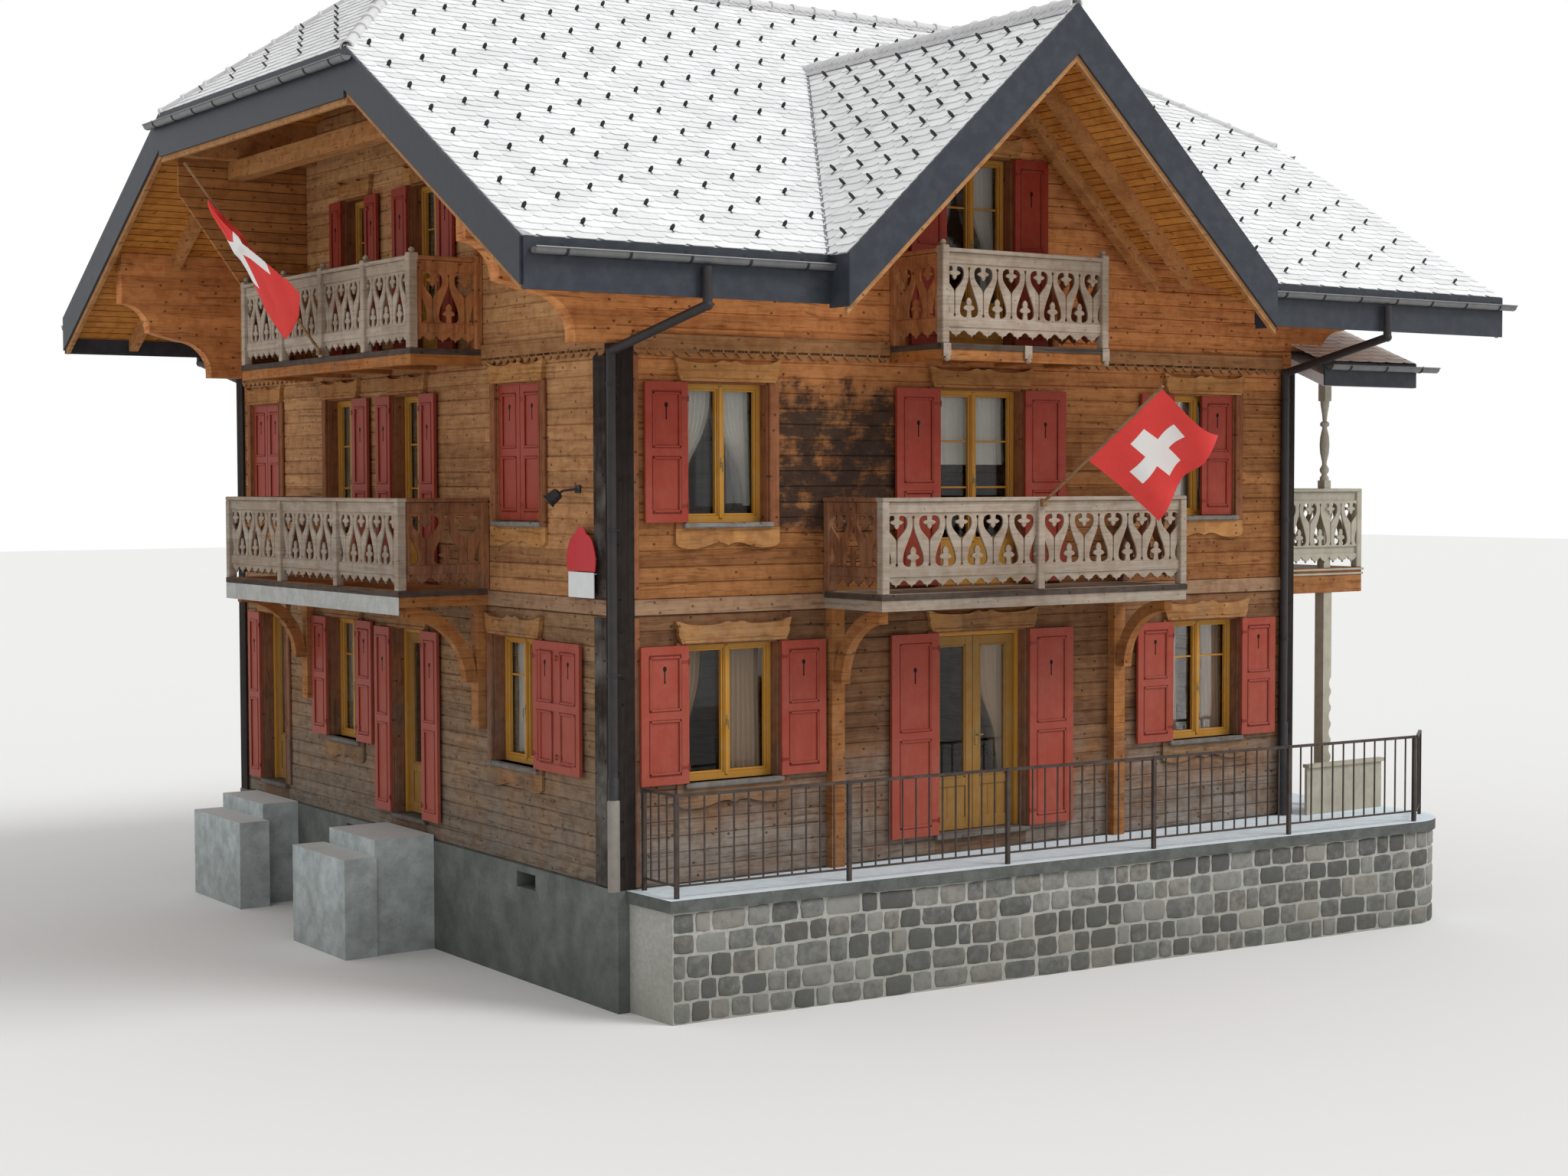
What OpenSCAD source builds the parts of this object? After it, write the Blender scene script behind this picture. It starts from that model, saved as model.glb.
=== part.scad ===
// Alpine chalet: timber house on a masonry plinth, with a raised stone terrace,
// carved balconies, a half-hipped roof and a gable over the front.
// Origin: the near left corner of the timber walls, at street level.
// X runs along the front, Y runs into the house, Z is up. Millimetres.

/* [House] */
// Width of the timber walls along the front
house_w = 9250; // [9000:50:9600]
// Depth of the timber walls
house_d = 9530; // [9300:10:9900]
// Thickness of the log walls
wall_t = 200; // [180:5:220]
// Height of the masonry plinth above the street
plinth_h = 1200; // [1050:50:1300]
// Thickness of the plinth walls
plinth_t = 400; // [350:10:500]
// How far the plinth stands proud of the timber
plinth_proud = 40; // [20:5:60]

/* [Floors] */
// Top of the ground floor above the plinth
ground_rise = 200; // [180:10:240]
// Ground floor to first floor
storey_1 = 2640; // [2600:20:2800]
// First floor to attic floor
storey_2 = 2520; // [2440:20:2700]
// Thickness of the upper floors
floor_t = 220; // [160:10:260]

/* [Roof] */
// Front and back overhang of the main roof
eave_over = 1430; // [1300:10:1500]
// Left overhang of the main roof
left_over = 1790; // [1600:10:1900]
// Right overhang of the main roof
right_over = 1990; // [1800:10:2100]
// Height of the tile edge at the eave above the plinth
eave_rise = 6100; // [6000:20:6200]
// Pitch of the main slopes
main_pitch = 31; // [30:0.5:33]
// Height of the half-hip edge above the plinth
hip_rise = 8266; // [8100:10:8400]
// Pitch of the half-hips
hip_pitch = 37.4; // [35:0.2:40]
// Thickness of the tile layer, measured upright
tile_t = 80; // [60:5:100]
// Thickness of the boarding and rafters, measured upright
deck_t = 180; // [140:10:220]
// Depth of the dark edge boards
barge_h = 420; // [360:10:460]
// Thickness of the dark edge boards
barge_t = 30; // [20:5:40]
// Width of a gutter
gutter_w = 130; // [110:5:150]

/* [Front gable] */
// Centre of the front gable from the left corner
gable_x = 4320; // [4200:20:4600]
// Height of the gable ridge above the plinth
gable_rise = 8720; // [8600:20:8800]
// Pitch of the gable slopes
gable_pitch = 42.7; // [41:0.1:44]
// Overhang of the gable roof
gable_over = 1740; // [1600:10:1800]

/* [Openings] */
// Height of a ground floor window sill above the plinth
sill_1 = 990; // [900:10:1050]
// Height of the ground floor heads above the plinth
head_1 = 2370; // [2300:10:2400]
// Height of a first floor sill above the first floor
sill_2 = 720; // [650:10:800]
// Height of the first floor heads above the first floor
head_2 = 2110; // [2000:10:2160]
// Height of the attic heads above the attic floor
head_3 = 1900; // [1800:10:2050]
// Width of the front door opening
door_w = 1260; // [1200:10:1340]
// Width of a casing board
casing_w = 120; // [90:5:140]
// Thickness of a casing board
casing_t = 30; // [20:5:40]
// Thickness of a shutter
shutter_t = 35; // [28:1:45]
// Width of a window frame member
frame_w = 65; // [50:5:80]
// Thickness of a window frame
frame_t = 60; // [50:5:70]
// Depth of the joinery behind the wall face
joinery_y = 120; // [100:5:130]
// Thickness of the glass
glass_t = 8; // [6:1:12]
// Thickness of a door leaf
leaf_t = 50; // [40:2:60]
// Clearance around a door leaf
leaf_gap = 6; // [5:0.5:8]

/* [Balconies] */
// Depth of the first floor front balcony
front_bal_d = 1000; // [900:20:1100]
// Length of the first floor front balcony
front_bal_w = 4140; // [4000:20:4300]
// Left end of the first floor front balcony
front_bal_x = 2440; // [2360:10:2500]
// Depth of the attic front balcony
gable_bal_d = 880; // [800:20:940]
// Length of the attic front balcony
gable_bal_w = 2250; // [2240:10:2340]
// Left end of the attic front balcony
gable_bal_x = 3290; // [3200:10:3360]
// Depth of the first floor side balcony
left_bal_d = 1050; // [950:10:1100]
// Length of the first floor side balcony
left_bal_w = 4710; // [4700:10:4760]
// Near end of the first floor side balcony
left_bal_y = 2650; // [2600:10:2750]
// Depth of the attic side balcony
attic_bal_d = 840; // [780:10:900]
// Length of the attic side balcony
attic_bal_w = 4560; // [4400:20:4600]
// Near end of the attic side balcony
attic_bal_y = 2760; // [2700:10:2800]
// Height of a balcony rail
rail_h = 960; // [900:10:1020]
// Thickness of a balcony deck
deck_h = 50; // [40:5:60]
// Height of a balcony beam
beam_h = 120; // [100:5:130]
// Side of a balcony post
post_s = 90; // [80:5:110]
// Thickness of the sawn boards
board_t = 25; // [18:1:30]

// Place of the left bracket of the front balcony
bracket_l = 2550; // [2500:10:2600]
// Place of the right bracket of the front balcony
bracket_r = 6430; // [6380:10:6480]
// Place of the near bracket of the left balcony
bracket_near = 2795; // [2780:5:2850]
// Place of the far bracket of the left balcony
bracket_far = 7280; // [7260:5:7320]

/* [Terrace] */
// Depth of the terrace at its left end
terrace_left_d = 720; // [650:10:760]
// Depth of the terrace at its right end
terrace_right_d = 1332; // [1250:10:1380]
// Radius of the rounded end
terrace_r = 650; // [600:10:680]
// How far the terrace runs past the house
terrace_past = 1350; // [1250:10:1400]
// Thickness of the coping and paving
coping_t = 120; // [90:10:150]
// How far the coping projects
coping_over = 40; // [20:5:60]
// Height of the iron railing
iron_h = 1000; // [950:10:1050]
// Side of an iron bar
iron_bar = 14; // [12:1:20]
// Spacing of the iron bars
iron_pitch = 163; // [130:1:180]

/* [Side steps] */
// Nearer end of the side door's landing
landing_y = 3950; // [3900:10:4000]
// Length of that landing
landing_l = 1200; // [1100:10:1300]
// How far that landing stands out
landing_out = 750; // [650:10:800]
// Nearer end of the far door's landing
far_landing_y = 7700; // [7650:10:7750]
// Length of the far landing
far_landing_l = 1300; // [1200:10:1350]
// How far the far landing stands out
far_landing_out = 500; // [450:10:600]
// Tread of the step below a landing
step_tread = 380; // [300:10:420]
// Drop from a landing to its step
step_drop = 180; // [150:5:200]
// How much longer a step is than its landing
step_more = 200; // [150:10:250]

/* [Porch] */
// Width of the side porch
porch_w = 1450; // [1350:10:1500]
// Depth of the side porch
porch_d = 2500; // [2300:20:2600]
// Distance of the porch posts from the wall
porch_post_x = 800; // [700:10:860]

/* [Flags] */
// Length of a flag pole
pole_l = 2100; // [1900:50:2300]
// Radius of a flag pole
pole_r = 16; // [12:1:20]

/* [Hidden] */
W = house_w;
D = house_d;
e = 0.5;
gap = 0.3;
ground_z = plinth_h + ground_rise;
first_z = ground_z + storey_1;
attic_z = first_z + storey_2;
ms = tan(main_pitch);
hs = tan(hip_pitch);
gs = tan(gable_pitch);
xl = -left_over;
xr = W + right_over;
ye = -eave_over;
yb = D + eave_over;
yr = D / 2;
ze = plinth_h + eave_rise;
zr = ze + (yr - ye) * ms;
zk = plinth_h + hip_rise;
yk = ye + (zk - ze) / ms;
xh1 = xl + (zr - zk) / hs;
xh2 = xr - (zr - zk) / hs;
xc = gable_x;
zc = plinth_h + gable_rise;
yc = -gable_over;
hw = (zc - ze) / gs;
yv = ye + (zc - ze) / ms;
zlow = plinth_h;
under = tile_t + deck_t;
seat = under + gap;
tint_wall = "peru";
tint_dark = "saddlebrown";
tint_stone = "gray";
tint_red = "firebrick";
tint_metal = "dimgray";

// Where the openings are: [start, end, bottom, top, is a door, left leaf, right leaf].
// A leaf is 0 none, 1 folded open, 2 closed. Start and end run left to right, from outside.
s1 = plinth_h + sill_1;
h1 = plinth_h + head_1;
s2 = first_z + sill_2;
h2 = first_z + head_2;
h3 = attic_z + head_3;
door_x = 3900;
front_ground = [[770, 1880, s1, h1, 0, 1, 1], [7300, 8400, s1, h1, 0, 1, 1]];
front_door = [door_x, door_x + door_w, ground_z, h1, 2, 1, 1];
front_first = [[770, 1760, s2, h2, 0, 1, 0], [3920, 5090, first_z + 20, h2, 1, 1, 1],
  [7300, 8310, s2, h2, 0, 1, 3]];
front_attic = [[4000, 4940, attic_z + 20, attic_z + 2060, 1, 1, 1]];
left_ground = [[D - 6760, D - 5910, s1 - 60, h1, 0, 1, 1],
  [D - 2560, D - 1600, s1 + 40, h1, 0, 0, 4]];
side_door_o = [D - 5000, D - 4190, ground_z, h1 - 40, 2, 1, 1];
back_door_o = [D - 8820, D - 8080, ground_z, h1 - 40, 2, 1, 0];
left_first = [[D - 9100, D - 8200, s2, h2, 0, 2, 2],
  [D - 6760, D - 5940, first_z + 20, h2, 1, 0, 1],
  [D - 4930, D - 4180, first_z + 20, h2, 1, 1, 1], [D - 2450, D - 1500, s2, h2 + 40, 0, 2, 2]];
left_attic = [[D - 6200, D - 5550, attic_z + 20, h3, 1, 1, 1],
  [D - 4450, D - 3700, attic_z + 20, h3, 1, 1, 1]];
right_ground = [[3900, 4950, s1, h1, 0, 1, 1], [6900, 7950, s1, h1, 0, 1, 1]];
right_first = [[900, 1700, first_z + 70, h2, 1, 0, 1], [3900, 4950, s2, h2, 0, 1, 1],
  [6900, 7950, s2, h2, 0, 1, 1]];
right_attic = [[3500, 4250, attic_z + 700, h3, 0, 1, 1], [5280, 6030, attic_z + 700, h3, 0, 1, 1]];
back_ground = [[850, 1950, s1, h1, 0, 1, 1], [4075, 5175, s1, h1, 0, 1, 1],
  [7300, 8400, s1, h1, 0, 1, 1]];
back_first = [[850, 1950, s2, h2, 0, 1, 1], [4075, 5175, s2, h2, 0, 1, 1],
  [7300, 8400, s2, h2, 0, 1, 1]];

// Local frames of the four walls: X left to right from outside, Y into the wall
module on_front() { children(); }
module on_left() { translate([0, D, 0]) rotate([0, 0, -90]) children(); }
module on_right() { translate([W, 0, 0]) rotate([0, 0, 90]) children(); }
module on_back() { translate([W, D, 0]) rotate([0, 0, 180]) children(); }

module box(a, b) { translate(a) cube(b - a); }
// Upright profile in Y and Z, drawn out along X
module yz(x0, x1, pts) {
  translate([x0, 0, 0]) rotate([90, 0, 90]) linear_extrude(x1 - x0) polygon(pts);
}
// Upright profile in X and Z, drawn out along Y
module xz(y0, y1, pts) {
  translate([0, y1, 0]) rotate([90, 0, 0]) linear_extrude(y1 - y0) polygon(pts);
}

// Everything under the roof planes, lowered by t and grown outwards by g
module main_body(t, g) {
  intersection() {
    yz(xl - g, xr + g, [[ye - g, zlow - g], [ye - g, ze - t - g * ms], [yr, zr - t],
      [yb + g, ze - t - g * ms], [yb + g, zlow - g]]);
    xz(ye - g - 10, yb + g + 10, [[xl - g, zlow - g], [xl - g, zk - t - g * hs],
      [xh1, zr - t], [xh2, zr - t], [xr + g, zk - t - g * hs], [xr + g, zlow - g]]);
  }
}
module gable_body(t, g) {
  xz(yc - g, yr, [[xc - hw - g, zlow - g], [xc - hw - g, ze - t - g * gs], [xc, zc - t],
    [xc + hw + g, ze - t - g * gs], [xc + hw + g, zlow - g]]);
}
module under_roof(t) {
  union() { main_body(t, 0); gable_body(t, 0); }
}
module roof_void(t) {
  union() { main_body(t, 700); gable_body(t, 700); }
}

module foundation() {
  color(tint_stone) difference() {
    box([-plinth_proud, -plinth_proud, 0], [W + plinth_proud, D + plinth_proud, plinth_h]);
    box([plinth_t - plinth_proud, plinth_t - plinth_proud, -1],
      [W + plinth_proud - plinth_t, D + plinth_proud - plinth_t, plinth_h + 1]);
    for (y = [1620, 5850]) box([-plinth_proud - 1, y, plinth_h - 230],
      [plinth_t, y + 400, plinth_h - 70]);
  }
}

module terrace_plan(g) {
  tx = W + terrace_past;
  difference() {
    union() {
      polygon([[90 - g, -plinth_proud], [130 - g, -plinth_proud - terrace_left_d - g],
        [tx - terrace_r, -plinth_proud - terrace_right_d - g],
        [tx - terrace_r, -plinth_proud - terrace_right_d + terrace_r],
        [tx + g, -plinth_proud - terrace_right_d + terrace_r], [tx + g, porch_y + porch_d + 100],
        [W + plinth_proud, porch_y + porch_d + 100], [W + plinth_proud, -plinth_proud]]);
      translate([tx - terrace_r, -plinth_proud - terrace_right_d + terrace_r])
        circle(r = terrace_r + g, $fn = 96);
    }
    translate([W / 2 + plinth_proud - 5000, -plinth_proud]) square([5000 + W / 2, 900]);
  }
}
module terrace_wall() {
  color(tint_stone) linear_extrude(plinth_h - coping_t) terrace_plan(0);
}
module terrace_paving() {
  color("silver") translate([0, 0, plinth_h - coping_t])
    linear_extrude(coping_t) terrace_plan(coping_over);
}

// A straight run of iron railing from a to b, with posts at the start and on up to the last
module iron_run(a, b, bays, last) {
  v = b - a;
  l = norm(v);
  n = max(2, round(l / iron_pitch));
  translate([a[0], a[1], plinth_h]) rotate([0, 0, atan2(v[1], v[0])]) {
    translate([0, -iron_bar, iron_h - 30]) cube([l, 2 * iron_bar, 30]);
    translate([0, -iron_bar / 2, 110]) cube([l, iron_bar, 20]);
    for (i = [1 : n - 1]) translate([i * l / n - iron_bar / 2, -iron_bar / 2, 115])
      cube([iron_bar, iron_bar, iron_h - 130]);
    for (i = [0 : last]) translate([i * (l - 40) / bays, -20, 0]) cube([40, 40, iron_h]);
  }
}
module terrace_railing() {
  tx = W + terrace_past;
  ya = -plinth_proud - terrace_left_d + 50;
  yz1 = -plinth_proud - terrace_right_d + 50;
  color("dimgray") {
    iron_run([190, ya], [tx - terrace_r, yz1], 5, 5);
    iron_run([190 + 20, -plinth_proud - 60], [190 + 20, ya + 24], 1, 0);
    iron_run([tx - 130, yz1 + 380], [tx - terrace_r + 22, yz1], 1, 0);
  }
}

// A landing before a door, with one lower and longer step beside it
module door_steps(y, l, out, rise, before) {
  box([-out, y, 0], [-plinth_proud, y + l, plinth_h + rise]);
  box([-out - step_tread, y - before, 0],
    [-out - e, y - before + l + step_more, plinth_h + rise - step_drop]);
}
module side_steps() {
  color("darkgray") {
    door_steps(landing_y, landing_l, landing_out, 70, 50);
    door_steps(far_landing_y, far_landing_l, far_landing_out, 30, 200);
  }
}

module ground_floor() {
  color("tan") box([wall_t, wall_t, plinth_h], [W - wall_t, D - wall_t, ground_z]);
}
module upper_floors() {
  color("tan") for (z = [first_z, attic_z])
    box([wall_t, wall_t, z - floor_t], [W - wall_t, D - wall_t, z]);
}

// Openings cut through a wall, in the wall's local frame
module cuts(list) {
  for (o = list) box([o[0], -1, o[2]], [o[1], wall_t + 1, o[3]]);
}
wall_top_1 = first_z - 40;

module front_wall_ground() {
  color(tint_wall) difference() {
    union() {
      box([0, 0, plinth_h], [front_door[0], wall_t, wall_top_1]);
      box([front_door[1], 0, plinth_h], [W, wall_t, wall_top_1]);
    }
    cuts(front_ground);
  }
}
module left_wall_ground() {
  color(tint_wall) on_left() difference() {
    union() {
      box([wall_t, 0, plinth_h], [back_door_o[0], wall_t, wall_top_1]);
      box([back_door_o[1], 0, plinth_h], [side_door_o[0], wall_t, wall_top_1]);
      box([side_door_o[1], 0, plinth_h], [D - wall_t, wall_t, wall_top_1]);
    }
    cuts(left_ground);
  }
}
module back_wall_ground() {
  color(tint_wall) on_back() difference() {
    box([0, 0, plinth_h], [W, wall_t, wall_top_1]);
    cuts(back_ground);
  }
}
module right_wall_ground() {
  color(tint_wall) on_right() difference() {
    box([wall_t, 0, plinth_h], [D - wall_t, wall_t, wall_top_1]);
    cuts(right_ground);
  }
}
// The logs over and under a doorway
module doorway(o) {
  box([o[0], 0, o[3]], [o[1], wall_t, wall_top_1]);
  box([o[0], 0, plinth_h], [o[1], wall_t, ground_z]);
}
module doorway_timbers() {
  color(tint_wall) {
    on_front() doorway(front_door);
    on_left() { doorway(side_door_o); doorway(back_door_o); }
  }
}

module front_wall_upper() {
  color(tint_wall) difference() {
    intersection() {
      box([0, 0, wall_top_1], [W, wall_t, zc]);
      under_roof(seat);
    }
    cuts(front_first);
    cuts(front_attic);
  }
}
module back_wall_upper() {
  color(tint_wall) difference() {
    intersection() {
      box([0, D - wall_t, wall_top_1], [W, D, zc]);
      under_roof(seat);
    }
    on_back() cuts(back_first);
  }
}
module left_wall_upper() {
  color(tint_wall) difference() {
    intersection() {
      box([0, wall_t, wall_top_1], [wall_t, D - wall_t, zr]);
      under_roof(seat);
    }
    on_left() { cuts(left_first); cuts(left_attic); }
  }
}
module right_wall_upper() {
  color(tint_wall) difference() {
    intersection() {
      box([W - wall_t, wall_t, wall_top_1], [W, D - wall_t, zr]);
      under_roof(seat);
    }
    on_right() { cuts(right_first); cuts(right_attic); }
  }
}

corner_top = plinth_h + 5300;
corbel_z = plinth_h + 5300;
// Dark boards that cover the corners, and the string courses between storeys
module corner_boards() {
  color("black") for (c = [[0, 0, 1, 1, corner_top],
    [W, 0, -1, 1, porch_line(-30) - 5], [0, D, 1, -1, corner_top], [W, D, -1, -1, corner_top]])
    translate([c[0], c[1], 0]) {
      sx = c[2];
      sy = c[3];
      difference() {
        box([min(-30 * sx, 170 * sx), min(-30 * sy, 170 * sy), plinth_h],
          [max(-30 * sx, 170 * sx), max(-30 * sy, 170 * sy), c[4]]);
        box([min(0, 400 * sx), min(0, 400 * sy), 0],
          [max(0, 400 * sx), max(0, 400 * sy), corner_top + 10]);
      }
    }
}

// Log ends that carry the eaves at the corners
module log_ends() { color(tint_wall) log_end_bodies(); }

// A roof plane: the part of a sloping slab that stands over an outline
module slab_front(pts) {
  intersection() {
    yz(xl - 10, xr + 10, [[ye, ze - tile_t], [ye, ze], [yr, zr], [yr, zr - tile_t]]);
    translate([0, 0, zlow]) linear_extrude(zr - zlow + 100) polygon(pts);
  }
}
module roof_front_left() {
  color("lightgray") slab_front([[xl, ye], [xc - hw, ye], [xc - gap / 2, yv],
    [xc - gap / 2, yr], [xh1, yr], [xl, yk]]);
}
module roof_front_right() {
  color("lightgray") slab_front([[xc + hw, ye], [xr, ye], [xr, yk], [xh2, yr],
    [xc + gap / 2, yr], [xc + gap / 2, yv]]);
}
module roof_back() {
  color("lightgray") intersection() {
    yz(xl - 10, xr + 10, [[yb, ze - tile_t], [yb, ze], [yr, zr], [yr, zr - tile_t]]);
    translate([0, 0, zlow]) linear_extrude(zr - zlow + 100)
      polygon([[xl, yb], [xr, yb], [xr, D - yk], [xh2, yr], [xh1, yr], [xl, D - yk]]);
  }
}
module hip_roofs() {
  color("lightgray") {
    intersection() {
      xz(ye, yb, [[xl, zk - tile_t], [xl, zk], [xh1, zr], [xh1, zr - tile_t]]);
      translate([0, 0, zlow]) linear_extrude(zr - zlow + 100)
        polygon([[xl, yk], [xh1, yr], [xl, D - yk]]);
    }
    intersection() {
      xz(ye, yb, [[xr, zk - tile_t], [xr, zk], [xh2, zr], [xh2, zr - tile_t]]);
      translate([0, 0, zlow]) linear_extrude(zr - zlow + 100)
        polygon([[xr, yk], [xh2, yr], [xr, D - yk]]);
    }
  }
}
module front_gable_roof() {
  color("lightgray") for (s = [-1, 1]) intersection() {
    xz(yc, yr, [[xc + s * hw, ze - tile_t], [xc + s * hw, ze], [xc + s * gap / 2, zc],
      [xc + s * gap / 2, zc - tile_t]]);
    translate([0, 0, zlow]) linear_extrude(zr - zlow + 100)
      polygon([[xc + s * hw, yc], [xc, yc], [xc, yv], [xc + s * hw, ye]]);
  }
}
module roof_soffit() {
  color("sandybrown") difference() {
    under_roof(tile_t);
    roof_void(under);
  }
}

// Sloping board along a verge: from the eave up to the half-hip, on both slopes
module verge_boards(x0, x1, top, depth) {
  for (m = [0, 1]) yz(x0, x1, [for (p = [[ye, ze - top], [yk, zk - top],
    [yk, zk - top - depth], [ye, ze - top - depth]]) m == 0 ? p : [D - p[0], p[1]]]);
}
module edge_boards() {
  color(tint_metal) {
    verge_boards(xl - barge_t, xl, 0, barge_h);
    verge_boards(xr, xr + barge_t, 0, barge_h);
    for (x = [xl - barge_t, xr]) box([x, yk, zk - 500], [x + barge_t, D - yk, zk]);
    box([xl, ye - barge_t, ze - 460], [xc - hw, ye, ze]);
    box([xc + hw, ye - barge_t, ze - 460], [xr, ye, ze]);
    box([xl, yb, ze - 460], [xr, yb + barge_t, ze]);
    for (s = [-1, 1]) xz(yc - barge_t, yc, [[xc + s * hw, ze - 500], [xc + s * hw, ze],
      [xc, zc], [xc, zc - 500]]);
  }
}
module gutter(l) {
  difference() {
    translate([0, -gutter_w, -70]) cube([l, gutter_w, 80]);
    translate([12, -gutter_w + 8, -62]) cube([l - 24, gutter_w - 16, 90]);
  }
}
gutter_z = ze - 110;
module gutters() {
  color("slategray") {
    translate([xl + 60, ye - barge_t, gutter_z]) gutter(xc - hw - xl - 65);
    translate([xc + hw + 60, ye - barge_t, gutter_z]) gutter(xr - xc - hw + 60);
    translate([xr, yb + barge_t, gutter_z]) rotate([0, 0, 180]) gutter(xr - xl);
    translate([xl - barge_t, D - yk + 200, zk - 130]) rotate([0, 0, -90])
      gutter(D - 2 * yk + 400);
    translate([xr + barge_t, yk - 200, zk - 130]) rotate([0, 0, 90])
      gutter(D - 2 * yk + 400);
  }
}

// A round bar between two points
module rod(a, b, r) {
  v = b - a;
  l = norm(v);
  translate(a) rotate([0, acos(v[2] / l), atan2(v[1], v[0])]) cylinder(h = l, r = r, $fn = 32);
}
module bend(p, r) { translate(p) sphere(r = r, $fn = 32); }

pipe_r = 45;
// A downpipe from a gutter outlet, back to the wall and down to the plinth
module downpipe(out, wall, foot) {
  pts = [out, out - [0, 0, 350], wall, [wall[0], wall[1], foot]];
  difference() {
    union() {
      for (i = [0 : 2]) rod(pts[i], pts[i + 1], pipe_r);
      bend(pts[1], pipe_r + 6);
      bend(pts[2], pipe_r + 6);
    }
    translate([out[0] - 100, out[1] - 100, out[2]]) cube([200, 200, 100]);
  }
}
module downpipes() {
  gy = ye - barge_t - gutter_w / 2;
  gz = gutter_z - 70;
  color("dimgray") {
    downpipe([60, gy, gz], [-pipe_r - 42, -pipe_r, corner_top - 80], plinth_h);
    downpipe([W - 80, gy, gz], [W - 190, -pipe_r - 42, corner_top - 80], plinth_h);
    downpipe([60, D - gy, gz], [190, D + pipe_r + 42, corner_top - 80], plinth_h);
    downpipe([W - 80, D - gy, gz], [W - 190, D + pipe_r + 42, corner_top - 80], plinth_h);
  }
}

module ridge_caps() {
  color("slategray") intersection() {
    difference() {
      union() {
        rod([xh1 - 60, yr, zr], [xh2 + 60, yr, zr], 80);
        for (y = [yk, D - yk]) {
          rod([xl, y, zk], [xh1, yr, zr], 60);
          rod([xr, y, zk], [xh2, yr, zr], 60);
        }
        rod([xc, yc, zc], [xc, yv + 60, zc], 70);
      }
      roof_void(-gap);
    }
    box([xl + gap, yc, zlow], [xr - gap, yb, zr + 200]);
  }
}

// Rafters under the boarding along the slopes of the side gables
module flying_rafters(x0, x1) {
  for (m = [0, 1]) yz(x0, x1, [for (p = [[ye + 40, ze + 40 * ms - seat],
    [2150, ze + (2150 - ye) * ms - seat], [2150, ze + (2150 - ye) * ms - seat - 170],
    [ye + 40, ze + 40 * ms - seat - 170]]) m == 0 ? p : [D - p[0], p[1]]]);
}
beam_z = zk - 720;
module side_timbers(x0, x1, xv0, xv1, xm) {
  flying_rafters(xm - 60, xm + 60);
  verge_boards(xv0, xv1, seat, 160);
  box([xv0, yk, zk - 420], [xv1, D - yk, zk - under - 40]);
  box([xm - 100, yk + 60, beam_z], [xm + 100, D - yk - 60, beam_z + 210]);
  intersection() {
    union() for (y = [2330, D - 2530]) box([x0, y, beam_z + 210], [x1, y + 200, zk]);
    under_roof(seat);
  }
}
module gable_rafter(y0, y1, depth, foot) {
  for (s = [-1, 1]) xz(y0, y1, [[xc + s * foot, zc - foot * gs - seat],
    [xc, zc - seat], [xc, zc - seat - depth], [xc + s * foot, zc - foot * gs - seat - depth]]);
}
module roof_timbers() {
  color("orange") {
    difference() {
      union() {
        side_timbers(xl + 60, 0, xl, xl + 50, -900);
        side_timbers(W, xr - 60, xr - 50, xr, W + 1000);
      }
      log_end_bodies();
    }
    gable_rafter(yc, yc + 50, 160, hw - 40);
    gable_rafter(-920, -780, 170, 2430);
    gable_rafter(-370, -230, 170, 2430);
  }
}

module windscreen() {
  y = attic_bal_y + attic_bal_w;
  color(tint_dark) intersection() {
    difference() {
      xz(y, y + 40, [[0, attic_z], [-attic_bal_d, attic_z], [-attic_bal_d, attic_z + rail_h],
        [-1600, attic_z + 2000], [-1600, zr], [0, zr]]);
      translate([-attic_bal_d - 560, y - 1, attic_z + rail_h + 60]) rotate([-90, 0, 0])
        cylinder(r = 420, h = 42, $fn = 64);
    }
    under_roof(seat);
  }
}

// A post on the wall with a curved knee brace, in the wall's local frame
module bracket(x, depth, top, foot) {
  r = depth - 230;
  box([x - 80, -110, foot], [x + 80, 0, top]);
  translate([x - 55, 0, 0]) rotate([90, 0, 90]) linear_extrude(110) intersection() {
    translate([-depth + 120, top - r]) difference() {
      circle(r = r, $fn = 96);
      circle(r = r - 130, $fn = 96);
    }
    translate([-depth + 120, top - r]) square([r, r]);
  }
}
deck_under = deck_h + beam_h;
module balcony_brackets() {
  color(tint_wall) {
    for (x = [bracket_l, bracket_r])
      bracket(x, front_bal_d, first_z - deck_under, plinth_h);
    on_left() for (x = [D - bracket_near, D - bracket_far])
      bracket(x, left_bal_d, first_z - deck_under, plinth_h + 1350);
  }
}

// Boards on cantilevered joists, with a beam along the outer edge
module deck(x, w, d, top, joists) {
  box([x, -d, top - deck_h], [x + w, 0, top]);
  box([x, -d, top - deck_under], [x + w, -d + 120, top - deck_h]);
  for (i = [0 : joists]) translate([x + i * (w - 120) / joists, -d + 10, top - deck_under])
    cube([120, d - 10, beam_h]);
}

// A pointed shape, w wide and h high, between two arcs
module lens(w, h) {
  r = (h * h / 4 + w * w / 4) / w;
  intersection() {
    translate([r - w / 2, 0]) circle(r = r, $fn = 96);
    translate([-r + w / 2, 0]) circle(r = r, $fn = 96);
  }
}
rail_low = 164;
bottom_rail_h = 100;
top_rail_h = 110;
cap_h = 42;
fringe_h = 100;
fringe_pitch = 200;
cut_z0 = rail_low + bottom_rail_h + 16;
cut_z1 = rail_h - cap_h - top_rail_h - 34;
cut_pitch = 405;
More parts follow.
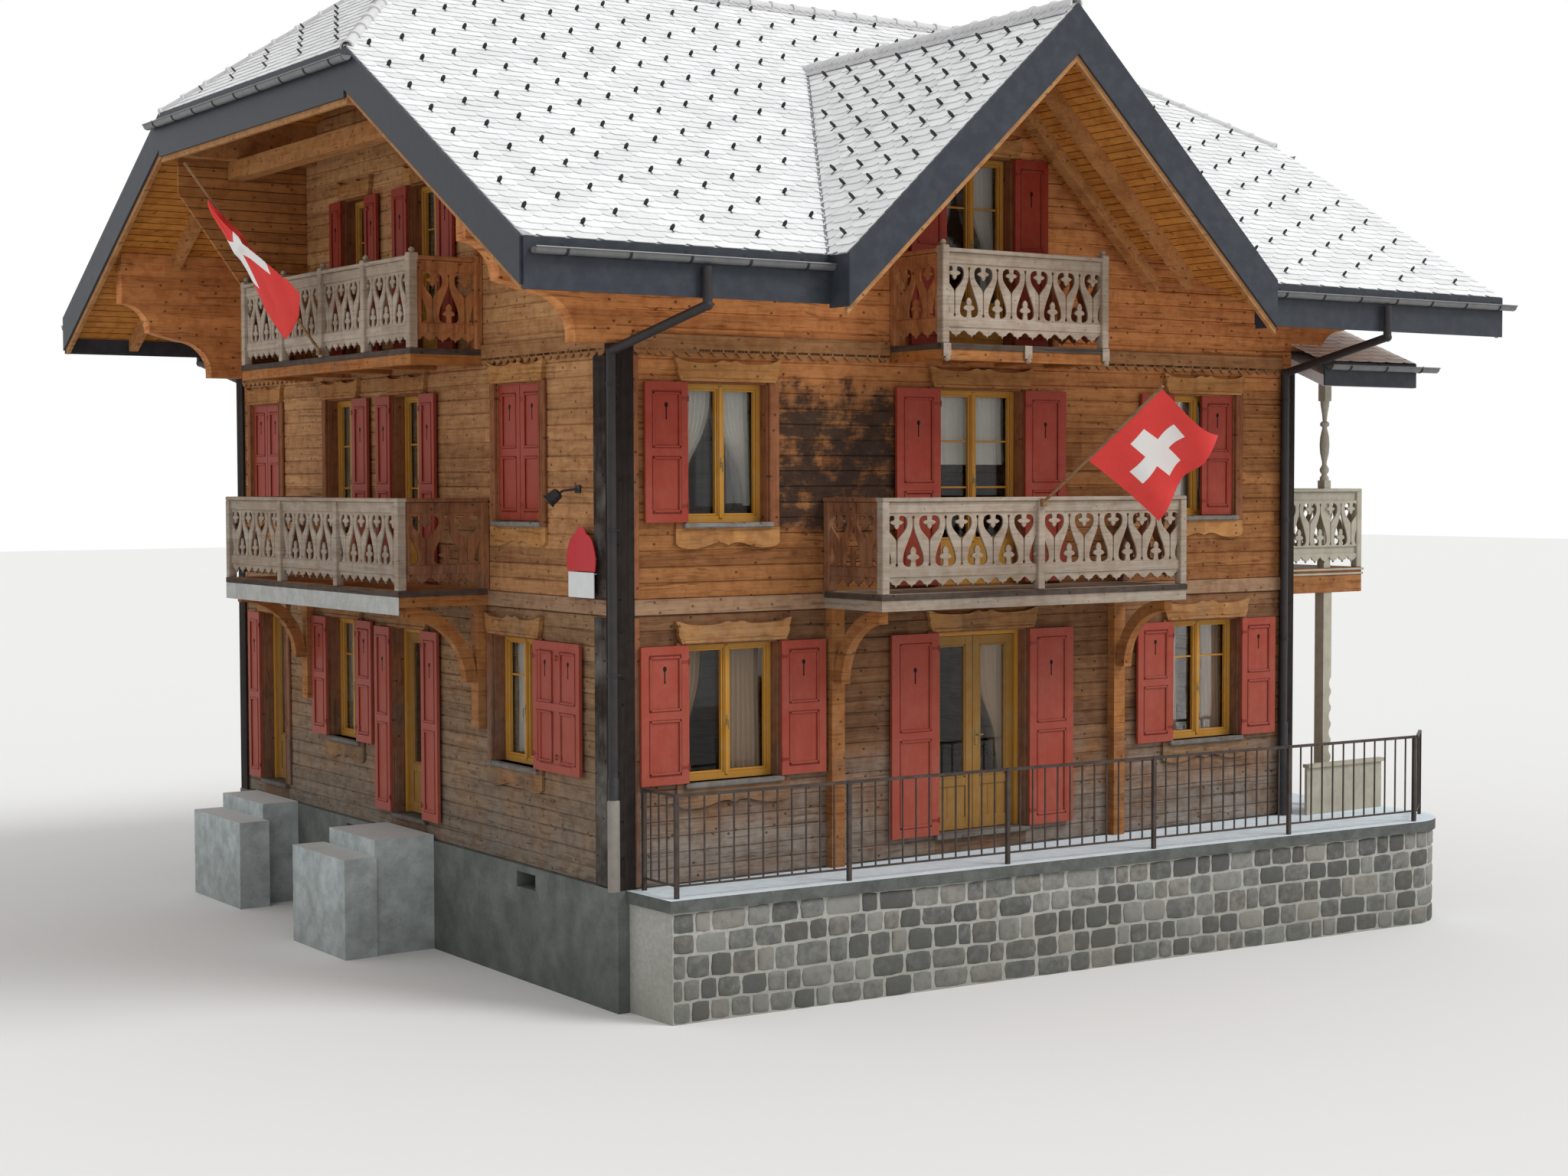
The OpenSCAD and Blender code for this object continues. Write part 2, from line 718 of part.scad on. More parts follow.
// One saw cut, hanging from the top: two lobes round a pointed leaf, then a funnel into a slit
module saw_cut(p, h) {
  difference() {
    union() {
      intersection() {
        translate([0, -0.17 * h]) lens(0.58 * p, 0.84 * h);
        translate([-p / 2, -h]) square([p, h]);
      }
      translate([-0.014 * p, -h]) square([0.028 * p, 0.6 * h]);
      translate([0, -0.965 * h]) circle(r = 0.035 * h, $fn = 32);
    }
    translate([-0.095 * p, -0.2 * h]) square([0.19 * p, 0.2 * h + 1]);
    translate([0, -0.2 * h]) lens(0.19 * p, 0.4 * h);
    translate([0, -0.2 * h]) rotate(90) lens(0.13 * h, 0.47 * p);
  }
}
// Sawn boards with the cuts hanging and standing in turn, and a scalloped fringe below
module panel(l) {
  n = max(1, round(l / cut_pitch));
  p = l / n;
  m = max(1, round(l / fringe_pitch));
  q = l / m;
  h = cut_z1 - cut_z0;
  rotate([90, 0, 0]) linear_extrude(board_t) difference() {
    translate([0, rail_low - fringe_h]) square([l, rail_h - cap_h - rail_low + fringe_h]);
    intersection() {
      translate([10, 0]) square([l - 20, rail_h]);
      union() {
        for (i = [0 : n - 1]) translate([(i + 0.5) * p, cut_z1]) saw_cut(p, h);
        for (i = [0 : n]) translate([i * p, cut_z0]) mirror([0, 1]) saw_cut(p, h);
      }
    }
    for (i = [0 : m - 1]) translate([(i + 0.5) * q, rail_low - fringe_h - 0.1 * q])
      circle(r = 0.47 * q, $fn = 64);
  }
}
// One straight side of a railing, with posts where asked
module rail_side(l, posts) {
  s = post_s;
  for (x = posts) translate([x, 0, 0]) cube([s, s, rail_h - cap_h]);
  rail_infill(l);
}
module rail_infill(l) {
  s = post_s;
  translate([0, 0, rail_h - cap_h]) cube([l, s, cap_h]);
  translate([0, 20, rail_h - cap_h - top_rail_h]) cube([l, s - 40, top_rail_h]);
  translate([0, 20, rail_low]) cube([l, s - 40, bottom_rail_h]);
  translate([0, s / 2 + board_t / 2, 0]) panel(l);
}
module railing(x, w, d, top, posts) {
  s = post_s;
  translate([x, -d, top]) {
    rail_side(w, posts);
    for (u = [s, w]) translate([u, s + e, 0]) rotate([0, 0, 90])
      rail_side(d - s - e - 0, [d - s - e - s]);
  }
}
module front_balcony_deck() {
  color("tan") deck(front_bal_x, front_bal_w, front_bal_d, first_z, 4);
}
module front_balcony_railing() {
  w = front_bal_w;
  color("wheat") railing(front_bal_x, w, front_bal_d, first_z, [0, (w - post_s) / 2, w - post_s]);
}
module gable_balcony_deck() {
  color("tan") deck(gable_bal_x, gable_bal_w, gable_bal_d, attic_z, 3);
}
module gable_balcony_railing() {
  w = gable_bal_w;
  color("wheat") railing(gable_bal_x, w, gable_bal_d, attic_z, [0, w - post_s]);
}
module left_balcony_deck() {
  color("tan") on_left()
    deck(D - left_bal_y - left_bal_w, left_bal_w, left_bal_d, first_z, 4);
}
module left_balcony_railing() {
  w = left_bal_w;
  q = (w - post_s) / 3;
  color("wheat") on_left()
    railing(D - left_bal_y - w, w, left_bal_d, first_z, [0, q, 2 * q, w - post_s]);
}
module attic_balcony_deck() {
  color("tan") on_left()
    deck(D - attic_bal_y - attic_bal_w, attic_bal_w, attic_bal_d, attic_z, 4);
}
module attic_balcony_railing() {
  w = attic_bal_w;
  q = (w - post_s) / 4;
  color("wheat") on_left()
    railing(D - attic_bal_y - w, w, attic_bal_d, attic_z, [0, q, 2 * q, 3 * q, w - post_s]);
}

// Side porch: two posts carry a balcony and its roof
porch_top = first_z + 60;
porch_under = porch_top - 300;
porch_roof_z = first_z + 2220;
porch_y = 190;
module porch_deck() {
  y = porch_y;
  color("tan") {
    box([W, y, porch_top - deck_h], [W + porch_w, y + porch_d, porch_top]);
    box([W, y, porch_under], [W + porch_w, y + 160, porch_top - deck_h]);
    box([W, y + porch_d - 160, porch_under], [W + porch_w, y + porch_d, porch_top - deck_h]);
  }
}
porch_post_s = 140;
upper_post_s = 110;
porch_slope = tan(22);
function porch_line(y) = porch_roof_z + (y + 500) * porch_slope;
turned_z = 1060;
turned_l = 960;
// Half of a turned post, from its foot block up to its head block
module turned_half() {
  r = upper_post_s / 2;
  polygon([[0, 0], [r, 0], [r, 30], [0.55 * r, 70], [r, 110], [r, 140], [0.5 * r, 190],
    [0.55 * r, 230], [0.95 * r, 330], [1.08 * r, 430], [0.95 * r, 530], [0.5 * r, 640],
    [r, 665], [r, 695], [0.45 * r, 720], [0.6 * r, 800], [0.9 * r, 900], [r, turned_l],
    [0, turned_l]]);
}
scallop_pitch = 200;
scallop_depth = 34;
module porch_posts() {
  x = W + porch_post_x;
  s = porch_post_s;
  u = upper_post_s;
  r = (scallop_pitch * scallop_pitch / 16 + scallop_depth * scallop_depth) / scallop_depth / 2 + 50;
  color("wheat") for (y = [porch_y + 10, porch_y + porch_d - 150]) {
    difference() {
      box([x, y, plinth_h], [x + s, y + s, porch_under]);
      for (i = [1 : 7]) translate([x + s + r - scallop_depth, y - 1, plinth_h + 90 + i * scallop_pitch])
        rotate([-90, 0, 0]) cylinder(r = r, h = s + 2, $fn = 64);
    }
    box([x + 15, y + 15, porch_top], [x + 15 + u, y + 15 + u, porch_top + turned_z]);
    translate([x + 15 + u / 2, y + 15 + u / 2, porch_top + turned_z])
      rotate_extrude($fn = 32) turned_half();
    yz(x + 15, x + 15 + u, [[y + 15, porch_top + turned_z + turned_l],
      [y + 15 + u, porch_top + turned_z + turned_l], [y + 15 + u, porch_line(y + 15 + u) - gap],
      [y + 15, porch_line(y + 15) - gap]]);
  }
}
module porch_railing() {
  x0 = porch_post_x + 15;
  x1 = x0 + upper_post_s;
  s = post_s;
  color("wheat") translate([W, porch_y + 20, porch_top]) {
    rail_infill(x0 - e);
    translate([x1 + e, 0, 0]) {
      rail_infill(porch_w - x1 - e);
      translate([porch_w - x1 - e - s, 0, 0]) cube([s, s, rail_h - cap_h]);
    }
    translate([porch_w, s + e, 0]) rotate([0, 0, 90])
      rail_side(porch_d - 20 - s - e, [porch_d - 20 - 2 * s - e]);
    translate([0, porch_d - 20 - s, 0]) {
      rail_infill(x0 - e);
      translate([x1 + e, 0, 0]) rail_infill(porch_w - x1 - s - 2 * e);
    }
  }
}
module porch_roof() {
  y1 = porch_y + porch_d + 400;
  color("lightgray") yz(W, W + porch_w + 120, [[-500, porch_line(-500)],
    [-500, porch_line(-500) + 130], [y1, porch_line(y1) + 130], [y1, porch_line(y1)]]);
}
module porch_parapet() {
  x = W + plinth_proud;
  color("wheat") {
    box([x, -260, plinth_h], [W + porch_w - 120, -220, plinth_h + 560]);
    box([x, -290, plinth_h + 560], [W + porch_w - 90, -190, plinth_h + 600]);
  }
}

head_board_h = 230;
hollow = 48;
// Joinery, in a wall's local frame: a frame with a mullion inside an opening
module frame(o) {
  y = joinery_y;
  difference() {
    box([o[0], y, o[2]], [o[1], y + frame_t, o[3]]);
    m = (o[0] + o[1]) / 2;
    z = o[4] == 1 ? o[2] + 480 : o[2] + frame_w;
    for (p = [[o[0] + frame_w, m - frame_w / 2], [m + frame_w / 2, o[1] - frame_w]])
      box([p[0], y - 1, z], [p[1], y + frame_t + 1, o[3] - frame_w]);
  }
}
module pane(o) {
  box([o[0], joinery_y + frame_t, o[2]], [o[1], joinery_y + frame_t + glass_t, o[3]]);
}
// Casing boards round an opening: two sides, a carved head, and a sill over an apron
module surround(o) {
  c = casing_w;
  t = casing_t;
  z0 = o[2] + gap;
  box([o[0] - c, -t, z0], [o[0], 0, o[3]]);
  box([o[1], -t, z0], [o[1] + c, 0, o[3]]);
  translate([o[0] - c, 0, o[3] + gap]) rotate([90, 0, 0]) linear_extrude(t)
    head_board(o[1] - o[0] + 2 * c);
  if (o[4] == 0) {
    box([o[0] - c - 20, -t - 40, o[2] - 60], [o[1] + c + 20, 0, o[2]]);
    box([o[0] - c, -t, o[2] - 280], [o[1] + c, 0, o[2] - 60 - gap]);
  }
}
// Carved head: drawn in at its foot, with two hollows between pointed ends and a low hump
module head_board(w) {
  h = head_board_h;
  c = 0.21 * w;
  r = (c * c + hollow * hollow) / hollow / 2;
  difference() {
    polygon([[60, 0], [w - 60, 0], [w, h - 80], [w, h], [0, h], [0, h - 80]]);
    for (s = [0.25, 0.75]) translate([w * s, h + r - hollow]) circle(r = r, $fn = 192);
  }
}
front_all = concat(front_ground, front_first, front_attic);
left_all = concat(left_ground, left_first, left_attic);
right_all = concat(right_ground, right_first, right_attic);
back_all = concat(back_ground, back_first);
module window_frames() {
  color("darkgoldenrod") {
    on_front() for (o = front_all) frame(o);
    on_left() for (o = left_all) frame(o);
    on_right() for (o = right_all) frame(o);
    on_back() for (o = back_all) frame(o);
  }
}
module window_glass() {
  color("lightblue") {
    on_front() for (o = front_all) pane(o);
    on_left() for (o = left_all) pane(o);
    on_right() for (o = right_all) pane(o);
    on_back() for (o = back_all) pane(o);
  }
}
module window_surrounds() {
  color(tint_wall) {
    on_front() { for (o = front_all) surround(o); surround(front_door); }
    on_left() {
      for (o = left_all) surround(o);
      surround(side_door_o);
      surround(back_door_o);
    }
    on_right() for (o = right_all) surround(o);
    on_back() for (o = back_all) surround(o);
  }
}
// A board leaf with two sunk panels and a keyhole
module leaf_board(x0, x1, z0, z1, y) {
  w = x1 - x0;
  h = z1 - z0;
  difference() {
    box([x0, y, z0], [x1, y + shutter_t, z1]);
    for (q = [[0.06, 0.47], [0.53, 0.94]])
      box([x0 + 0.16 * w, y - 1, z0 + q[0] * h], [x1 - 0.16 * w, y + 10, z0 + q[1] * h]);
  }
}
module shutters(o) {
  w = (o[1] - o[0]) / 2 - 6;
  y = -casing_t - shutter_t;
  z0 = o[2] + (o[4] == 0 ? 8 : 12);
  z1 = o[3] - 12;
  if (o[5] == 1) leaf_board(o[0] - w, o[0], z0, z1, y);
  if (o[6] == 1) leaf_board(o[1], o[1] + w, z0, z1, y);
  if (o[6] == 4) leaf_board(o[1], o[1] + 2 * w, z0, z1, y);
  if (o[5] == 2) {
    leaf_board(o[0], o[0] + w, z0, z1, 12);
    leaf_board(o[1] - w, o[1], z0, z1, 12);
  }
  if (o[6] == 3) leaf_board(o[1] - w, o[1], z0, z1, 12);
}
module window_shutters() {
  color(tint_red) {
    on_front() { for (o = front_all) shutters(o); shutters(front_door); }
    on_left() {
      for (o = left_all) shutters(o);
      shutters(side_door_o);
      shutters(back_door_o);
    }
    on_right() for (o = right_all) shutters(o);
    on_back() for (o = back_all) shutters(o);
  }
}

// Doors: jambs and head in the opening, leaves that open inwards on pintles
hinge_r = 12;
hinge_y = wall_t + hinge_r + 2;
function hinge_zs(o) = [o[2] + 320, o[3] - 420];
module door_frame(o, sides) {
  y = joinery_y;
  box([o[0], y, o[2]], [o[0] + frame_w, wall_t, o[3] - frame_w - gap]);
  box([o[1] - frame_w, y, o[2]], [o[1], wall_t, o[3] - frame_w - gap]);
  box([o[0], y, o[3] - frame_w], [o[1], wall_t, o[3]]);
  for (s = sides) pintles(o, s);
}
function hinge_x(o, s) = s < 0 ? o[0] + frame_w + leaf_gap / 2 : o[1] - frame_w - leaf_gap / 2;
module pintles(o, s) {
  x = hinge_x(o, s);
  for (z = hinge_zs(o)) {
    translate([x, hinge_y, z - 60]) cylinder(h = 60, r = hinge_r, $fn = 32);
    xa = x + s * (leaf_gap / 2 + 40);
    xb = x + s * leaf_gap / 2;
    box([min(xa, xb), wall_t, z - 60], [max(xa, xb), wall_t + 8, z]);
    box([min(xa, x), wall_t + 4, z - 60], [max(xa, x), wall_t + 8, z]);
  }
}
// A glazed leaf from x0 to x1, hinged on side s
module door_leaf(o, s, x0, x1) {
  y0 = wall_t - leaf_t;
  z0 = o[2] + 8;
  z1 = o[3] - frame_w - leaf_gap;
  x = hinge_x(o, s);
  st = 95;
  difference() {
    box([x0, y0, z0], [x1, wall_t, z1]);
    for (y = [[y0 - 1, y0 + 20], [wall_t - 20, wall_t + 1]]) {
      box([x0 + st, y[0], z0 + 560], [x1 - st, y[1], z1 - st]);
      box([x0 + st, y[0], z0 + 130], [x1 - st, y[1], z0 + 460]);
    }
  }
  for (z = hinge_zs(o)) {
    translate([x, hinge_y, z + gap]) cylinder(h = 60, r = hinge_r, $fn = 32);
    xa = x - s * (leaf_gap / 2 + 40);
    xb = x - s * leaf_gap / 2;
    box([min(xa, xb), wall_t, z + gap], [max(xa, xb), wall_t + 8, z + 60]);
    box([min(xa, x), wall_t + 4, z + gap], [max(xa, x), wall_t + 8, z + 60]);
  }
}
module door_frames() {
  color("darkgoldenrod") {
    on_front() door_frame(front_door, [-1, 1]);
    on_left() { door_frame(side_door_o, [-1]); door_frame(back_door_o, [-1]); }
  }
}
fm = (front_door[0] + front_door[1]) / 2;
module front_door_left() {
  color("darkgoldenrod") on_front() door_leaf(front_door, -1,
    front_door[0] + frame_w + leaf_gap, fm - leaf_gap / 2);
}
module front_door_right() {
  color("darkgoldenrod") on_front() door_leaf(front_door, 1, fm + leaf_gap / 2,
    front_door[1] - frame_w - leaf_gap);
}
module side_door() {
  color("darkgoldenrod") on_left() door_leaf(side_door_o, -1,
    side_door_o[0] + frame_w + leaf_gap, side_door_o[1] - frame_w - leaf_gap);
}
module back_side_door() {
  color("darkgoldenrod") on_left() door_leaf(back_door_o, -1,
    back_door_o[0] + frame_w + leaf_gap, back_door_o[1] - frame_w - leaf_gap);
}

// Flag poles, held on the outer faces of two balconies
flag_x = front_bal_x + front_bal_w / 2;
flag_foot = [flag_x, -front_bal_d - 25, first_z + 900];
flag_dir = [0, -cos(32.9), sin(32.9)];
flag2_foot = [-attic_bal_d - 25, 4990, attic_z + 60];
flag2_dir = [-cos(52.1), 0, sin(52.1)];
module flag_poles() {
  color("saddlebrown") {
    rod(flag_foot, flag_foot + pole_l * flag_dir, pole_r);
    translate([flag_x - 30, -front_bal_d - 60, first_z + 860]) cube([60, 60, 80]);
    rod(flag2_foot, flag2_foot + (pole_l + 400) * flag2_dir, pole_r);
    translate([-attic_bal_d - 60, 4960, attic_z + 20]) cube([60, 60, 80]);
  }
}
// Each cloth hangs close under its pole
module flags() {
  o = pole_r + gap;
  color("red") {
    a = flag_foot + 800 * flag_dir + o * [0, -flag_dir[2], flag_dir[1]];
    b = flag_foot + 2080 * flag_dir + o * [0, -flag_dir[2], flag_dir[1]];
    yz(flag_x - 5, flag_x + 5, [[a[1], a[2]], [b[1], b[2]],
      [b[1] - 60, b[2] - 1200], [a[1] - 60, a[2] - 1100]]);
    c = flag2_foot + 1000 * flag2_dir + o * [-flag2_dir[2], 0, flag2_dir[0]];
    d = flag2_foot + 2350 * flag2_dir + o * [-flag2_dir[2], 0, flag2_dir[0]];
    xz(flag2_foot[1] - 5, flag2_foot[1] + 5, [[c[0], c[2]], [d[0], d[2]], [d[0] + 80, d[2] - 700],
      [c[0] - 60, c[2] - 1000], [c[0] + 60, c[2] - 700]]);
  }
}

// Points of a hollow quarter round about a centre, from its near side up to its top
function cove(c, r) = [for (a = [180 : -7.5 : 90]) c + r * [cos(a), sin(a)]];
// The carved log ends as one body for each corner
module log_end_bodies() {
  for (s = [[0, -1], [W, 1]]) for (y = [0, D - wall_t]) {
    z = s[1] > 0 && y == 0 ? porch_line(wall_t) + 150 : corbel_z;
    intersection() {
      xz(y, y + wall_t, concat([[s[0], z]],
        [for (p = concat([[450, min(z - corbel_z, 50)]], cove([850, 50], 400), cove([1600, 550], 350)))
          [s[0] + s[1] * p[0], corbel_z + max(p[1], z - corbel_z)]],
        [[s[0] + s[1] * 1600, ze + 1200], [s[0], ze + 1200]]));
      under_roof(seat);
    }
  }
}

foundation();
terrace_wall();
terrace_paving();
terrace_railing();
side_steps();
ground_floor();
upper_floors();
front_wall_ground();
left_wall_ground();
back_wall_ground();
right_wall_ground();
doorway_timbers();
front_wall_upper();
left_wall_upper();
back_wall_upper();
right_wall_upper();
corner_boards();
log_ends();
roof_front_left();
roof_front_right();
roof_back();
hip_roofs();
front_gable_roof();
roof_soffit();
edge_boards();
gutters();
downpipes();
ridge_caps();
roof_timbers();
windscreen();
balcony_brackets();
front_balcony_deck();
front_balcony_railing();
gable_balcony_deck();
gable_balcony_railing();
left_balcony_deck();
left_balcony_railing();
attic_balcony_deck();
attic_balcony_railing();
porch_deck();
porch_posts();
porch_railing();
porch_roof();
porch_parapet();
window_frames();
window_glass();
window_surrounds();
window_shutters();
door_frames();
front_door_left();
front_door_right();
side_door();
back_side_door();
flag_poles();
flags();
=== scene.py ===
"""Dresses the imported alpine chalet: log walls, shingle roof, sawn balustrades, shutters, masonry and flags.

Lengths are in metres. X runs along the front, Y into the house and Z up from the underside of the plinth.
"""
from __future__ import annotations

import logging
import math
from contextlib import contextmanager
from dataclasses import dataclass
from enum import Enum
from random import Random
from typing import Any, Callable, Iterable, Iterator, Sequence

import bmesh
import bpy
from mathutils import Matrix, Vector, noise


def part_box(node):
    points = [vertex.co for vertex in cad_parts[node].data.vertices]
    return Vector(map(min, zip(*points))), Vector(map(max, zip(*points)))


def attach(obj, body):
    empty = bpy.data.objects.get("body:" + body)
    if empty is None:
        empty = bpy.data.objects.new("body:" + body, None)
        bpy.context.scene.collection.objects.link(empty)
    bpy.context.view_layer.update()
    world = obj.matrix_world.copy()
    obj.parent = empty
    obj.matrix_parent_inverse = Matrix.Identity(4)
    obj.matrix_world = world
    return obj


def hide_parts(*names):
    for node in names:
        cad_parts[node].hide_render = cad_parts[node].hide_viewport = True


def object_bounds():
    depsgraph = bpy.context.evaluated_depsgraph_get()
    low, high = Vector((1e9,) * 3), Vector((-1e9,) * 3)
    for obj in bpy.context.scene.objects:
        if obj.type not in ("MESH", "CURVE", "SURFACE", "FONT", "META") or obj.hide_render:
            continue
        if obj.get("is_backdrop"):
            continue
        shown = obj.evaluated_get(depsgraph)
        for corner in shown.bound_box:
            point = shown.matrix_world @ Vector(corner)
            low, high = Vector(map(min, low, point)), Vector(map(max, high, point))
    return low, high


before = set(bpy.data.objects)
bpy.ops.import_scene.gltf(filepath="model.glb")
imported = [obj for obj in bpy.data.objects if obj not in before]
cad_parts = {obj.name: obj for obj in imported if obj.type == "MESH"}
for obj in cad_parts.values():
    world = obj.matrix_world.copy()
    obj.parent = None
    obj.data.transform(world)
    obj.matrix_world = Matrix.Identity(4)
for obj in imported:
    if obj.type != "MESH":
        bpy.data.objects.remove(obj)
CAD_LOW, CAD_HIGH = (tuple(corner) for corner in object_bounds())
NODES: dict[str, bpy.types.Object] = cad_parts
HOUSE = "house"

log = logging.getLogger("chalet")
Colour = tuple[float, float, float]
Point2 = tuple[float, float]
Socket = bpy.types.NodeSocket
Node, NodeTree, Mesh = bpy.types.Node, bpy.types.NodeTree, bpy.types.Mesh
Material, Object = bpy.types.Material, bpy.types.Object


class Tree:
    """A node tree with short calls that add nodes and wire them."""

    def __init__(self, tree: NodeTree) -> None:
        """Keeps the tree that the nodes go into."""
        self.tree = tree

    def node(self, kind: str, inputs: dict[Any, Any] | None = None, **settings: Any) -> Node:
        """Adds one node.

        Args:
            kind: the node's type name.
            inputs: values or sockets for its inputs, by name or number.
            settings: properties of the node itself.

        Returns:
            The new node.
        """
        made = self.tree.nodes.new(kind)
        for name, value in settings.items():
            setattr(made, name, value)
        for key, value in (inputs or {}).items():
            if isinstance(value, Socket):
                self.tree.links.new(value, made.inputs[key])
            else:
                made.inputs[key].default_value = value
        return made

    def math(self, operation: str, *values: Any, clamp: bool = False) -> Socket:
        """Returns the result of a Math node on the values."""
        return self.node("ShaderNodeMath", dict(enumerate(values)), operation=operation,
                         use_clamp=clamp).outputs[0]

    def vector(self, operation: str, *values: Any) -> Socket:
        """Returns the vector result of a Vector Math node on the values."""
        return self.node("ShaderNodeVectorMath", dict(enumerate(values)), operation=operation).outputs[0]

    def mix(self, factor: Any, one: Any, two: Any, blend: str = "MIX") -> Socket:
        """Returns one colour mixed towards another.

        Args:
            factor: how far towards the second colour.
            one: the first colour.
            two: the second colour.
            blend: how they blend.

        Returns:
            The mixed colour.
        """
        made = self.node("ShaderNodeMix", data_type="RGBA", blend_type=blend, clamp_factor=True)
        for socket, value in ((made.inputs[0], factor), (made.inputs[6], one), (made.inputs[7], two)):
            if isinstance(value, Socket):
                self.tree.links.new(value, socket)
            else:
                socket.default_value = (*value, 1.0) if isinstance(value, tuple) else value
        return made.outputs[2]

    def span(self, value: Any, low: float, high: float, to_low: float = 0.0, to_high: float = 1.0) -> Socket:
        """Returns the value mapped smoothly from low and high to the two given ends.

        Args:
            value: the value.
            low: where the first end is reached.
            high: where the second end is reached.
            to_low: the first end.
            to_high: the second end.

        Returns:
            The mapped value.
        """
        return self.node(
            "ShaderNodeMapRange",
            {0: value, 1: low, 2: high, 3: to_low, 4: to_high},
            interpolation_type="SMOOTHSTEP",
        ).outputs[0]

    def noise(self, vector: Any, scale: float, detail: float = 3.0, rough: float = 0.55) -> Socket:
        """Returns the value of a noise texture over the vector.

        Args:
            vector: where the texture is read.
            scale: how fine it is.
            detail: how many layers it has.
            rough: how strong the finer layers are.

        Returns:
            The texture's value.
        """
        return self.node(
            "ShaderNodeTexNoise", {"Vector": vector, "Scale": scale, "Detail": detail, "Roughness": rough}
        ).outputs["Fac"]

    def facing_up(self) -> Socket:
        """Returns one where the surface faces up, else nought."""
        normal = self.node("ShaderNodeNewGeometry").outputs["True Normal"]
        return self.math("GREATER_THAN", self.height_of(normal), 0.6)

    def group(self, tree: NodeTree, inputs: dict[str, Any]) -> Node:
        """Places a shader group with its inputs."""
        return self.node("ShaderNodeGroup", inputs, node_tree=tree)

    def feed(self, value: Socket, node: Node, key: str) -> None:
        """Wires a value into an input of a node."""
        self.tree.links.new(value, node.inputs[key])

    def height_of(self, at: Socket) -> Socket:
        """Returns the height of a place."""
        return self.node("ShaderNodeSeparateXYZ", {0: at}).outputs[2]


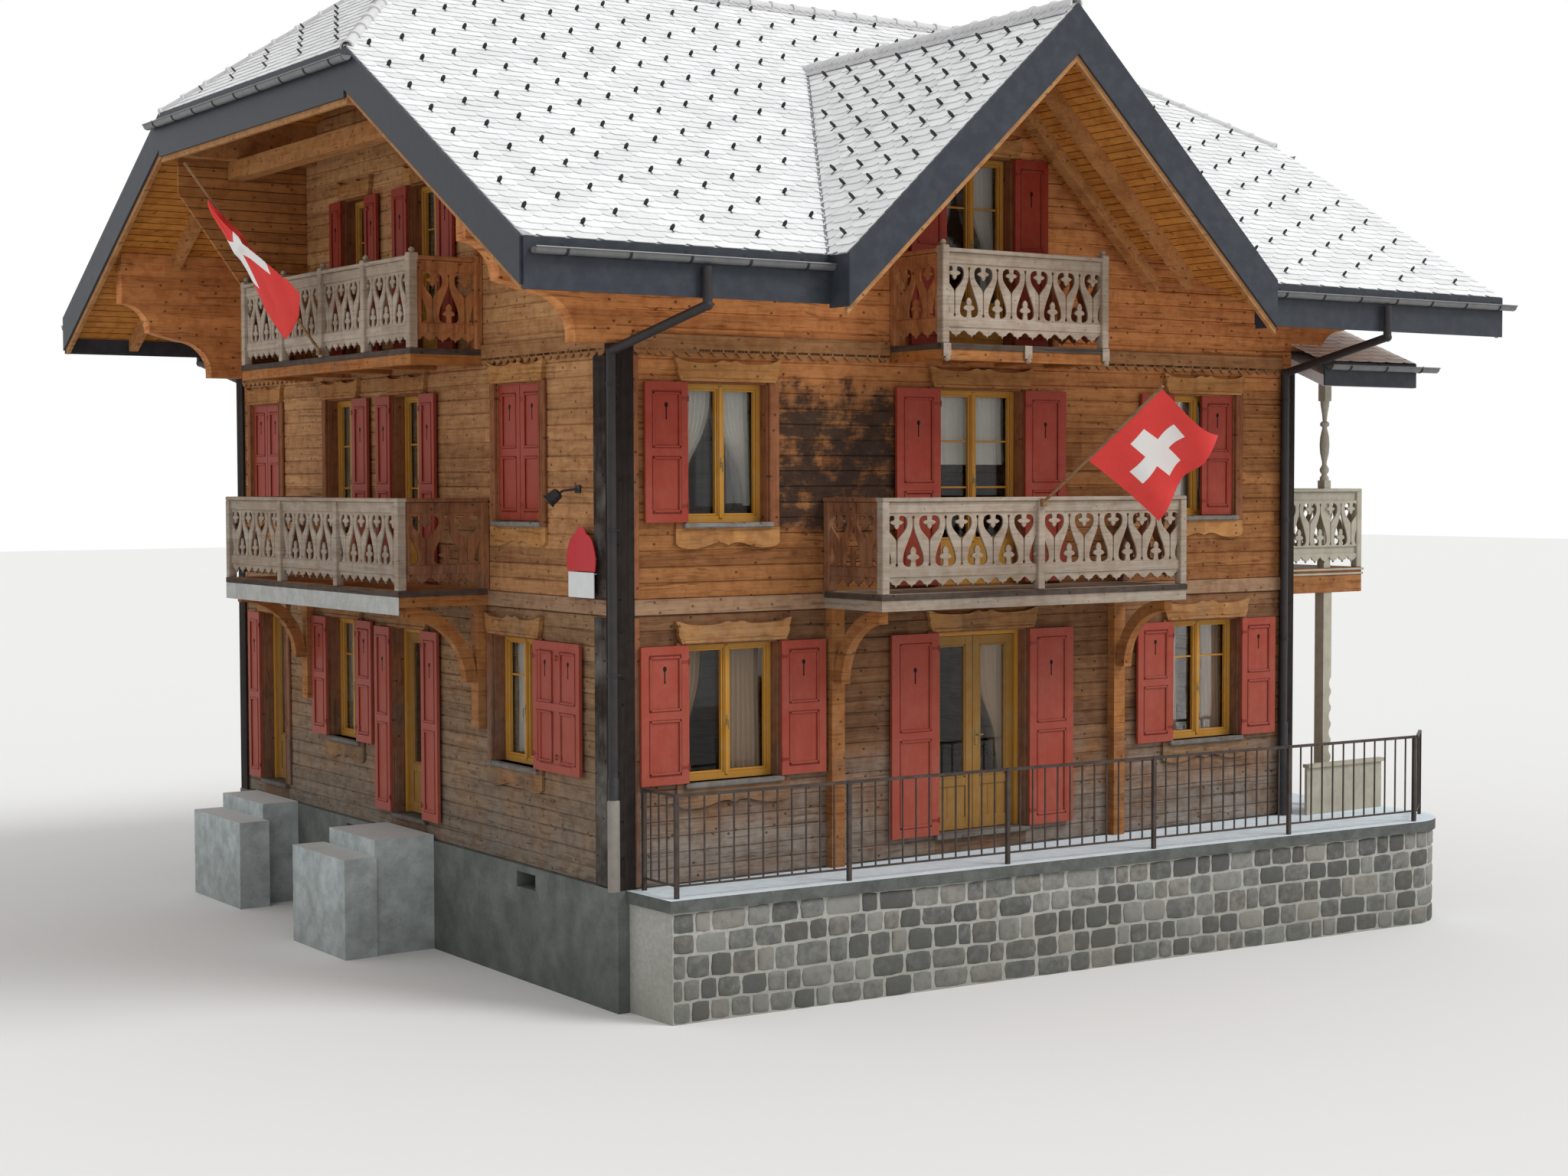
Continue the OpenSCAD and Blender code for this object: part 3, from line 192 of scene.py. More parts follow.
class Effects:
    """Shader groups that several finishes share, each built once."""

    made: dict[str, NodeTree] = {}

    @classmethod
    def _new(cls, name: str, vectors: Sequence[str], floats: Sequence[str],
             results: Sequence[str]) -> tuple[Tree, Any, Any]:
        """Starts a shader group.

        Args:
            name: the group's name.
            vectors: names of its vector inputs.
            floats: names of its number inputs.
            results: names of its outputs, all numbers.

        Returns:
            The tree, its input node and its output node.
        """
        group = bpy.data.node_groups.new(name, "ShaderNodeTree")
        for side, kind, labels in (("INPUT", "NodeSocketVector", vectors),
                                   ("INPUT", "NodeSocketFloat", floats),
                                   ("OUTPUT", "NodeSocketFloat", results)):
            for label in labels:
                group.interface.new_socket(label, in_out=side, socket_type=kind)
        tree = Tree(group)
        cls.made[name] = group
        return tree, tree.node("NodeGroupInput"), tree.node("NodeGroupOutput")

    @classmethod
    def grain(cls) -> NodeTree:
        """Returns the wood grain group: streaks along one direction, with dark knots.

        Returns:
            The group's tree.
        """
        if "wood_grain" in cls.made:
            return cls.made["wood_grain"]
        tree, given, out = cls._new("wood_grain", ("Position", "Stretch"), ("Knot Size",),
                                    ("Figure", "Knots", "Stains", "Height"))
        along = tree.vector("MULTIPLY", given.outputs["Position"], given.outputs["Stretch"])
        bend = tree.noise(given.outputs["Position"], 2.2, 2.0)
        wavy = tree.vector("ADD", along,
                           tree.node("ShaderNodeCombineXYZ", {0: bend, 1: bend, 2: bend}).outputs[0])
        fine = tree.noise(wavy, 3.4, 4.0, 0.62)
        broad = tree.noise(wavy, 0.8, 2.0)
        figure = tree.math("MULTIPLY_ADD", fine, 0.6, tree.math("MULTIPLY", broad, 0.4))
        parts = tree.node("ShaderNodeSeparateXYZ", {0: given.outputs["Position"]}).outputs
        face = tree.node("ShaderNodeCombineXYZ",
                         {0: tree.math("MULTIPLY", tree.math("ADD", parts[0], parts[1]), 0.8),
                                                  1: parts[2]}).outputs[0]
        cell = tree.node("ShaderNodeTexVoronoi", {"Vector": face, "Scale": 5.4}, voronoi_dimensions="2D")
        knots = tree.math("SUBTRACT", 1.0,
                          tree.math("DIVIDE", cell.outputs["Distance"], given.outputs["Knot Size"]))
        chosen = tree.math("GREATER_THAN",
                           tree.node("ShaderNodeSeparateColor", {0: cell.outputs["Color"]}).outputs[0], 0.45)
        spot = tree.math("MULTIPLY", tree.math("MAXIMUM", knots, 0.0, clamp=True), chosen)
        tree.feed(tree.span(figure, 0.3, 0.7), out, "Figure")
        tree.feed(tree.span(spot, 0.0, 0.55), out, "Knots")
        tree.feed(tree.span(tree.noise(wavy, 1.9, 3.0, 0.5), 0.56, 0.70), out, "Stains")
        tree.feed(tree.math("SUBTRACT", figure, tree.math("MULTIPLY", spot, 0.5)), out, "Height")
        return cls.made["wood_grain"]

    @classmethod
    def courses(cls) -> NodeTree:
        """Returns the courses group: a random tone for each log or board in level rows.

        Returns:
            The group's tree.
        """
        if "courses" in cls.made:
            return cls.made["courses"]
        tree, given, out = cls._new("courses", ("Position",), ("Row", "First", "Length"), ("Tone",))
        at = tree.node("ShaderNodeSeparateXYZ", {0: given.outputs["Position"]})
        row = tree.math("FLOOR",
                        tree.math("DIVIDE", tree.math("SUBTRACT", at.outputs[2], given.outputs["First"]),
                                           given.outputs["Row"]))
        start = tree.node("ShaderNodeTexWhiteNoise", {"W": row}, noise_dimensions="1D").outputs["Value"]
        run = tree.math("DIVIDE", tree.math("ADD", at.outputs[0], at.outputs[1]), given.outputs["Length"])
        piece = tree.math("FLOOR", tree.math("ADD", run, start))
        key = tree.node("ShaderNodeCombineXYZ", {0: row, 1: piece, 2: 3.0}).outputs[0]
        tone = tree.node("ShaderNodeTexWhiteNoise", {"Vector": key}, noise_dimensions="3D").outputs["Value"]
        tree.feed(tone, out, "Tone")
        return cls.made["courses"]

    @classmethod
    def weather(cls) -> NodeTree:
        """Returns the weather group: a patchy mask that grows from one height down to another.

        Returns:
            The group's tree.
        """
        if "weather" in cls.made:
            return cls.made["weather"]
        tree, given, out = cls._new("weather", ("Position",), ("Clear", "Full", "Patch"), ("Mask", "Mottle"))
        high = tree.height_of(given.outputs["Position"])
        depth = tree.math("DIVIDE", tree.math("SUBTRACT", given.outputs["Clear"], high),
                          tree.math("SUBTRACT", given.outputs["Clear"], given.outputs["Full"]))
        patch = tree.math("SUBTRACT", tree.noise(given.outputs["Position"], 1.7, 5.0, 0.6), 0.5)
        mask = tree.math("MULTIPLY_ADD", patch, given.outputs["Patch"], depth, clamp=True)
        tree.feed(mask, out, "Mask")
        tree.feed(tree.noise(given.outputs["Position"], 7.0, 5.0, 0.6), out, "Mottle")
        return cls.made["weather"]


class Grain(Enum):
    """How the streaks of a wood run, as a stretch of the object's own coordinates."""

    LEVEL = (0.55, 0.55, 16.0)
    UPRIGHT = (16.0, 16.0, 0.6)
    DEEP = (16.0, 0.6, 16.0)
    SLOPE = (0.6, 9.0, 9.0)


def new_material(name: str) -> tuple[Material, Tree, Node, Socket]:
    """Starts a material.

    Args:
        name: the material's name.

    Returns:
        The material, its tree, its Principled node and the object coordinates.
    """
    material = bpy.data.materials.new(name)
    material.use_nodes = True
    tree = Tree(material.node_tree)
    shader = material.node_tree.nodes["Principled BSDF"]
    at = tree.node("ShaderNodeTexCoord").outputs["Object"]
    return material, tree, shader, at


def bump(tree: Tree, shader: Node, height: Socket, distance: float, strength: float = 1.0) -> None:
    """Feeds a height into the shader's normal through a Bump node."""
    made = tree.node("ShaderNodeBump", {"Height": height, "Distance": distance, "Strength": strength})
    tree.feed(made.outputs[0], shader, "Normal")


@dataclass(frozen=True)
class WoodFinish:
    """Sawn or squared timber: streaked, knotty, toned piece by piece and greyed by weather."""

    name: str
    slot: str
    light: Colour
    dark: Colour
    grey: Colour = (0.17, 0.15, 0.125)
    grain: Grain = Grain.LEVEL
    row: float = 0.156
    first: float = 1.2
    length: float = 3.4
    clear: float = 3.0
    full: float = 0.9
    patch: float = 1.6
    knot: float = 0.10
    rough: float = 0.82
    burnt: bool = False
    groove: float = 0.0
    upper_fresh_and_lit: float = 0.0
    stain: float = 0.55
    blotch: float = 0.5
    specular: float = 0.15

    def material(self) -> Material:
        """Returns the finish as a material.

        Returns:
            The material.
        """
        material, tree, shader, at = new_material(self.name)
        rows = tree.group(Effects.courses(), {"Position": at, "Row": self.row, "First": self.first,
                                              "Length": self.length})
        wood = tree.group(Effects.grain(),
                          {"Position": at, "Stretch": self.grain.value, "Knot Size": self.knot})
        air = tree.group(Effects.weather(), {"Position": at, "Clear": self.clear, "Full": self.full,
                                             "Patch": self.patch})
        tone = tree.math("MULTIPLY_ADD", rows.outputs["Tone"], 0.5,
                         tree.math("MULTIPLY", wood.outputs["Figure"], 0.5))
        colour = tree.mix(tone, self.dark, self.light)
        # From 5.7 to 6.9 metres up the colour turns paler and more orange: partly fresher wood, partly
        # painted light on the wall in the eaves' shade.
        if self.upper_fresh_and_lit:
            high = tree.height_of(at)
            fresh_lit_colour = tree.mix(tone, tuple(c * 3.0 for c in self.dark),
                            tuple(min(c * 1.9, 0.8) for c in self.light))
            colour = tree.mix(tree.span(high, 5.7, 6.9, 0.0, self.upper_fresh_and_lit), colour, fresh_lit_colour)
        greyed = tree.mix(tree.math("MULTIPLY", wood.outputs["Figure"], 0.6),
                          tuple(c * 0.55 for c in self.grey), self.grey)
        colour = tree.mix(tree.math("MULTIPLY", air.outputs["Mask"], 0.85), colour, greyed)
        if self.burnt:
            colour = self.weather_black(tree, at, colour, air.outputs["Mottle"], wood.outputs["Figure"])
        blotch = tree.math("MULTIPLY", tree.span(air.outputs["Mottle"], 0.42, 0.66), self.blotch)
        colour = tree.mix(blotch, colour, tree.mix(1.0, colour, (0.62, 0.46, 0.36), "MULTIPLY"))
        colour = tree.mix(tree.math("MULTIPLY", wood.outputs["Stains"], self.stain), colour,
                          tuple(c * 0.45 for c in self.dark))
        colour = tree.mix(tree.math("MULTIPLY", wood.outputs["Knots"], 0.75), colour,
                          tuple(c * 0.3 for c in self.dark))
        shader.inputs["Specular IOR Level"].default_value = self.specular
        height = wood.outputs["Height"]
        if self.groove:
            drop = tree.height_of(at)
            phase = tree.math("PINGPONG", tree.math("SUBTRACT", drop, self.first), self.row / 2)
            line = tree.span(phase, 0.0, self.groove)
            colour = tree.mix(line, tuple(c * 0.25 for c in self.dark), colour)
            height = tree.math("MULTIPLY_ADD", line, 2.0, height)
        tree.feed(colour, shader, "Base Color")
        tree.feed(tree.math("MULTIPLY_ADD", wood.outputs["Figure"], -0.18, self.rough + 0.08), shader,
                  "Roughness")
        bump(tree, shader, height, 0.006, 0.7)
        return material

    def weather_black(self, tree: Tree, at: Socket, colour: Socket, mottle: Socket,
                      figure: Socket) -> Socket:
        """Scorches the logs of the front wall between its first floor windows.

        Args:
            tree: the material's tree.
            at: object coordinates.
            colour: the colour so far.
            mottle: a patchy value.
            figure: the streaks.

        Returns:
            The colour with the black patches.
        """
        parts = tree.node("ShaderNodeSeparateXYZ", {0: at})
        across = tree.span(tree.math("ABSOLUTE", tree.math("SUBTRACT", parts.outputs[0], BURNT_X)), 1.15,
                           0.55)
        height = tree.span(tree.math("ABSOLUTE", tree.math("SUBTRACT", parts.outputs[2], BURNT_Z)), 1.0,
                           0.45)
        front = tree.math("LESS_THAN", parts.outputs[1], 0.3)
        mask = tree.math("MULTIPLY", tree.math("MULTIPLY", across, height), front)
        uneven = tree.math("MULTIPLY_ADD", tree.math("SUBTRACT", tree.noise(at, 3.0, 5.0, 0.6), 0.5), 2.6,
                           mask)
        uneven = tree.math("MULTIPLY_ADD", tree.math("SUBTRACT", mottle, 0.5), 1.2, uneven)
        uneven = tree.math("MULTIPLY_ADD", tree.math("SUBTRACT", figure, 0.5), 0.6, uneven)
        uneven = tree.math("MULTIPLY", tree.span(uneven, 0.34, 1.05), tree.math("GREATER_THAN", mask, 0.01))
        return tree.mix(tree.math("MULTIPLY", uneven, 0.90), colour, (0.020, 0.016, 0.015))


@dataclass(frozen=True)
class PaintFinish:
    """Painted wood or metal: an even coat that fades in patches and grows paler towards the ground, partly
    real fading and partly painted sunlight.
    """

    name: str
    slot: str
    colour: Colour
    faded: Colour
    grain: Grain = Grain.UPRIGHT
    rough: float = 0.5
    fade: float = 0.55
    relief: float = 0.0012
    metal: float = 0.0
    top: Colour | None = None
    low_fade_and_sunlight: float = 0.0
    specular: float = 0.2

    def material(self) -> Material:
        """Returns the finish as a material.

        Returns:
            The material.
        """
        material, tree, shader, at = new_material(self.name)
        wood = tree.group(Effects.grain(),
                          {"Position": at, "Stretch": self.grain.value, "Knot Size": 0.0001})
        air = tree.group(Effects.weather(), {"Position": at, "Clear": 6.0, "Full": 1.0, "Patch": 1.4})
        amount = tree.math("MULTIPLY", tree.span(air.outputs["Mottle"], 0.35, 0.7), self.fade)
        # Paler lower down: partly faded paint, partly painted sunlight on the lower parts.
        amount = tree.math("MULTIPLY_ADD", air.outputs["Mask"], self.low_fade_and_sunlight, amount, clamp=True)
        colour = tree.mix(amount, self.colour, self.faded)
        colour = tree.mix(tree.math("MULTIPLY", wood.outputs["Figure"], 0.22), colour,
                          tuple(c * 0.6 for c in self.colour))
        # Upward faces take their own colour: painted light on the tops.
        if self.top:
            colour = tree.mix(tree.facing_up(), colour, self.top)
        tree.feed(colour, shader, "Base Color")
        tree.feed(tree.math("MULTIPLY_ADD", air.outputs["Mottle"], 0.25, self.rough - 0.12), shader,
                  "Roughness")
        shader.inputs["Metallic"].default_value = self.metal
        shader.inputs["Specular IOR Level"].default_value = self.specular
        bump(tree, shader, wood.outputs["Height"], self.relief, 0.6)
        return material


@dataclass(frozen=True)
class ShingleFinish:
    """Small pale shingles, each with its own tone, specked with dirt."""

    name: str
    slot: str
    pale: Colour
    shade: Colour
    rough: float = 0.62

    def material(self) -> Material:
        """Returns the finish as a material.

        Returns:
            The material.
        """
        material, tree, shader, at = new_material(self.name)
        tone = tree.node("ShaderNodeAttribute", attribute_name="tone").outputs["Fac"]
        air = tree.group(Effects.weather(), {"Position": at, "Clear": 14.0, "Full": 2.0, "Patch": 1.0})
        colour = tree.mix(tone, self.shade, self.pale)
        speck = tree.noise(at, 46.0, 3.0, 0.7)
        colour = tree.mix(tree.span(speck, 0.58, 0.76, 0.0, 0.35), colour,
                          tuple(c * 0.5 for c in self.shade))
        colour = tree.mix(tree.span(air.outputs["Mottle"], 0.5, 0.8, 0.0, 0.22), colour, (0.36, 0.36, 0.33))
        tree.feed(colour, shader, "Base Color")
        tree.feed(tree.math("MULTIPLY_ADD", speck, 0.3, self.rough - 0.15), shader, "Roughness")
        bump(tree, shader, speck, 0.0015, 0.6)
        return material


@dataclass(frozen=True)
class MineralFinish:
    """Stone, mortar, render or concrete: mottled and rough, with its own tone in each stone."""

    name: str
    slot: str
    pale: Colour
    dark: Colour
    stain: Colour
    scale: float = 9.0
    relief: float = 0.01
    toned: bool = False
    rough: float = 0.9
    stain_top: float = 1.0
    top: Colour | None = None
    specular: float = 0.2

    def material(self) -> Material:
        """Returns the finish as a material.

        Returns:
            The material.
        """
        material, tree, shader, at = new_material(self.name)
        coarse = tree.noise(at, self.scale, 6.0, 0.62)
        fine = tree.noise(at, self.scale * 9.0, 4.0, 0.7)
        tone = tree.math("MULTIPLY_ADD", coarse, 0.75, tree.math("MULTIPLY", fine, 0.25))
        if self.toned:
            own = tree.node("ShaderNodeAttribute", attribute_name="tone").outputs["Fac"]
            tone = tree.math("MULTIPLY_ADD", tree.math("SUBTRACT", own, 0.5), 0.8, tone)
        colour = tree.mix(tree.span(tone, 0.25, 0.8), self.dark, self.pale)
        air = tree.group(Effects.weather(),
                         {"Position": at, "Clear": self.stain_top, "Full": self.stain_top - 1.1,
                                             "Patch": 2.2})
        colour = tree.mix(tree.math("MULTIPLY", air.outputs["Mask"], 0.45), colour, self.stain)
        if self.toned:
            hue = tree.span(tree.math("FRACT", tree.math("MULTIPLY", own, 7.0)), 0.55, 0.8, 0.0, 0.2)
            colour = tree.mix(hue, colour, tree.mix(1.0, colour, (1.15, 0.93, 0.74), "MULTIPLY"))
        # Upward faces take their own colour: painted light from the sky on the tops.
        if self.top:
            colour = tree.mix(tree.math("MULTIPLY", tree.facing_up(), tree.span(tone, 0.1, 0.7, 0.7, 1.0)),
                              colour,
                              self.top)
        tree.feed(colour, shader, "Base Color")
        tree.feed(tree.math("MULTIPLY_ADD", fine, -0.15, self.rough), shader, "Roughness")
        shader.inputs["Specular IOR Level"].default_value = self.specular
        bump(tree, shader, tree.math("MULTIPLY_ADD", fine, 0.35, coarse), self.relief, 0.8)
        return material


@dataclass(frozen=True)
class ClothFinish:
    """Woven cloth, with a weave across its own UV map and an optional cross read from that map."""

    name: str
    slot: str
    colour: Colour
    device: Colour | None = None
    threads: float = 420.0
    sheer: float = 1.0
    rough: float = 0.85
    sheen: float = 0.05
    cross_arm: float = 0.19
    cross_half: float = 0.32

    def material(self) -> Material:
        """Returns the finish as a material.

        Returns:
            The material.
        """
        material, tree, shader, at = new_material(self.name)
        chart = tree.node("ShaderNodeUVMap", uv_map="cloth").outputs[0]
        spot = tree.node("ShaderNodeSeparateXYZ", {0: chart})
        waves = [tree.math("SINE", tree.math("MULTIPLY", spot.outputs[i], self.threads)) for i in (0, 1)]
        weave = tree.math("MULTIPLY", *waves)
        colour = tree.mix(tree.noise(at, 6.0), tuple(c * 0.82 for c in self.colour), self.colour)
        if self.device:
            arms = []
            for i in (0, 1):
                wide = tree.math("ABSOLUTE", tree.math("SUBTRACT", spot.outputs[i], 0.5))
                tall = tree.math("ABSOLUTE", tree.math("SUBTRACT", spot.outputs[1 - i], 0.5))
                arms.append(tree.math("MULTIPLY", tree.math("LESS_THAN", wide, self.cross_arm / 2),
                                      tree.math("LESS_THAN", tall, self.cross_half)))
            colour = tree.mix(tree.math("MAXIMUM", *arms), colour, self.device)
        # A faint white veil along the weave: painted sheen on the threads.
        colour = tree.mix(tree.math("MULTIPLY_ADD", weave, 0.02, 0.02), colour, (0.9, 0.9, 0.9))
        tree.feed(colour, shader, "Base Color")
        shader.inputs["Roughness"].default_value = self.rough
        shader.inputs["Sheen Weight"].default_value = self.sheen
        shader.inputs["Alpha"].default_value = self.sheer
        bump(tree, shader, weave, 0.0006, 0.5)
        return material


@dataclass(frozen=True)
class GlassFinish:
    """Clear window glass."""

    name: str
    slot: str
    tint: Colour = (0.78, 0.82, 0.80)
    alpha: float = 0.3
    rough: float = 0.03
    specular: float = 0.10
    index: float = 1.45

    def material(self) -> Material:
        """Returns the finish as a material.

        Returns:
            The material.
        """
        material, tree, shader, at = new_material(self.name)
        for label, value in (("Base Color", (*self.tint, 1.0)), ("Alpha", self.alpha),
                             ("Roughness", self.rough),
                             ("Specular IOR Level", self.specular), ("IOR", self.index),
                             ("Transmission Weight", 1.0)):
            shader.inputs[label].default_value = value
        wave = tree.noise(at, 1.6, 1.0)
        bump(tree, shader, wave, 0.002, 0.25)
        return material


@dataclass(frozen=True)
class Plan:
    """The chalet's main sizes, the same as its solid parts."""

    width: float = 9.25
    depth: float = 9.53
    wall: float = 0.2
    plinth: float = 1.2
    ground: float = 1.4
    first: float = 4.04
    attic: float = 6.56
    left: float = -1.79
    right: float = 11.24
    near: float = -1.43
    far: float = 10.96
    eave: float = 7.30
    main_pitch: float = 31.0
    hip_foot: float = 9.466
    hip_pitch: float = 37.4
    gable_x: float = 4.32
    gable_top: float = 9.92
    gable_near: float = -1.74
    gable_pitch: float = 42.7
    course: float = 0.1565
    joinery: float = 0.12
    casing: float = 0.12
    casing_out: float = 0.03
    shutter: float = 0.035
    rail: float = 0.96
    post: float = 0.09

    @property
    def ridge_y(self) -> float:
        """Returns where the main ridge lies along Y."""
        return self.depth / 2

    @property
    def ridge_z(self) -> float:
        """Returns the height of the main ridge."""
        return self.eave + (self.ridge_y - self.near) * math.tan(math.radians(self.main_pitch))

    @property
    def hip_y(self) -> float:
        """Returns where the half-hip's near corner lies along Y."""
        return self.near + (self.hip_foot - self.eave) / math.tan(math.radians(self.main_pitch))

    @property
    def hip_run(self) -> float:
        """Returns how far a half-hip reaches inwards from its eave."""
        return (self.ridge_z - self.hip_foot) / math.tan(math.radians(self.hip_pitch))

    @property
    def gable_half(self) -> float:
        """Returns half the front gable's width at its eaves."""
        return (self.gable_top - self.eave) / math.tan(math.radians(self.gable_pitch))

    @property
    def valley_y(self) -> float:
        """Returns where the front gable's ridge meets the main slope."""
        return self.near + (self.gable_top - self.eave) / math.tan(math.radians(self.main_pitch))


PLAN = Plan()
BURNT_X, BURNT_Z = 2.65, 5.35
PORCH_EAVE = PLAN.first + 2.51
PORCH_RISE = math.tan(math.radians(22))
PORCH_ROOF_W, PORCH_ROOF_NEAR, PORCH_ROOF_FAR = 1.57, -0.5, 3.09
GABLE_DECK_X, GABLE_DECK_W = 3.29, 2.25
ATTIC_DECK_Y, ATTIC_DECK_W = 2.76, 4.56
GROUND_SILL, GROUND_HEAD = PLAN.plinth + 0.99, PLAN.plinth + 2.37
FIRST_SILL, FIRST_HEAD = PLAN.first + 0.72, PLAN.first + 2.11
FRONT_DOOR = (3.90, 5.16)
SIDE_DOOR = (PLAN.depth - 5.0, PLAN.depth - 4.19)
BACK_SIDE_DOOR = (PLAN.depth - 8.82, PLAN.depth - 8.08)
SIDE_DOOR_DROP = 0.04
FRAME_W = 0.065
ALONG_X = Matrix(((0, 0, 1, 0), (1, 0, 0, 0), (0, 1, 0, 0), (0, 0, 0, 1)))
FLAT_BOARD = Matrix(((1, 0, 0, 0), (0, 0, -1, 0), (0, 1, 0, 0), (0, 0, 0, 1)))
BLOCK_FACES = ((0, 1, 2, 3), (7, 6, 5, 4), (0, 4, 5, 1), (1, 5, 6, 2), (2, 6, 7, 3), (3, 7, 4, 0))


class Side(Enum):
    """The four walls, as the turn that carries a wall's own frame into the house's."""

    FRONT = 0
    LEFT = -90
    RIGHT = 90
    BACK = 180

    @property
    def matrix(self) -> Matrix:
        """Returns the matrix from the wall's frame, X along it and -Y outwards, to the house's.

        Returns:
            The matrix.
        """
        start = {
            Side.FRONT: (0.0, 0.0, 0.0),
            Side.LEFT: (0.0, PLAN.depth, 0.0),
            Side.RIGHT: (PLAN.width, 0.0, 0.0),
            Side.BACK: (PLAN.width, PLAN.depth, 0.0),
        }[self]
        return Matrix.Translation(start) @ Matrix.Rotation(math.radians(self.value), 4, "Z")

    @property
    def length(self) -> float:
        """Returns how long the wall is."""
        return PLAN.width if self in (Side.FRONT, Side.BACK) else PLAN.depth


class Leaf(Enum):
    """How a shutter leaf stands at an opening."""

    NONE = 0
    OPEN = 1
    CLOSED = 2
    CLOSED_ALONE = 3
    OPEN_WIDE = 4


class Kind(Enum):
    """What an opening is."""

    WINDOW = 0
    BALCONY_DOOR = 1
    HOUSE_DOOR = 2


@dataclass(frozen=True)
class Opening:
    """A hole in a wall, in the wall's own frame."""

    side: Side
    start: float
    end: float
    foot: float
    head: float
    kind: Kind = Kind.WINDOW
    left: Leaf = Leaf.OPEN
    right: Leaf = Leaf.OPEN

    @property
    def middle(self) -> float:
        """Returns the middle along the wall."""
        return (self.start + self.end) / 2

    @property
    def glass_foot(self) -> float:
        """Returns the lowest glazed height."""
        return self.foot + (0.48 if self.kind is Kind.BALCONY_DOOR else FRAME_W)


def all_openings() -> list[Opening]:
    """Returns every window, balcony door and house door.

    Returns:
        The openings.
    """
    p, d = PLAN, PLAN.depth
    s1, h1, s2, h2 = GROUND_SILL, GROUND_HEAD, FIRST_SILL, FIRST_HEAD
    h3 = p.attic + 1.90
    door, main = Kind.BALCONY_DOOR, Kind.HOUSE_DOOR
    shut, none = Leaf.CLOSED, Leaf.NONE
    found = [
        Opening(Side.FRONT, 0.77, 1.88, s1, h1),
        Opening(Side.FRONT, 7.30, 8.40, s1, h1),
        Opening(Side.FRONT, *FRONT_DOOR, p.ground, h1, main),
        Opening(Side.FRONT, 0.77, 1.76, s2, h2, right=none),
        Opening(Side.FRONT, 3.92, 5.09, p.first + 0.02, h2, door),
        Opening(Side.FRONT, 7.30, 8.31, s2, h2, right=Leaf.CLOSED_ALONE),
        Opening(Side.FRONT, 4.0, 4.94, p.attic + 0.02, p.attic + 2.06, door),
        Opening(Side.LEFT, d - 6.76, d - 5.91, s1 - 0.06, h1),
        Opening(Side.LEFT, d - 2.56, d - 1.60, s1 + 0.04, h1, left=none, right=Leaf.OPEN_WIDE),
        Opening(Side.LEFT, *SIDE_DOOR, p.ground, h1 - SIDE_DOOR_DROP, main),
        Opening(Side.LEFT, *BACK_SIDE_DOOR, p.ground, h1 - SIDE_DOOR_DROP, main, right=none),
        Opening(Side.LEFT, d - 9.10, d - 8.20, s2, h2, left=shut, right=shut),
        Opening(Side.LEFT, d - 6.76, d - 5.94, p.first + 0.02, h2, door, left=none),
        Opening(Side.LEFT, d - 4.93, d - 4.18, p.first + 0.02, h2, door),
        Opening(Side.LEFT, d - 2.45, d - 1.50, s2, h2 + 0.04, left=shut, right=shut),
        Opening(Side.LEFT, d - 6.20, d - 5.55, p.attic + 0.02, h3, door),
        Opening(Side.LEFT, d - 4.45, d - 3.70, p.attic + 0.02, h3, door),
        Opening(Side.RIGHT, 0.90, 1.70, p.first + 0.07, h2, door, left=none),
    ]
    for start in (3.90, 6.90):
        found.append(Opening(Side.RIGHT, start, start + 1.05, s1, h1))
        found.append(Opening(Side.RIGHT, start, start + 1.05, s2, h2))
    for start in (3.50, 5.28):
        found.append(Opening(Side.RIGHT, start, start + 0.75, p.attic + 0.7, h3))
    for start in (0.85, 4.075, 7.30):
        found.append(Opening(Side.BACK, start, start + 1.10, s1, h1))
        found.append(Opening(Side.BACK, start, start + 1.10, s2, h2))
    return found


@contextmanager
def edited(mesh: Mesh) -> Iterator[bmesh.types.BMesh]:
    """Opens a mesh for changes and writes them back.

    Args:
        mesh: the mesh.

    Returns:
        Its editable form, for the length of the block.
    """
    bm = bmesh.new()
    bm.from_mesh(mesh)
    yield bm
    bm.to_mesh(mesh)
    bm.free()


def placed(name: str, data: Any) -> Object:
    """Returns a new object with the data, linked to the scene.

    Args:
        name: the object's name.
        data: its mesh, curve, camera or lamp.

    Returns:
        The object.
    """
    made = bpy.data.objects.new(name, data)
    bpy.context.scene.collection.objects.link(made)
    return made


def result_of(holder: Object) -> Mesh:
    """Returns a plain mesh of what an object shows with its modifiers."""
    graph = bpy.context.evaluated_depsgraph_get()
    return bpy.data.meshes.new_from_object(holder.evaluated_get(graph))


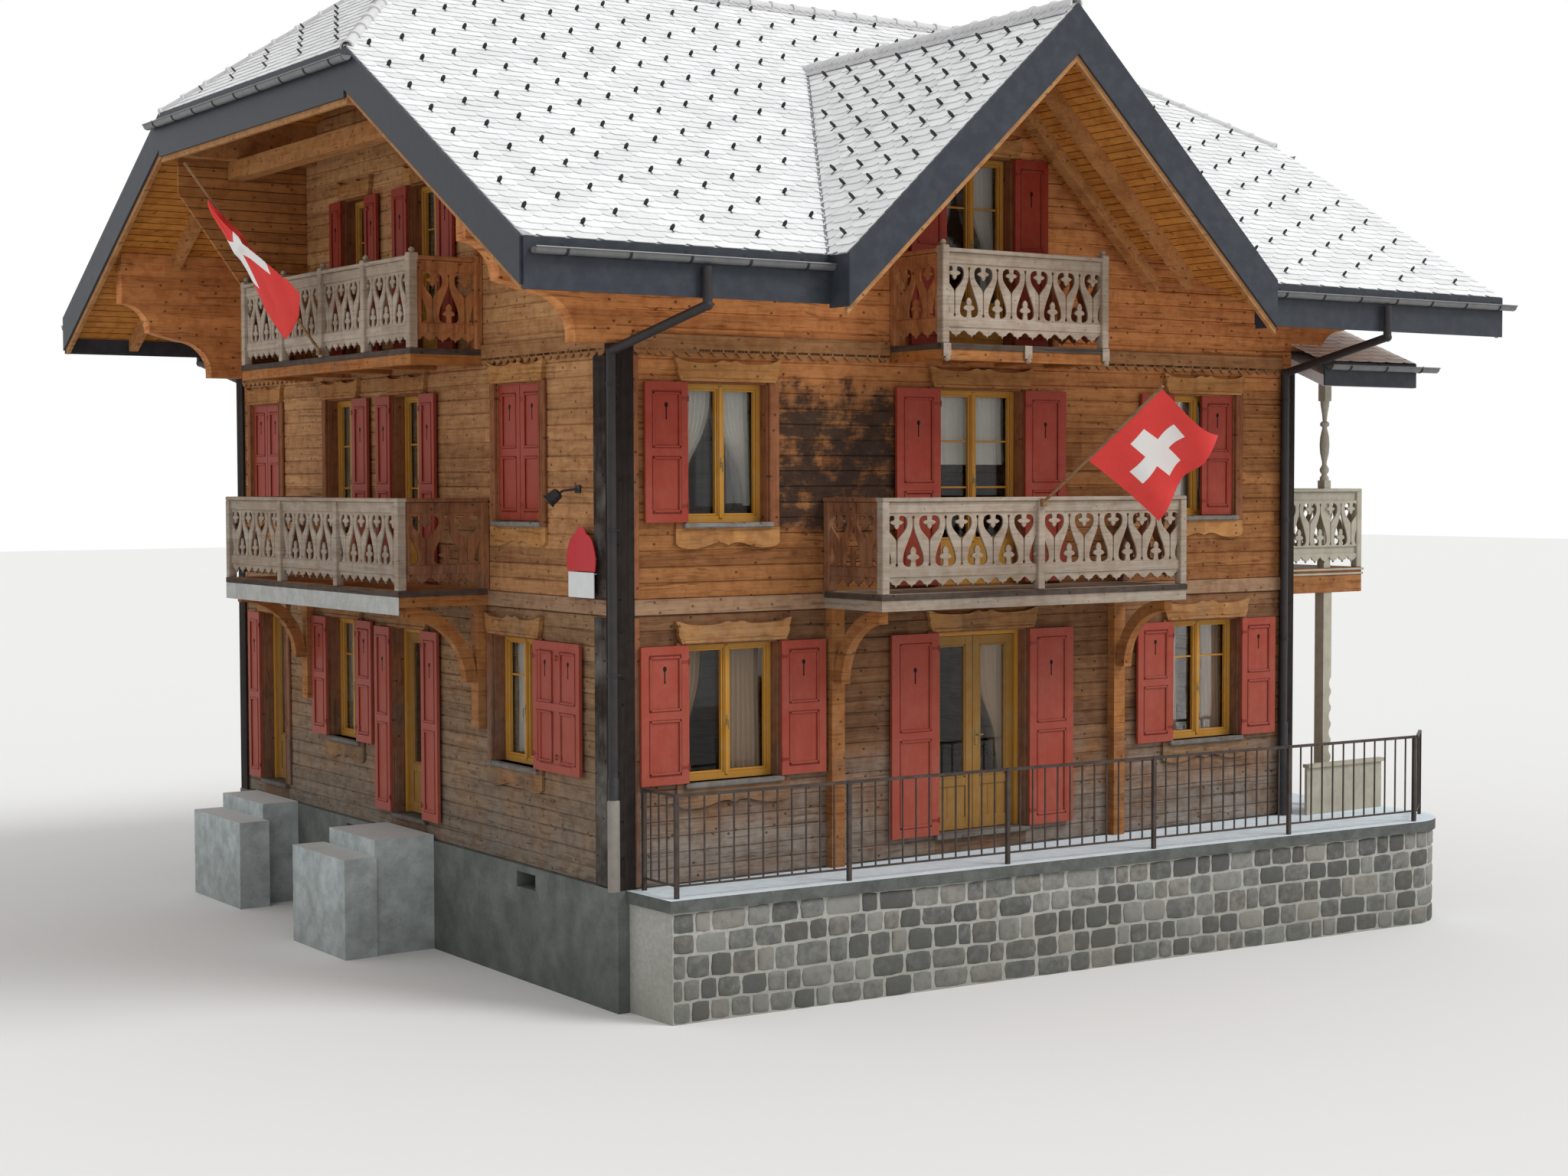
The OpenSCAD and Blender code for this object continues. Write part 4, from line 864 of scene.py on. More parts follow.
class Shape:
    """The points and faces of one piece, added part by part."""

    corner: tuple[list[tuple[Vector, Vector]], list[tuple[int, ...]]] | None = None

    def __init__(self) -> None:
        """Starts with nothing."""
        self.points: list[Vector] = []
        self.faces: list[tuple[int, ...]] = []

    def add(self, points: Iterable[Sequence[float]], faces: Iterable[Sequence[int]],
            matrix: Matrix | None = None) -> None:
        """Adds points and the faces between them.

        Args:
            points: the new points.
            faces: faces by number within the new points.
            matrix: an optional move for the points.
        """
        start = len(self.points)
        self.points.extend((matrix @ Vector(p)) if matrix else Vector(p) for p in points)
        self.faces.extend(tuple(i + start for i in face) for face in faces)

    @classmethod
    def corners(cls) -> tuple[list[tuple[Vector, Vector]], list[tuple[int, ...]]]:
        """Returns the pattern of a box with chamfered edges.

        Returns:
            For each point its corner and the way it is drawn in, then the faces.
        """
        if cls.corner is None:
            places = []
            for x in (-1.0, 1.0):
                for y in (-1.0, 1.0):
                    for z in (-1.0, 1.0):
                        places += [(Vector((x, y, z)), Vector((0.0, -y, -z))),
                                   (Vector((x, y, z)), Vector((-x, 0.0, -z))),
                                   (Vector((x, y, z)), Vector((-x, -y, 0.0)))]
            bm = bmesh.new()
            for place, draw in places:
                bm.verts.new(place + draw * 0.2)
            bm.verts.index_update()
            order = {tuple(v.co): i for i, v in enumerate(bm.verts)}
            bmesh.ops.convex_hull(bm, input=bm.verts[:])
            bmesh.ops.dissolve_limit(bm, angle_limit=0.01, verts=bm.verts[:], edges=bm.edges[:])
            bmesh.ops.recalc_face_normals(bm, faces=bm.faces[:])
            faces = [tuple(order[tuple(v.co)] for v in face.verts) for face in bm.faces]
            bm.free()
            cls.corner = (places, faces)
        return cls.corner

    def box(self, low: Sequence[float], high: Sequence[float], chamfer: float = 0.003,
            matrix: Matrix | None = None) -> None:
        """Adds a box with chamfered edges.

        Args:
            low: lowest corner.
            high: highest corner.
            chamfer: width of the chamfer.
            matrix: an optional move.
        """
        middle = (Vector(low) + Vector(high)) / 2
        half = (Vector(high) - Vector(low)) / 2
        places, faces = self.corners()
        self.add([middle + Vector(c * h for c, h in zip(corner, half)) + draw * chamfer for corner,
                  draw in places],
                 faces, matrix)

    def prism(self, outline: Sequence[Point2], low: float, high: float,
              matrix: Matrix | None = None) -> None:
        """Adds an outline drawn out between two heights.

        Args:
            outline: the outline, counter-clockwise, in X and Y.
            low: lower height.
            high: upper height.
            matrix: an optional move.
        """
        n = len(outline)
        faces: list[tuple[int, ...]] = [tuple(range(n - 1, -1, -1)), tuple(range(n, 2 * n))]
        faces += [(i, (i + 1) % n, n + (i + 1) % n, n + i) for i in range(n)]
        self.add([(x, y, low) for x, y in outline] + [(x, y, high) for x, y in outline], faces, matrix)

    def tube(self, path: Sequence[Vector], radius: float | Sequence[float], sides: int = 12) -> None:
        """Adds a closed round tube along a path.

        Args:
            path: points of the path.
            radius: one radius, or one for each point.
            sides: faces round the tube.
        """
        rings: list[list[Vector]] = []
        side = Vector((0.0, 0.0, 1.0))
        for i, point in enumerate(path):
            ahead = (path[min(i + 1, len(path) - 1)] - path[max(i - 1, 0)]).normalized()
            side = side - ahead * side.dot(ahead)
            if side.length < 0.05:
                side = ahead.orthogonal()
            side.normalize()
            across = ahead.cross(side)
            r = radius[i] if not isinstance(radius, float) else radius
            rings.append([point + (side * math.cos(a) + across * math.sin(a)) * r
                          for a in (2 * math.pi * k / sides for k in range(sides))])
        self.loft(rings)

    def loft(self, rings: Sequence[Sequence[Vector]]) -> None:
        """Adds a closed skin over rings with the same number of points.

        Args:
            rings: the rings in order.
        """
        n = len(rings[0])
        faces: list[tuple[int, ...]] = []
        for j in range(len(rings) - 1):
            faces += [(j * n + i, j * n + (i + 1) % n, (j + 1) * n + (i + 1) % n, (j + 1) * n + i)
                      for i in range(n)]
        faces += [tuple(range(n - 1, -1, -1)), tuple((len(rings) - 1) * n + i for i in range(n))]
        self.add([p for ring in rings for p in ring], faces)

    def mesh(self, name: str, recalculate: bool = True) -> Mesh:
        """Returns the shape as a mesh.

        Args:
            name: the mesh's name.
            recalculate: whether faces are turned outwards.

        Returns:
            The mesh.
        """
        mesh = bpy.data.meshes.new(name)
        mesh.from_pydata([tuple(p) for p in self.points], [], self.faces)
        if recalculate:
            with edited(mesh) as bm:
                bmesh.ops.recalc_face_normals(bm, faces=bm.faces[:])
        mesh.update()
        return mesh

    def piece(self, name: str, finish: Any, **more: Any) -> Object:
        """Makes the shape a finished piece.

        Args:
            name: the piece's name.
            finish: its finish.
            more: what else the piece function takes.

        Returns:
            The object.
        """
        return piece(name, self.mesh(name), finish, **more)


def arc(radius: float, start: float, sweep: float, steps: int) -> list[Point2]:
    """Returns points along an arc about the origin, from a start over a sweep, both in degrees."""
    return [(radius * math.cos(a), radius * math.sin(a))
            for a in (math.radians(start + sweep * k / steps) for k in range(steps + 1))]


def smooth_curve(points: Sequence[Point2], steps: int = 5) -> list[Point2]:
    """Returns points along a smooth curve through the given ones, without the last.

    Args:
        points: what the curve passes through.
        steps: points for each stretch.

    Returns:
        The points.
    """
    ends = [points[0], *points, points[-1]]
    found: list[Point2] = []
    for i in range(1, len(ends) - 2):
        a, b, c, d = (Vector(ends[i + k]) for k in (-1, 0, 1, 2))
        for k in range(steps):
            t = k / steps
            at = 0.5 * (2 * b + (c - a) * t + (2 * a - 5 * b + 4 * c - d) * t * t + (3 * b - a - 3 * c + d)
                        * t ** 3)
            found.append((at.x, at.y))
    return found


def sawn_board(name: str, outline: Sequence[Point2], holes: Sequence[Sequence[Point2]],
               thick: float) -> Mesh:
    """Makes a flat board with sawn holes, in X and Z, with Y through its thickness.

    Args:
        name: the mesh's name.
        outline: the board's outline.
        holes: outlines of the holes.
        thick: the board's thickness.

    Returns:
        The mesh.
    """
    curve = bpy.data.curves.new(name, "CURVE")
    curve.dimensions = "2D"
    curve.fill_mode = "BOTH"
    curve.extrude = thick / 2
    for ring in (outline, *holes):
        spline = curve.splines.new("POLY")
        spline.points.add(len(ring) - 1)
        for point, (x, y) in zip(spline.points, ring):
            point.co = (x, y, 0.0, 1.0)
        spline.use_cyclic_u = True
    holder = placed(name, curve)
    mesh = result_of(holder)
    bpy.data.objects.remove(holder)
    bpy.data.curves.remove(curve)
    mesh.transform(Matrix.Rotation(math.radians(90), 4, "X"))
    with edited(mesh) as bm:
        bmesh.ops.remove_doubles(bm, verts=bm.verts[:], dist=0.0002)
        bmesh.ops.recalc_face_normals(bm, faces=bm.faces[:])
    return mesh


def piece(name: str, mesh: Mesh, finish: Any, body: str = HOUSE, replaces: Sequence[str] = (),
          smooth: float | None = None) -> Object:
    """Makes a finished piece of the chalet.

    Args:
        name: the piece's name.
        mesh: its mesh, in place.
        finish: its finish.
        body: the body that it moves with.
        replaces: solid parts that it stands for.
        smooth: angle in degrees under which edges are shaded smooth, or None for flat faces.

    Returns:
        The object.
    """
    made = placed(name, mesh)
    mesh.materials.clear()
    mesh.materials.append(Dresser.material(finish))
    for face in mesh.polygons:
        face.material_index = 0
    if smooth is not None:
        mesh.shade_smooth()
        with edited(mesh) as bm:
            for edge in bm.edges:
                edge.smooth = len(edge.link_faces) == 2 and edge.calc_face_angle(0.0) < math.radians(smooth)
    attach(made, body)
    if replaces:
        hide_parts(*replaces)
    mesh.calc_loop_triangles()
    log.info("built %s, %d triangles", name, len(mesh.loop_triangles))
    return made


def copy_of(node: str) -> Mesh:
    """Returns a merged copy of a solid part's mesh.

    Args:
        node: the solid part's name.

    Returns:
        The copy.
    """
    mesh = NODES[node].data.copy()
    with edited(mesh) as bm:
        bmesh.ops.remove_doubles(bm, verts=bm.verts[:], dist=0.0001)
        bmesh.ops.dissolve_limit(bm, angle_limit=0.01, verts=bm.verts[:], edges=bm.edges[:])
    return mesh


def common_part(name: str, one: Mesh, two: Mesh) -> Mesh:
    """Returns what two closed meshes share.

    Args:
        name: the new mesh's name.
        one: the first mesh.
        two: the second mesh.

    Returns:
        The shared part.
    """
    holders = [placed(f"{name}_{i}", mesh) for i, mesh in enumerate((one, two))]
    cut = holders[0].modifiers.new("share", "BOOLEAN")
    cut.operation = "INTERSECT"
    cut.solver = "EXACT"
    cut.object = holders[1]
    mesh = result_of(holders[0])
    for holder in holders:
        bpy.data.objects.remove(holder)
    mesh.name = name
    return mesh


class Repeater:
    """A Geometry Nodes tree that sets a shape in staggered rows, each with a tone of its own."""

    tree: NodeTree | None = None

    @classmethod
    def build(cls) -> NodeTree:
        """Returns the tree, built the first time.

        Returns:
            The tree.
        """
        if cls.tree:
            return cls.tree
        group = bpy.data.node_groups.new("rows_of_shapes", "GeometryNodeTree")
        face = group.interface
        for label, kind, value in (
            ("Shape", "NodeSocketObject", None), ("Columns", "NodeSocketInt", 2),
            ("Rows", "NodeSocketInt", 1),
            ("Column Step", "NodeSocketFloat", 0.3), ("Row Step", "NodeSocketFloat", 0.1),
            ("Stagger", "NodeSocketFloat", 0.5), ("Lean", "NodeSocketFloat", 0.0),
            ("Seed", "NodeSocketInt", 7),
            ("Finish", "NodeSocketMaterial", None),
        ):
            socket = face.new_socket(label, in_out="INPUT", socket_type=kind)
            if value is not None:
                socket.default_value = value
        face.new_socket("Geometry", in_out="OUTPUT", socket_type="NodeSocketGeometry")
        tree = Tree(group)
        given = tree.node("NodeGroupInput").outputs
        index = tree.node("GeometryNodeInputIndex").outputs[0]
        row = tree.math("FLOOR", tree.math("DIVIDE", index, given["Columns"]))
        column = tree.math("SUBTRACT", index, tree.math("MULTIPLY", row, given["Columns"]))
        odd = tree.math("FLOORED_MODULO", row, 2.0)
        across = tree.math("MULTIPLY",
                           tree.math("ADD", column, tree.math("MULTIPLY", odd, given["Stagger"])),
                           given["Column Step"])
        place = tree.node("ShaderNodeCombineXYZ",
                          {0: across, 1: tree.math("MULTIPLY", row, given["Row Step"])})
        count = tree.math("MULTIPLY", given["Columns"], given["Rows"])
        spots = tree.node("GeometryNodePoints", {"Count": count, "Position": place.outputs[0]})
        shape = tree.node("GeometryNodeObjectInfo", {"Object": given["Shape"]})
        lean = tree.node("FunctionNodeRandomValue", {"Seed": given["Seed"]}, data_type="FLOAT_VECTOR")
        lean.inputs[0].default_value = (-1.0, -1.0, -1.0)
        lean.inputs[1].default_value = (1.0, 1.0, 1.0)
        turn = tree.vector("SCALE", lean.outputs[0])
        tree.feed(given["Lean"], turn.node, "Scale")
        set_out = tree.node("GeometryNodeInstanceOnPoints", {"Points": spots.outputs[0],
                                                             "Instance": shape.outputs["Geometry"],
                                                             "Rotation": turn})
        tone = tree.node("FunctionNodeRandomValue", {"Seed": tree.math("ADD", given["Seed"], 1.0)},
                         data_type="FLOAT")
        toned = tree.node("GeometryNodeStoreNamedAttribute", {"Geometry": set_out.outputs[0], "Name": "tone",
                                                              "Value": tone.outputs[1]},
                          data_type="FLOAT", domain="INSTANCE")
        whole = tree.node("GeometryNodeRealizeInstances", {"Geometry": toned.outputs[0]})
        dressed = tree.node("GeometryNodeSetMaterial",
                            {"Geometry": whole.outputs[0], "Material": given["Finish"]})
        tree.node("NodeGroupOutput", {0: dressed.outputs[0]})
        cls.tree = group
        return group

    @classmethod
    def rows(cls, name: str, shape: Mesh, finish: Any, **sizes: Any) -> Mesh:
        """Repeats a shape.

        Args:
            name: the new mesh's name.
            shape: the shape at its own origin.
            finish: the finish of the result.
            sizes: values for the tree's inputs, with underscores for spaces.

        Returns:
            The repeated shapes as one plain mesh.
        """
        group = cls.build()
        keys = {item.name: item.identifier for item in group.interface.items_tree if item.in_out == "INPUT"}
        source = placed(f"{name}_shape", shape)
        holder = placed(name, bpy.data.meshes.new(f"{name}_empty"))
        rows = holder.modifiers.new("rows", "NODES")
        rows.node_group = group
        rows[keys["Shape"]] = source
        rows[keys["Finish"]] = Dresser.material(finish)
        for label, value in sizes.items():
            rows[keys[label.replace("_", " ").title()]] = value
        mesh = result_of(holder)
        holder.modifiers.remove(rows)
        for made in (source, holder):
            bpy.data.objects.remove(made)
        mesh.name = name
        return mesh


def joined(meshes: Sequence[Mesh], name: str) -> Mesh:
    """Returns several meshes as one, with their attributes.

    Args:
        meshes: the meshes to join.
        name: the new mesh's name.

    Returns:
        The joined mesh.
    """
    bm = bmesh.new()
    for mesh in meshes:
        bm.from_mesh(mesh)
    whole = bpy.data.meshes.new(name)
    bm.to_mesh(whole)
    bm.free()
    return whole


@dataclass
class LogWalls:
    """Walls of squared logs, cut from courses with a groove between them."""

    groove: float = 0.011
    depth: float = 0.013
    step: float = 0.6
    uneven: float = 0.0035
    walls: tuple[tuple[str, Side], ...] = (
        ("front_wall_ground", Side.FRONT), ("front_wall_upper", Side.FRONT), ("left_wall_ground", Side.LEFT),
        ("left_wall_upper", Side.LEFT), ("right_wall_ground", Side.RIGHT), ("right_wall_upper", Side.RIGHT),
        ("back_wall_ground", Side.BACK), ("back_wall_upper", Side.BACK), ("doorway_timbers", Side.FRONT),
    )

    def courses(self, seed: int, length: float, low: float, high: float, thick: float) -> Mesh:
        """Makes the stacked logs along X, with Y through their thickness.

        Args:
            seed: for the small unevenness of each log.
            length: how far the logs run.
            low: lowest height.
            high: highest height.
            thick: the wall's thickness.

        Returns:
            One closed mesh.
        """
        draw = Random(seed)
        first = math.floor((low - PLAN.plinth) / PLAN.course)
        last = math.ceil((high - PLAN.plinth) / PLAN.course)
        outer: list[Point2] = []
        inner: list[Point2] = []
        tags: list[int] = []
        for i in range(first, last):
            z0, z1 = PLAN.plinth + i * PLAN.course, PLAN.plinth + (i + 1) * PLAN.course
            near = 0.001 + draw.random() * 0.003
            for y, z in ((near + self.depth, z0), (near, z0 + self.groove), (near, z1 - self.groove)):
                outer.append((y, z))
                inner.append((thick - 0.001 - y, z))
                tags.append(i)
        outer.append((0.001 + self.depth, PLAN.plinth + last * PLAN.course))
        inner.append((thick - 0.002 - self.depth, PLAN.plinth + last * PLAN.course))
        tags.append(last)
        ring = outer + inner[::-1]
        mark = tags + tags[::-1]
        shape = Shape()
        stations = [-0.3 + k * self.step for k in range(int((length + 0.6) / self.step) + 2)]
        rings = []
        for x in stations:
            points = []
            for k, (y, z) in enumerate(ring):
                wave = noise.noise((x * 0.55, mark[k] * 3.1 + seed, y > thick / 2)) * self.uneven
                points.append(Vector((x, y + max(wave, 0.0) * (1 if y < thick / 2 else -1), z)))
            rings.append(points)
        shape.loft(rings)
        return shape.mesh("courses")

    def build(self) -> None:
        """Builds each wall from its solid part and the courses."""
        for seed, (node, side) in enumerate(self.walls):
            low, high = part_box(node)
            if node == "doorway_timbers":
                self.doorways()
                continue
            logs = self.courses(seed, side.length, low[2] - 0.1, high[2] + 0.1, PLAN.wall)
            logs.transform(side.matrix)
            mesh = common_part(f"{node}_logs", copy_of(node), logs)
            piece(f"{node}_logs", mesh, Dresser.finishes[node], replaces=(node,))

    def doorways(self) -> None:
        """Builds the short logs over and under the house doors."""
        shape = Shape()
        for gap in all_openings():
            if gap.kind is not Kind.HOUSE_DOOR:
                continue
            for low, high in ((gap.head, PLAN.first - 0.04), (PLAN.plinth, gap.foot)):
                shape.box((gap.start, 0.002, low), (gap.end, PLAN.wall - 0.002, high), 0.004,
                          gap.side.matrix)
        shape.piece("doorway_logs", LOGS, replaces=("doorway_timbers",))


@dataclass(frozen=True)
class Slope:
    """One roof plane: its eave corner, its two directions and its outline in plan."""

    name: str
    node: str
    corner: tuple[float, float, float]
    along: tuple[float, float, float]
    rise: tuple[float, float, float]
    outline: tuple[Point2, ...]

    @property
    def matrix(self) -> Matrix:
        """Returns the matrix from the plane's frame to the house's.

        Returns:
            The matrix.
        """
        u, v = Vector(self.along).normalized(), Vector(self.rise).normalized()
        turn = Matrix((u, v, u.cross(v))).transposed().to_4x4()
        return Matrix.Translation(self.corner) @ turn

    @property
    def flat(self) -> list[Point2]:
        """Returns the outline in the plane's own X and Y.

        Returns:
            The outline's points.
        """
        rise, corner = Vector(self.rise), Vector(self.corner)
        run = Vector((rise.x, rise.y, 0.0))
        found = []
        for x, y in self.outline:
            off = Vector((x, y, 0.0)) - Vector((corner.x, corner.y, 0.0))
            climb = off.dot(run.normalized()) / run.length * rise.length
            found.append((off.dot(Vector(self.along).normalized()), climb))
        return found


def slopes() -> list[Slope]:
    """Returns the roof's planes.

    Returns:
        The planes.
    """
    p = PLAN
    m, h, g = (math.tan(math.radians(a)) for a in (p.main_pitch, p.hip_pitch, p.gable_pitch))
    half, xc = p.gable_half, p.gable_x
    x1, x2 = p.left + p.hip_run, p.right - p.hip_run
    hy, ry, fy = p.hip_y, p.ridge_y, p.depth - p.hip_y
    return [
        Slope("front_left_slope", "roof_front_left", (p.left, p.near, p.eave), (1, 0, 0), (0, 1, m),
              ((p.left, p.near), (xc - half, p.near), (xc, p.valley_y), (xc, ry), (x1, ry), (p.left, hy))),
        Slope("front_right_slope", "roof_front_right", (p.left, p.near, p.eave), (1, 0, 0), (0, 1, m),
              ((xc + half, p.near), (p.right, p.near), (p.right, hy), (x2, ry), (xc, ry), (xc, p.valley_y))),
        Slope("back_slope", "roof_back", (p.right, p.far, p.eave), (-1, 0, 0), (0, -1, m),
              ((p.right, p.far), (p.left, p.far), (p.left, fy), (x1, ry), (x2, ry), (p.right, fy))),
        Slope("left_hip_slope", "hip_roofs", (p.left, fy, p.hip_foot), (0, -1, 0), (1, 0, h),
              ((p.left, fy), (p.left, hy), (x1, ry))),
        Slope("right_hip_slope", "hip_roofs", (p.right, hy, p.hip_foot), (0, 1, 0), (-1, 0, h),
              ((p.right, hy), (p.right, fy), (x2, ry))),
        Slope("gable_left_slope", "front_gable_roof", (xc - half, p.near, p.eave), (0, -1, 0), (1, 0, g),
              ((xc - half, p.near), (xc - half, p.gable_near), (xc, p.gable_near), (xc, p.valley_y))),
        Slope("gable_right_slope", "front_gable_roof", (xc + half, p.gable_near, p.eave), (0, 1, 0),
              (-1, 0, g),
              ((xc + half, p.gable_near), (xc + half, p.near), (xc, p.valley_y), (xc, p.gable_near))),
        Slope("porch_slope", "porch_roof", (p.width, PORCH_ROOF_NEAR, PORCH_EAVE), (1, 0, 0),
              (0, 1, PORCH_RISE),
              ((p.width, PORCH_ROOF_NEAR), (p.width + PORCH_ROOF_W, PORCH_ROOF_NEAR),
               (p.width + PORCH_ROOF_W, PORCH_ROOF_FAR), (p.width, PORCH_ROOF_FAR))),
    ]


@dataclass
class Roof:
    """The shingle covering, its snow hooks, ridge tiles and the boards inside its verges."""

    tile_w: float = 0.31
    tile_l: float = 0.205
    tile_t: float = 0.007
    tile_gap: float = 0.004
    tile_clip: float = 0.045
    row: float = 0.133
    eave_lap: float = 0.012
    hook_step: float = 0.94
    hook_row: float = 0.266
    gable_hook_step: float = 0.455
    gable_hook_row: float = 0.297
    gable_hook_size: float = 1.3
    hook_margin: float = 0.13
    ridge_length: float = 0.32
    rib_step: float = 0.12

    def tile(self) -> Mesh:
        """Returns one shingle with clipped lower corners, leaning as it laps.

        Returns:
            The mesh.
        """
        w, clip = self.tile_w - self.tile_gap, self.tile_clip
        outline = [(-w / 2 + clip, 0.0), (w / 2 - clip, 0.0), (w / 2, clip * 0.8), (w / 2, self.tile_l),
                   (-w / 2, self.tile_l), (-w / 2, clip * 0.8)]
        top = [(x, y, 0.0205 - 0.015 * y / self.tile_l) for x, y in outline]
        low = [(x, y, z - self.tile_t) for x, y, z in top]
        shape = Shape()
        n = len(outline)
        shape.add(top + low, [tuple(range(n)), tuple(range(2 * n - 1, n - 1, -1))]
                  + [(i, n + i, n + (i + 1) % n, (i + 1) % n) for i in range(n)])
        return shape.mesh("shingle")

    def hook(self, size: float) -> Mesh:
        """Returns one snow hook: a short strap whose end is bent up into a rounded stop.

        Args:
            size: one for the hooks of the main slopes.

        Returns:
            The mesh.
        """
        shape = Shape()
        shape.box((-0.008, -0.055 * size, 0.017), (0.008, 0.012, 0.020), 0.0008)
        stop = [(-0.019, 0.0), (0.019, 0.0), (0.023, 0.036), (0.013, 0.060), (0.0, 0.066), (-0.013, 0.060),
                (-0.023, 0.036)]
        rings = [[Vector((x * size, y - 0.010 * z / 0.063, 0.017 + z * size)) for x, z in stop]
                 for y in (0.003, -0.003)]
        shape.loft(rings)
        return shape.mesh("snow_hook")

    def cover(self, slope: Slope) -> None:
        """Lays shingles over a slope and trims them to its outline.

        Args:
            slope: the plane to cover.
        """
        flat = slope.flat
        low_u, high_u = min(u for u, _ in flat), max(u for u, _ in flat)
        top = max(v for _, v in flat)
        columns = int((high_u - low_u) / self.tile_w) + 3
        rows = int(top / self.row) + 2
        mesh = Repeater.rows(slope.name, self.tile(), SHINGLES, columns=columns, rows=rows,
                             column_step=self.tile_w, row_step=self.row, lean=0.006, seed=len(slope.name))
        mesh.transform(Matrix.Translation((low_u - self.tile_w, -self.eave_lap, 0.0)))
        with edited(mesh) as bm:
            for i, (u, v) in enumerate(flat):
                nu, nv = flat[(i + 1) % len(flat)]
                out = Vector((nv - v, u - nu, 0.0)).normalized()
                at = Vector((u, v, 0.0)) + out * (self.eave_lap if abs(nv - v) < 0.01 and v < 0.01 else 0.0)
                bmesh.ops.bisect_plane(bm, geom=bm.verts[:] + bm.edges[:] + bm.faces[:], plane_co=at,
                                       plane_no=out,
                                       clear_outer=True)
            bmesh.ops.holes_fill(bm, edges=[e for e in bm.edges if e.is_boundary])
        mesh.transform(slope.matrix)
        piece(slope.name, mesh, SHINGLES)

    def hooks(self, planes: Sequence[Slope]) -> None:
        """Sets the snow hooks in staggered rows, clear of each slope's edges.

        Args:
            planes: the planes that carry them.
        """
        parts = []
        for slope in planes:
            gable = slope.node == "front_gable_roof"
            shape = self.hook(self.gable_hook_size if gable else 1.0)
            size = len(shape.vertices)
            step, row = ((self.gable_hook_step, self.gable_hook_row) if gable
                         else (self.hook_step, self.hook_row))
            flat = slope.flat
            low_u, high_u = min(u for u, _ in flat), max(u for u, _ in flat)
            top = max(v for _, v in flat)
            mesh = Repeater.rows("hooks", shape, HOOK_METAL, columns=int((high_u - low_u) / step) + 2,
                                 rows=int(top / row) + 1, column_step=step, row_step=row, lean=0.02,
                                 stagger=0.0 if gable else 0.5)
            mesh.transform(Matrix.Translation((low_u - 0.2, 0.30, 0.002)))
            with edited(mesh) as bm:
                bm.verts.ensure_lookup_table()
                away = []
                for start in range(0, len(bm.verts), size):
                    group = bm.verts[start:start + size]
                    middle = sum((v.co for v in group), Vector()) / size
                    if not self.inside(flat, middle, self.hook_margin):
                        away += group
                bmesh.ops.delete(bm, geom=away, context="VERTS")
            mesh.transform(slope.matrix)
            parts.append(mesh)
        piece("snow_hooks", joined(parts, "snow_hooks"), HOOK_METAL)

    @staticmethod
    def inside(flat: Sequence[Point2], at: Vector, margin: float) -> bool:
        """Returns whether a point is inside a counter-clockwise outline by a margin.

        Args:
            flat: the outline.
            at: the point.
            margin: how far inside it has to be.

        Returns:
            Whether it is.
        """
        for i, (u, v) in enumerate(flat):
            nu, nv = flat[(i + 1) % len(flat)]
            edge = Vector((nu - u, nv - v))
            if (edge.x * (at.y - v) - edge.y * (at.x - u)) / edge.length < margin:
                return False
        return True

    def ridge_tile(self, radius: float, length: float) -> Mesh:
        """Returns one half-round ridge tile with a collar, along X.

        Args:
            radius: its radius.
            length: its cover length.

        Returns:
            The mesh.
        """
        shape = Shape()
        rings = []
        for x, r in ((0.0, radius), (0.0, radius + 0.012), (0.035, radius + 0.012), (0.045, radius),
                     (length + 0.02, radius - 0.006), (length + 0.02, radius - 0.012),
                     (0.0, radius - 0.006)):
            rings.append([Vector((x, y, z)) for y, z in arc(r, -25, 230, 14)])
        n = 15
        faces = []
        for j in range(len(rings)):
            k = (j + 1) % len(rings)
            faces += [(j * n + i, j * n + i + 1, k * n + i + 1, k * n + i) for i in range(n - 1)]
        faces += [tuple(j * n for j in range(len(rings))),
                  tuple(j * n + n - 1 for j in range(len(rings) - 1, -1, -1))]
        shape.add([p for ring in rings for p in ring], faces)
        return shape.mesh("ridge_tile")

    def ridges(self) -> None:
        """Lays ridge tiles along the ridges and hips."""
        p = PLAN
        z, y = p.ridge_z, p.ridge_y
        x1, x2 = p.left + p.hip_run, p.right - p.hip_run
        runs = [(Vector((x1 - 0.04, y, z)), Vector((x2 + 0.04, y, z)), 0.068)]
        for hy in (p.hip_y, p.depth - p.hip_y):
            runs.append((Vector((p.left + 0.01, hy, p.hip_foot)), Vector((x1, y, z)), 0.058))
            runs.append((Vector((p.right - 0.01, hy, p.hip_foot)), Vector((x2, y, z)), 0.058))
        runs.append((Vector((p.gable_x, p.gable_near + 0.004, p.gable_top)),
                     Vector((p.gable_x, p.valley_y + 0.05, p.gable_top)), 0.068))
        parts = []
        for start, end, radius in runs:
            way = end - start
            count = max(2, round(way.length / self.ridge_length))
            length = way.length / count
            mesh = Repeater.rows("ridge", self.ridge_tile(radius, length - 0.02), RIDGE, columns=count,
                                 rows=1,
                                 column_step=length, lean=0.0)
            across = Vector((0, 0, 1)).cross(way).normalized()
            up = way.normalized().cross(across)
            turn = Matrix((way.normalized(), across, up)).transposed().to_4x4()
            mesh.transform(Matrix.Translation(start) @ turn)
            parts.append(mesh)
        piece("ridge_tiles", joined(parts, "ridge_tiles"), RIDGE, replaces=("ridge_caps",), smooth=40)
        wings = [self.wing(Vector((x1 - 0.03, y, z)), Vector((x2 + 0.03, y, z)), s, p.main_pitch)
                 for s in (-1, 1)]
        top = Vector((p.gable_x, p.gable_near + 0.01, p.gable_top))
        wings += [self.wing(top, Vector((p.gable_x, p.valley_y, p.gable_top)), s, p.gable_pitch)
                  for s in (-1, 1)]
        piece("ridge_wings", joined(wings, "ridge_wings"), RIDGE_WING)

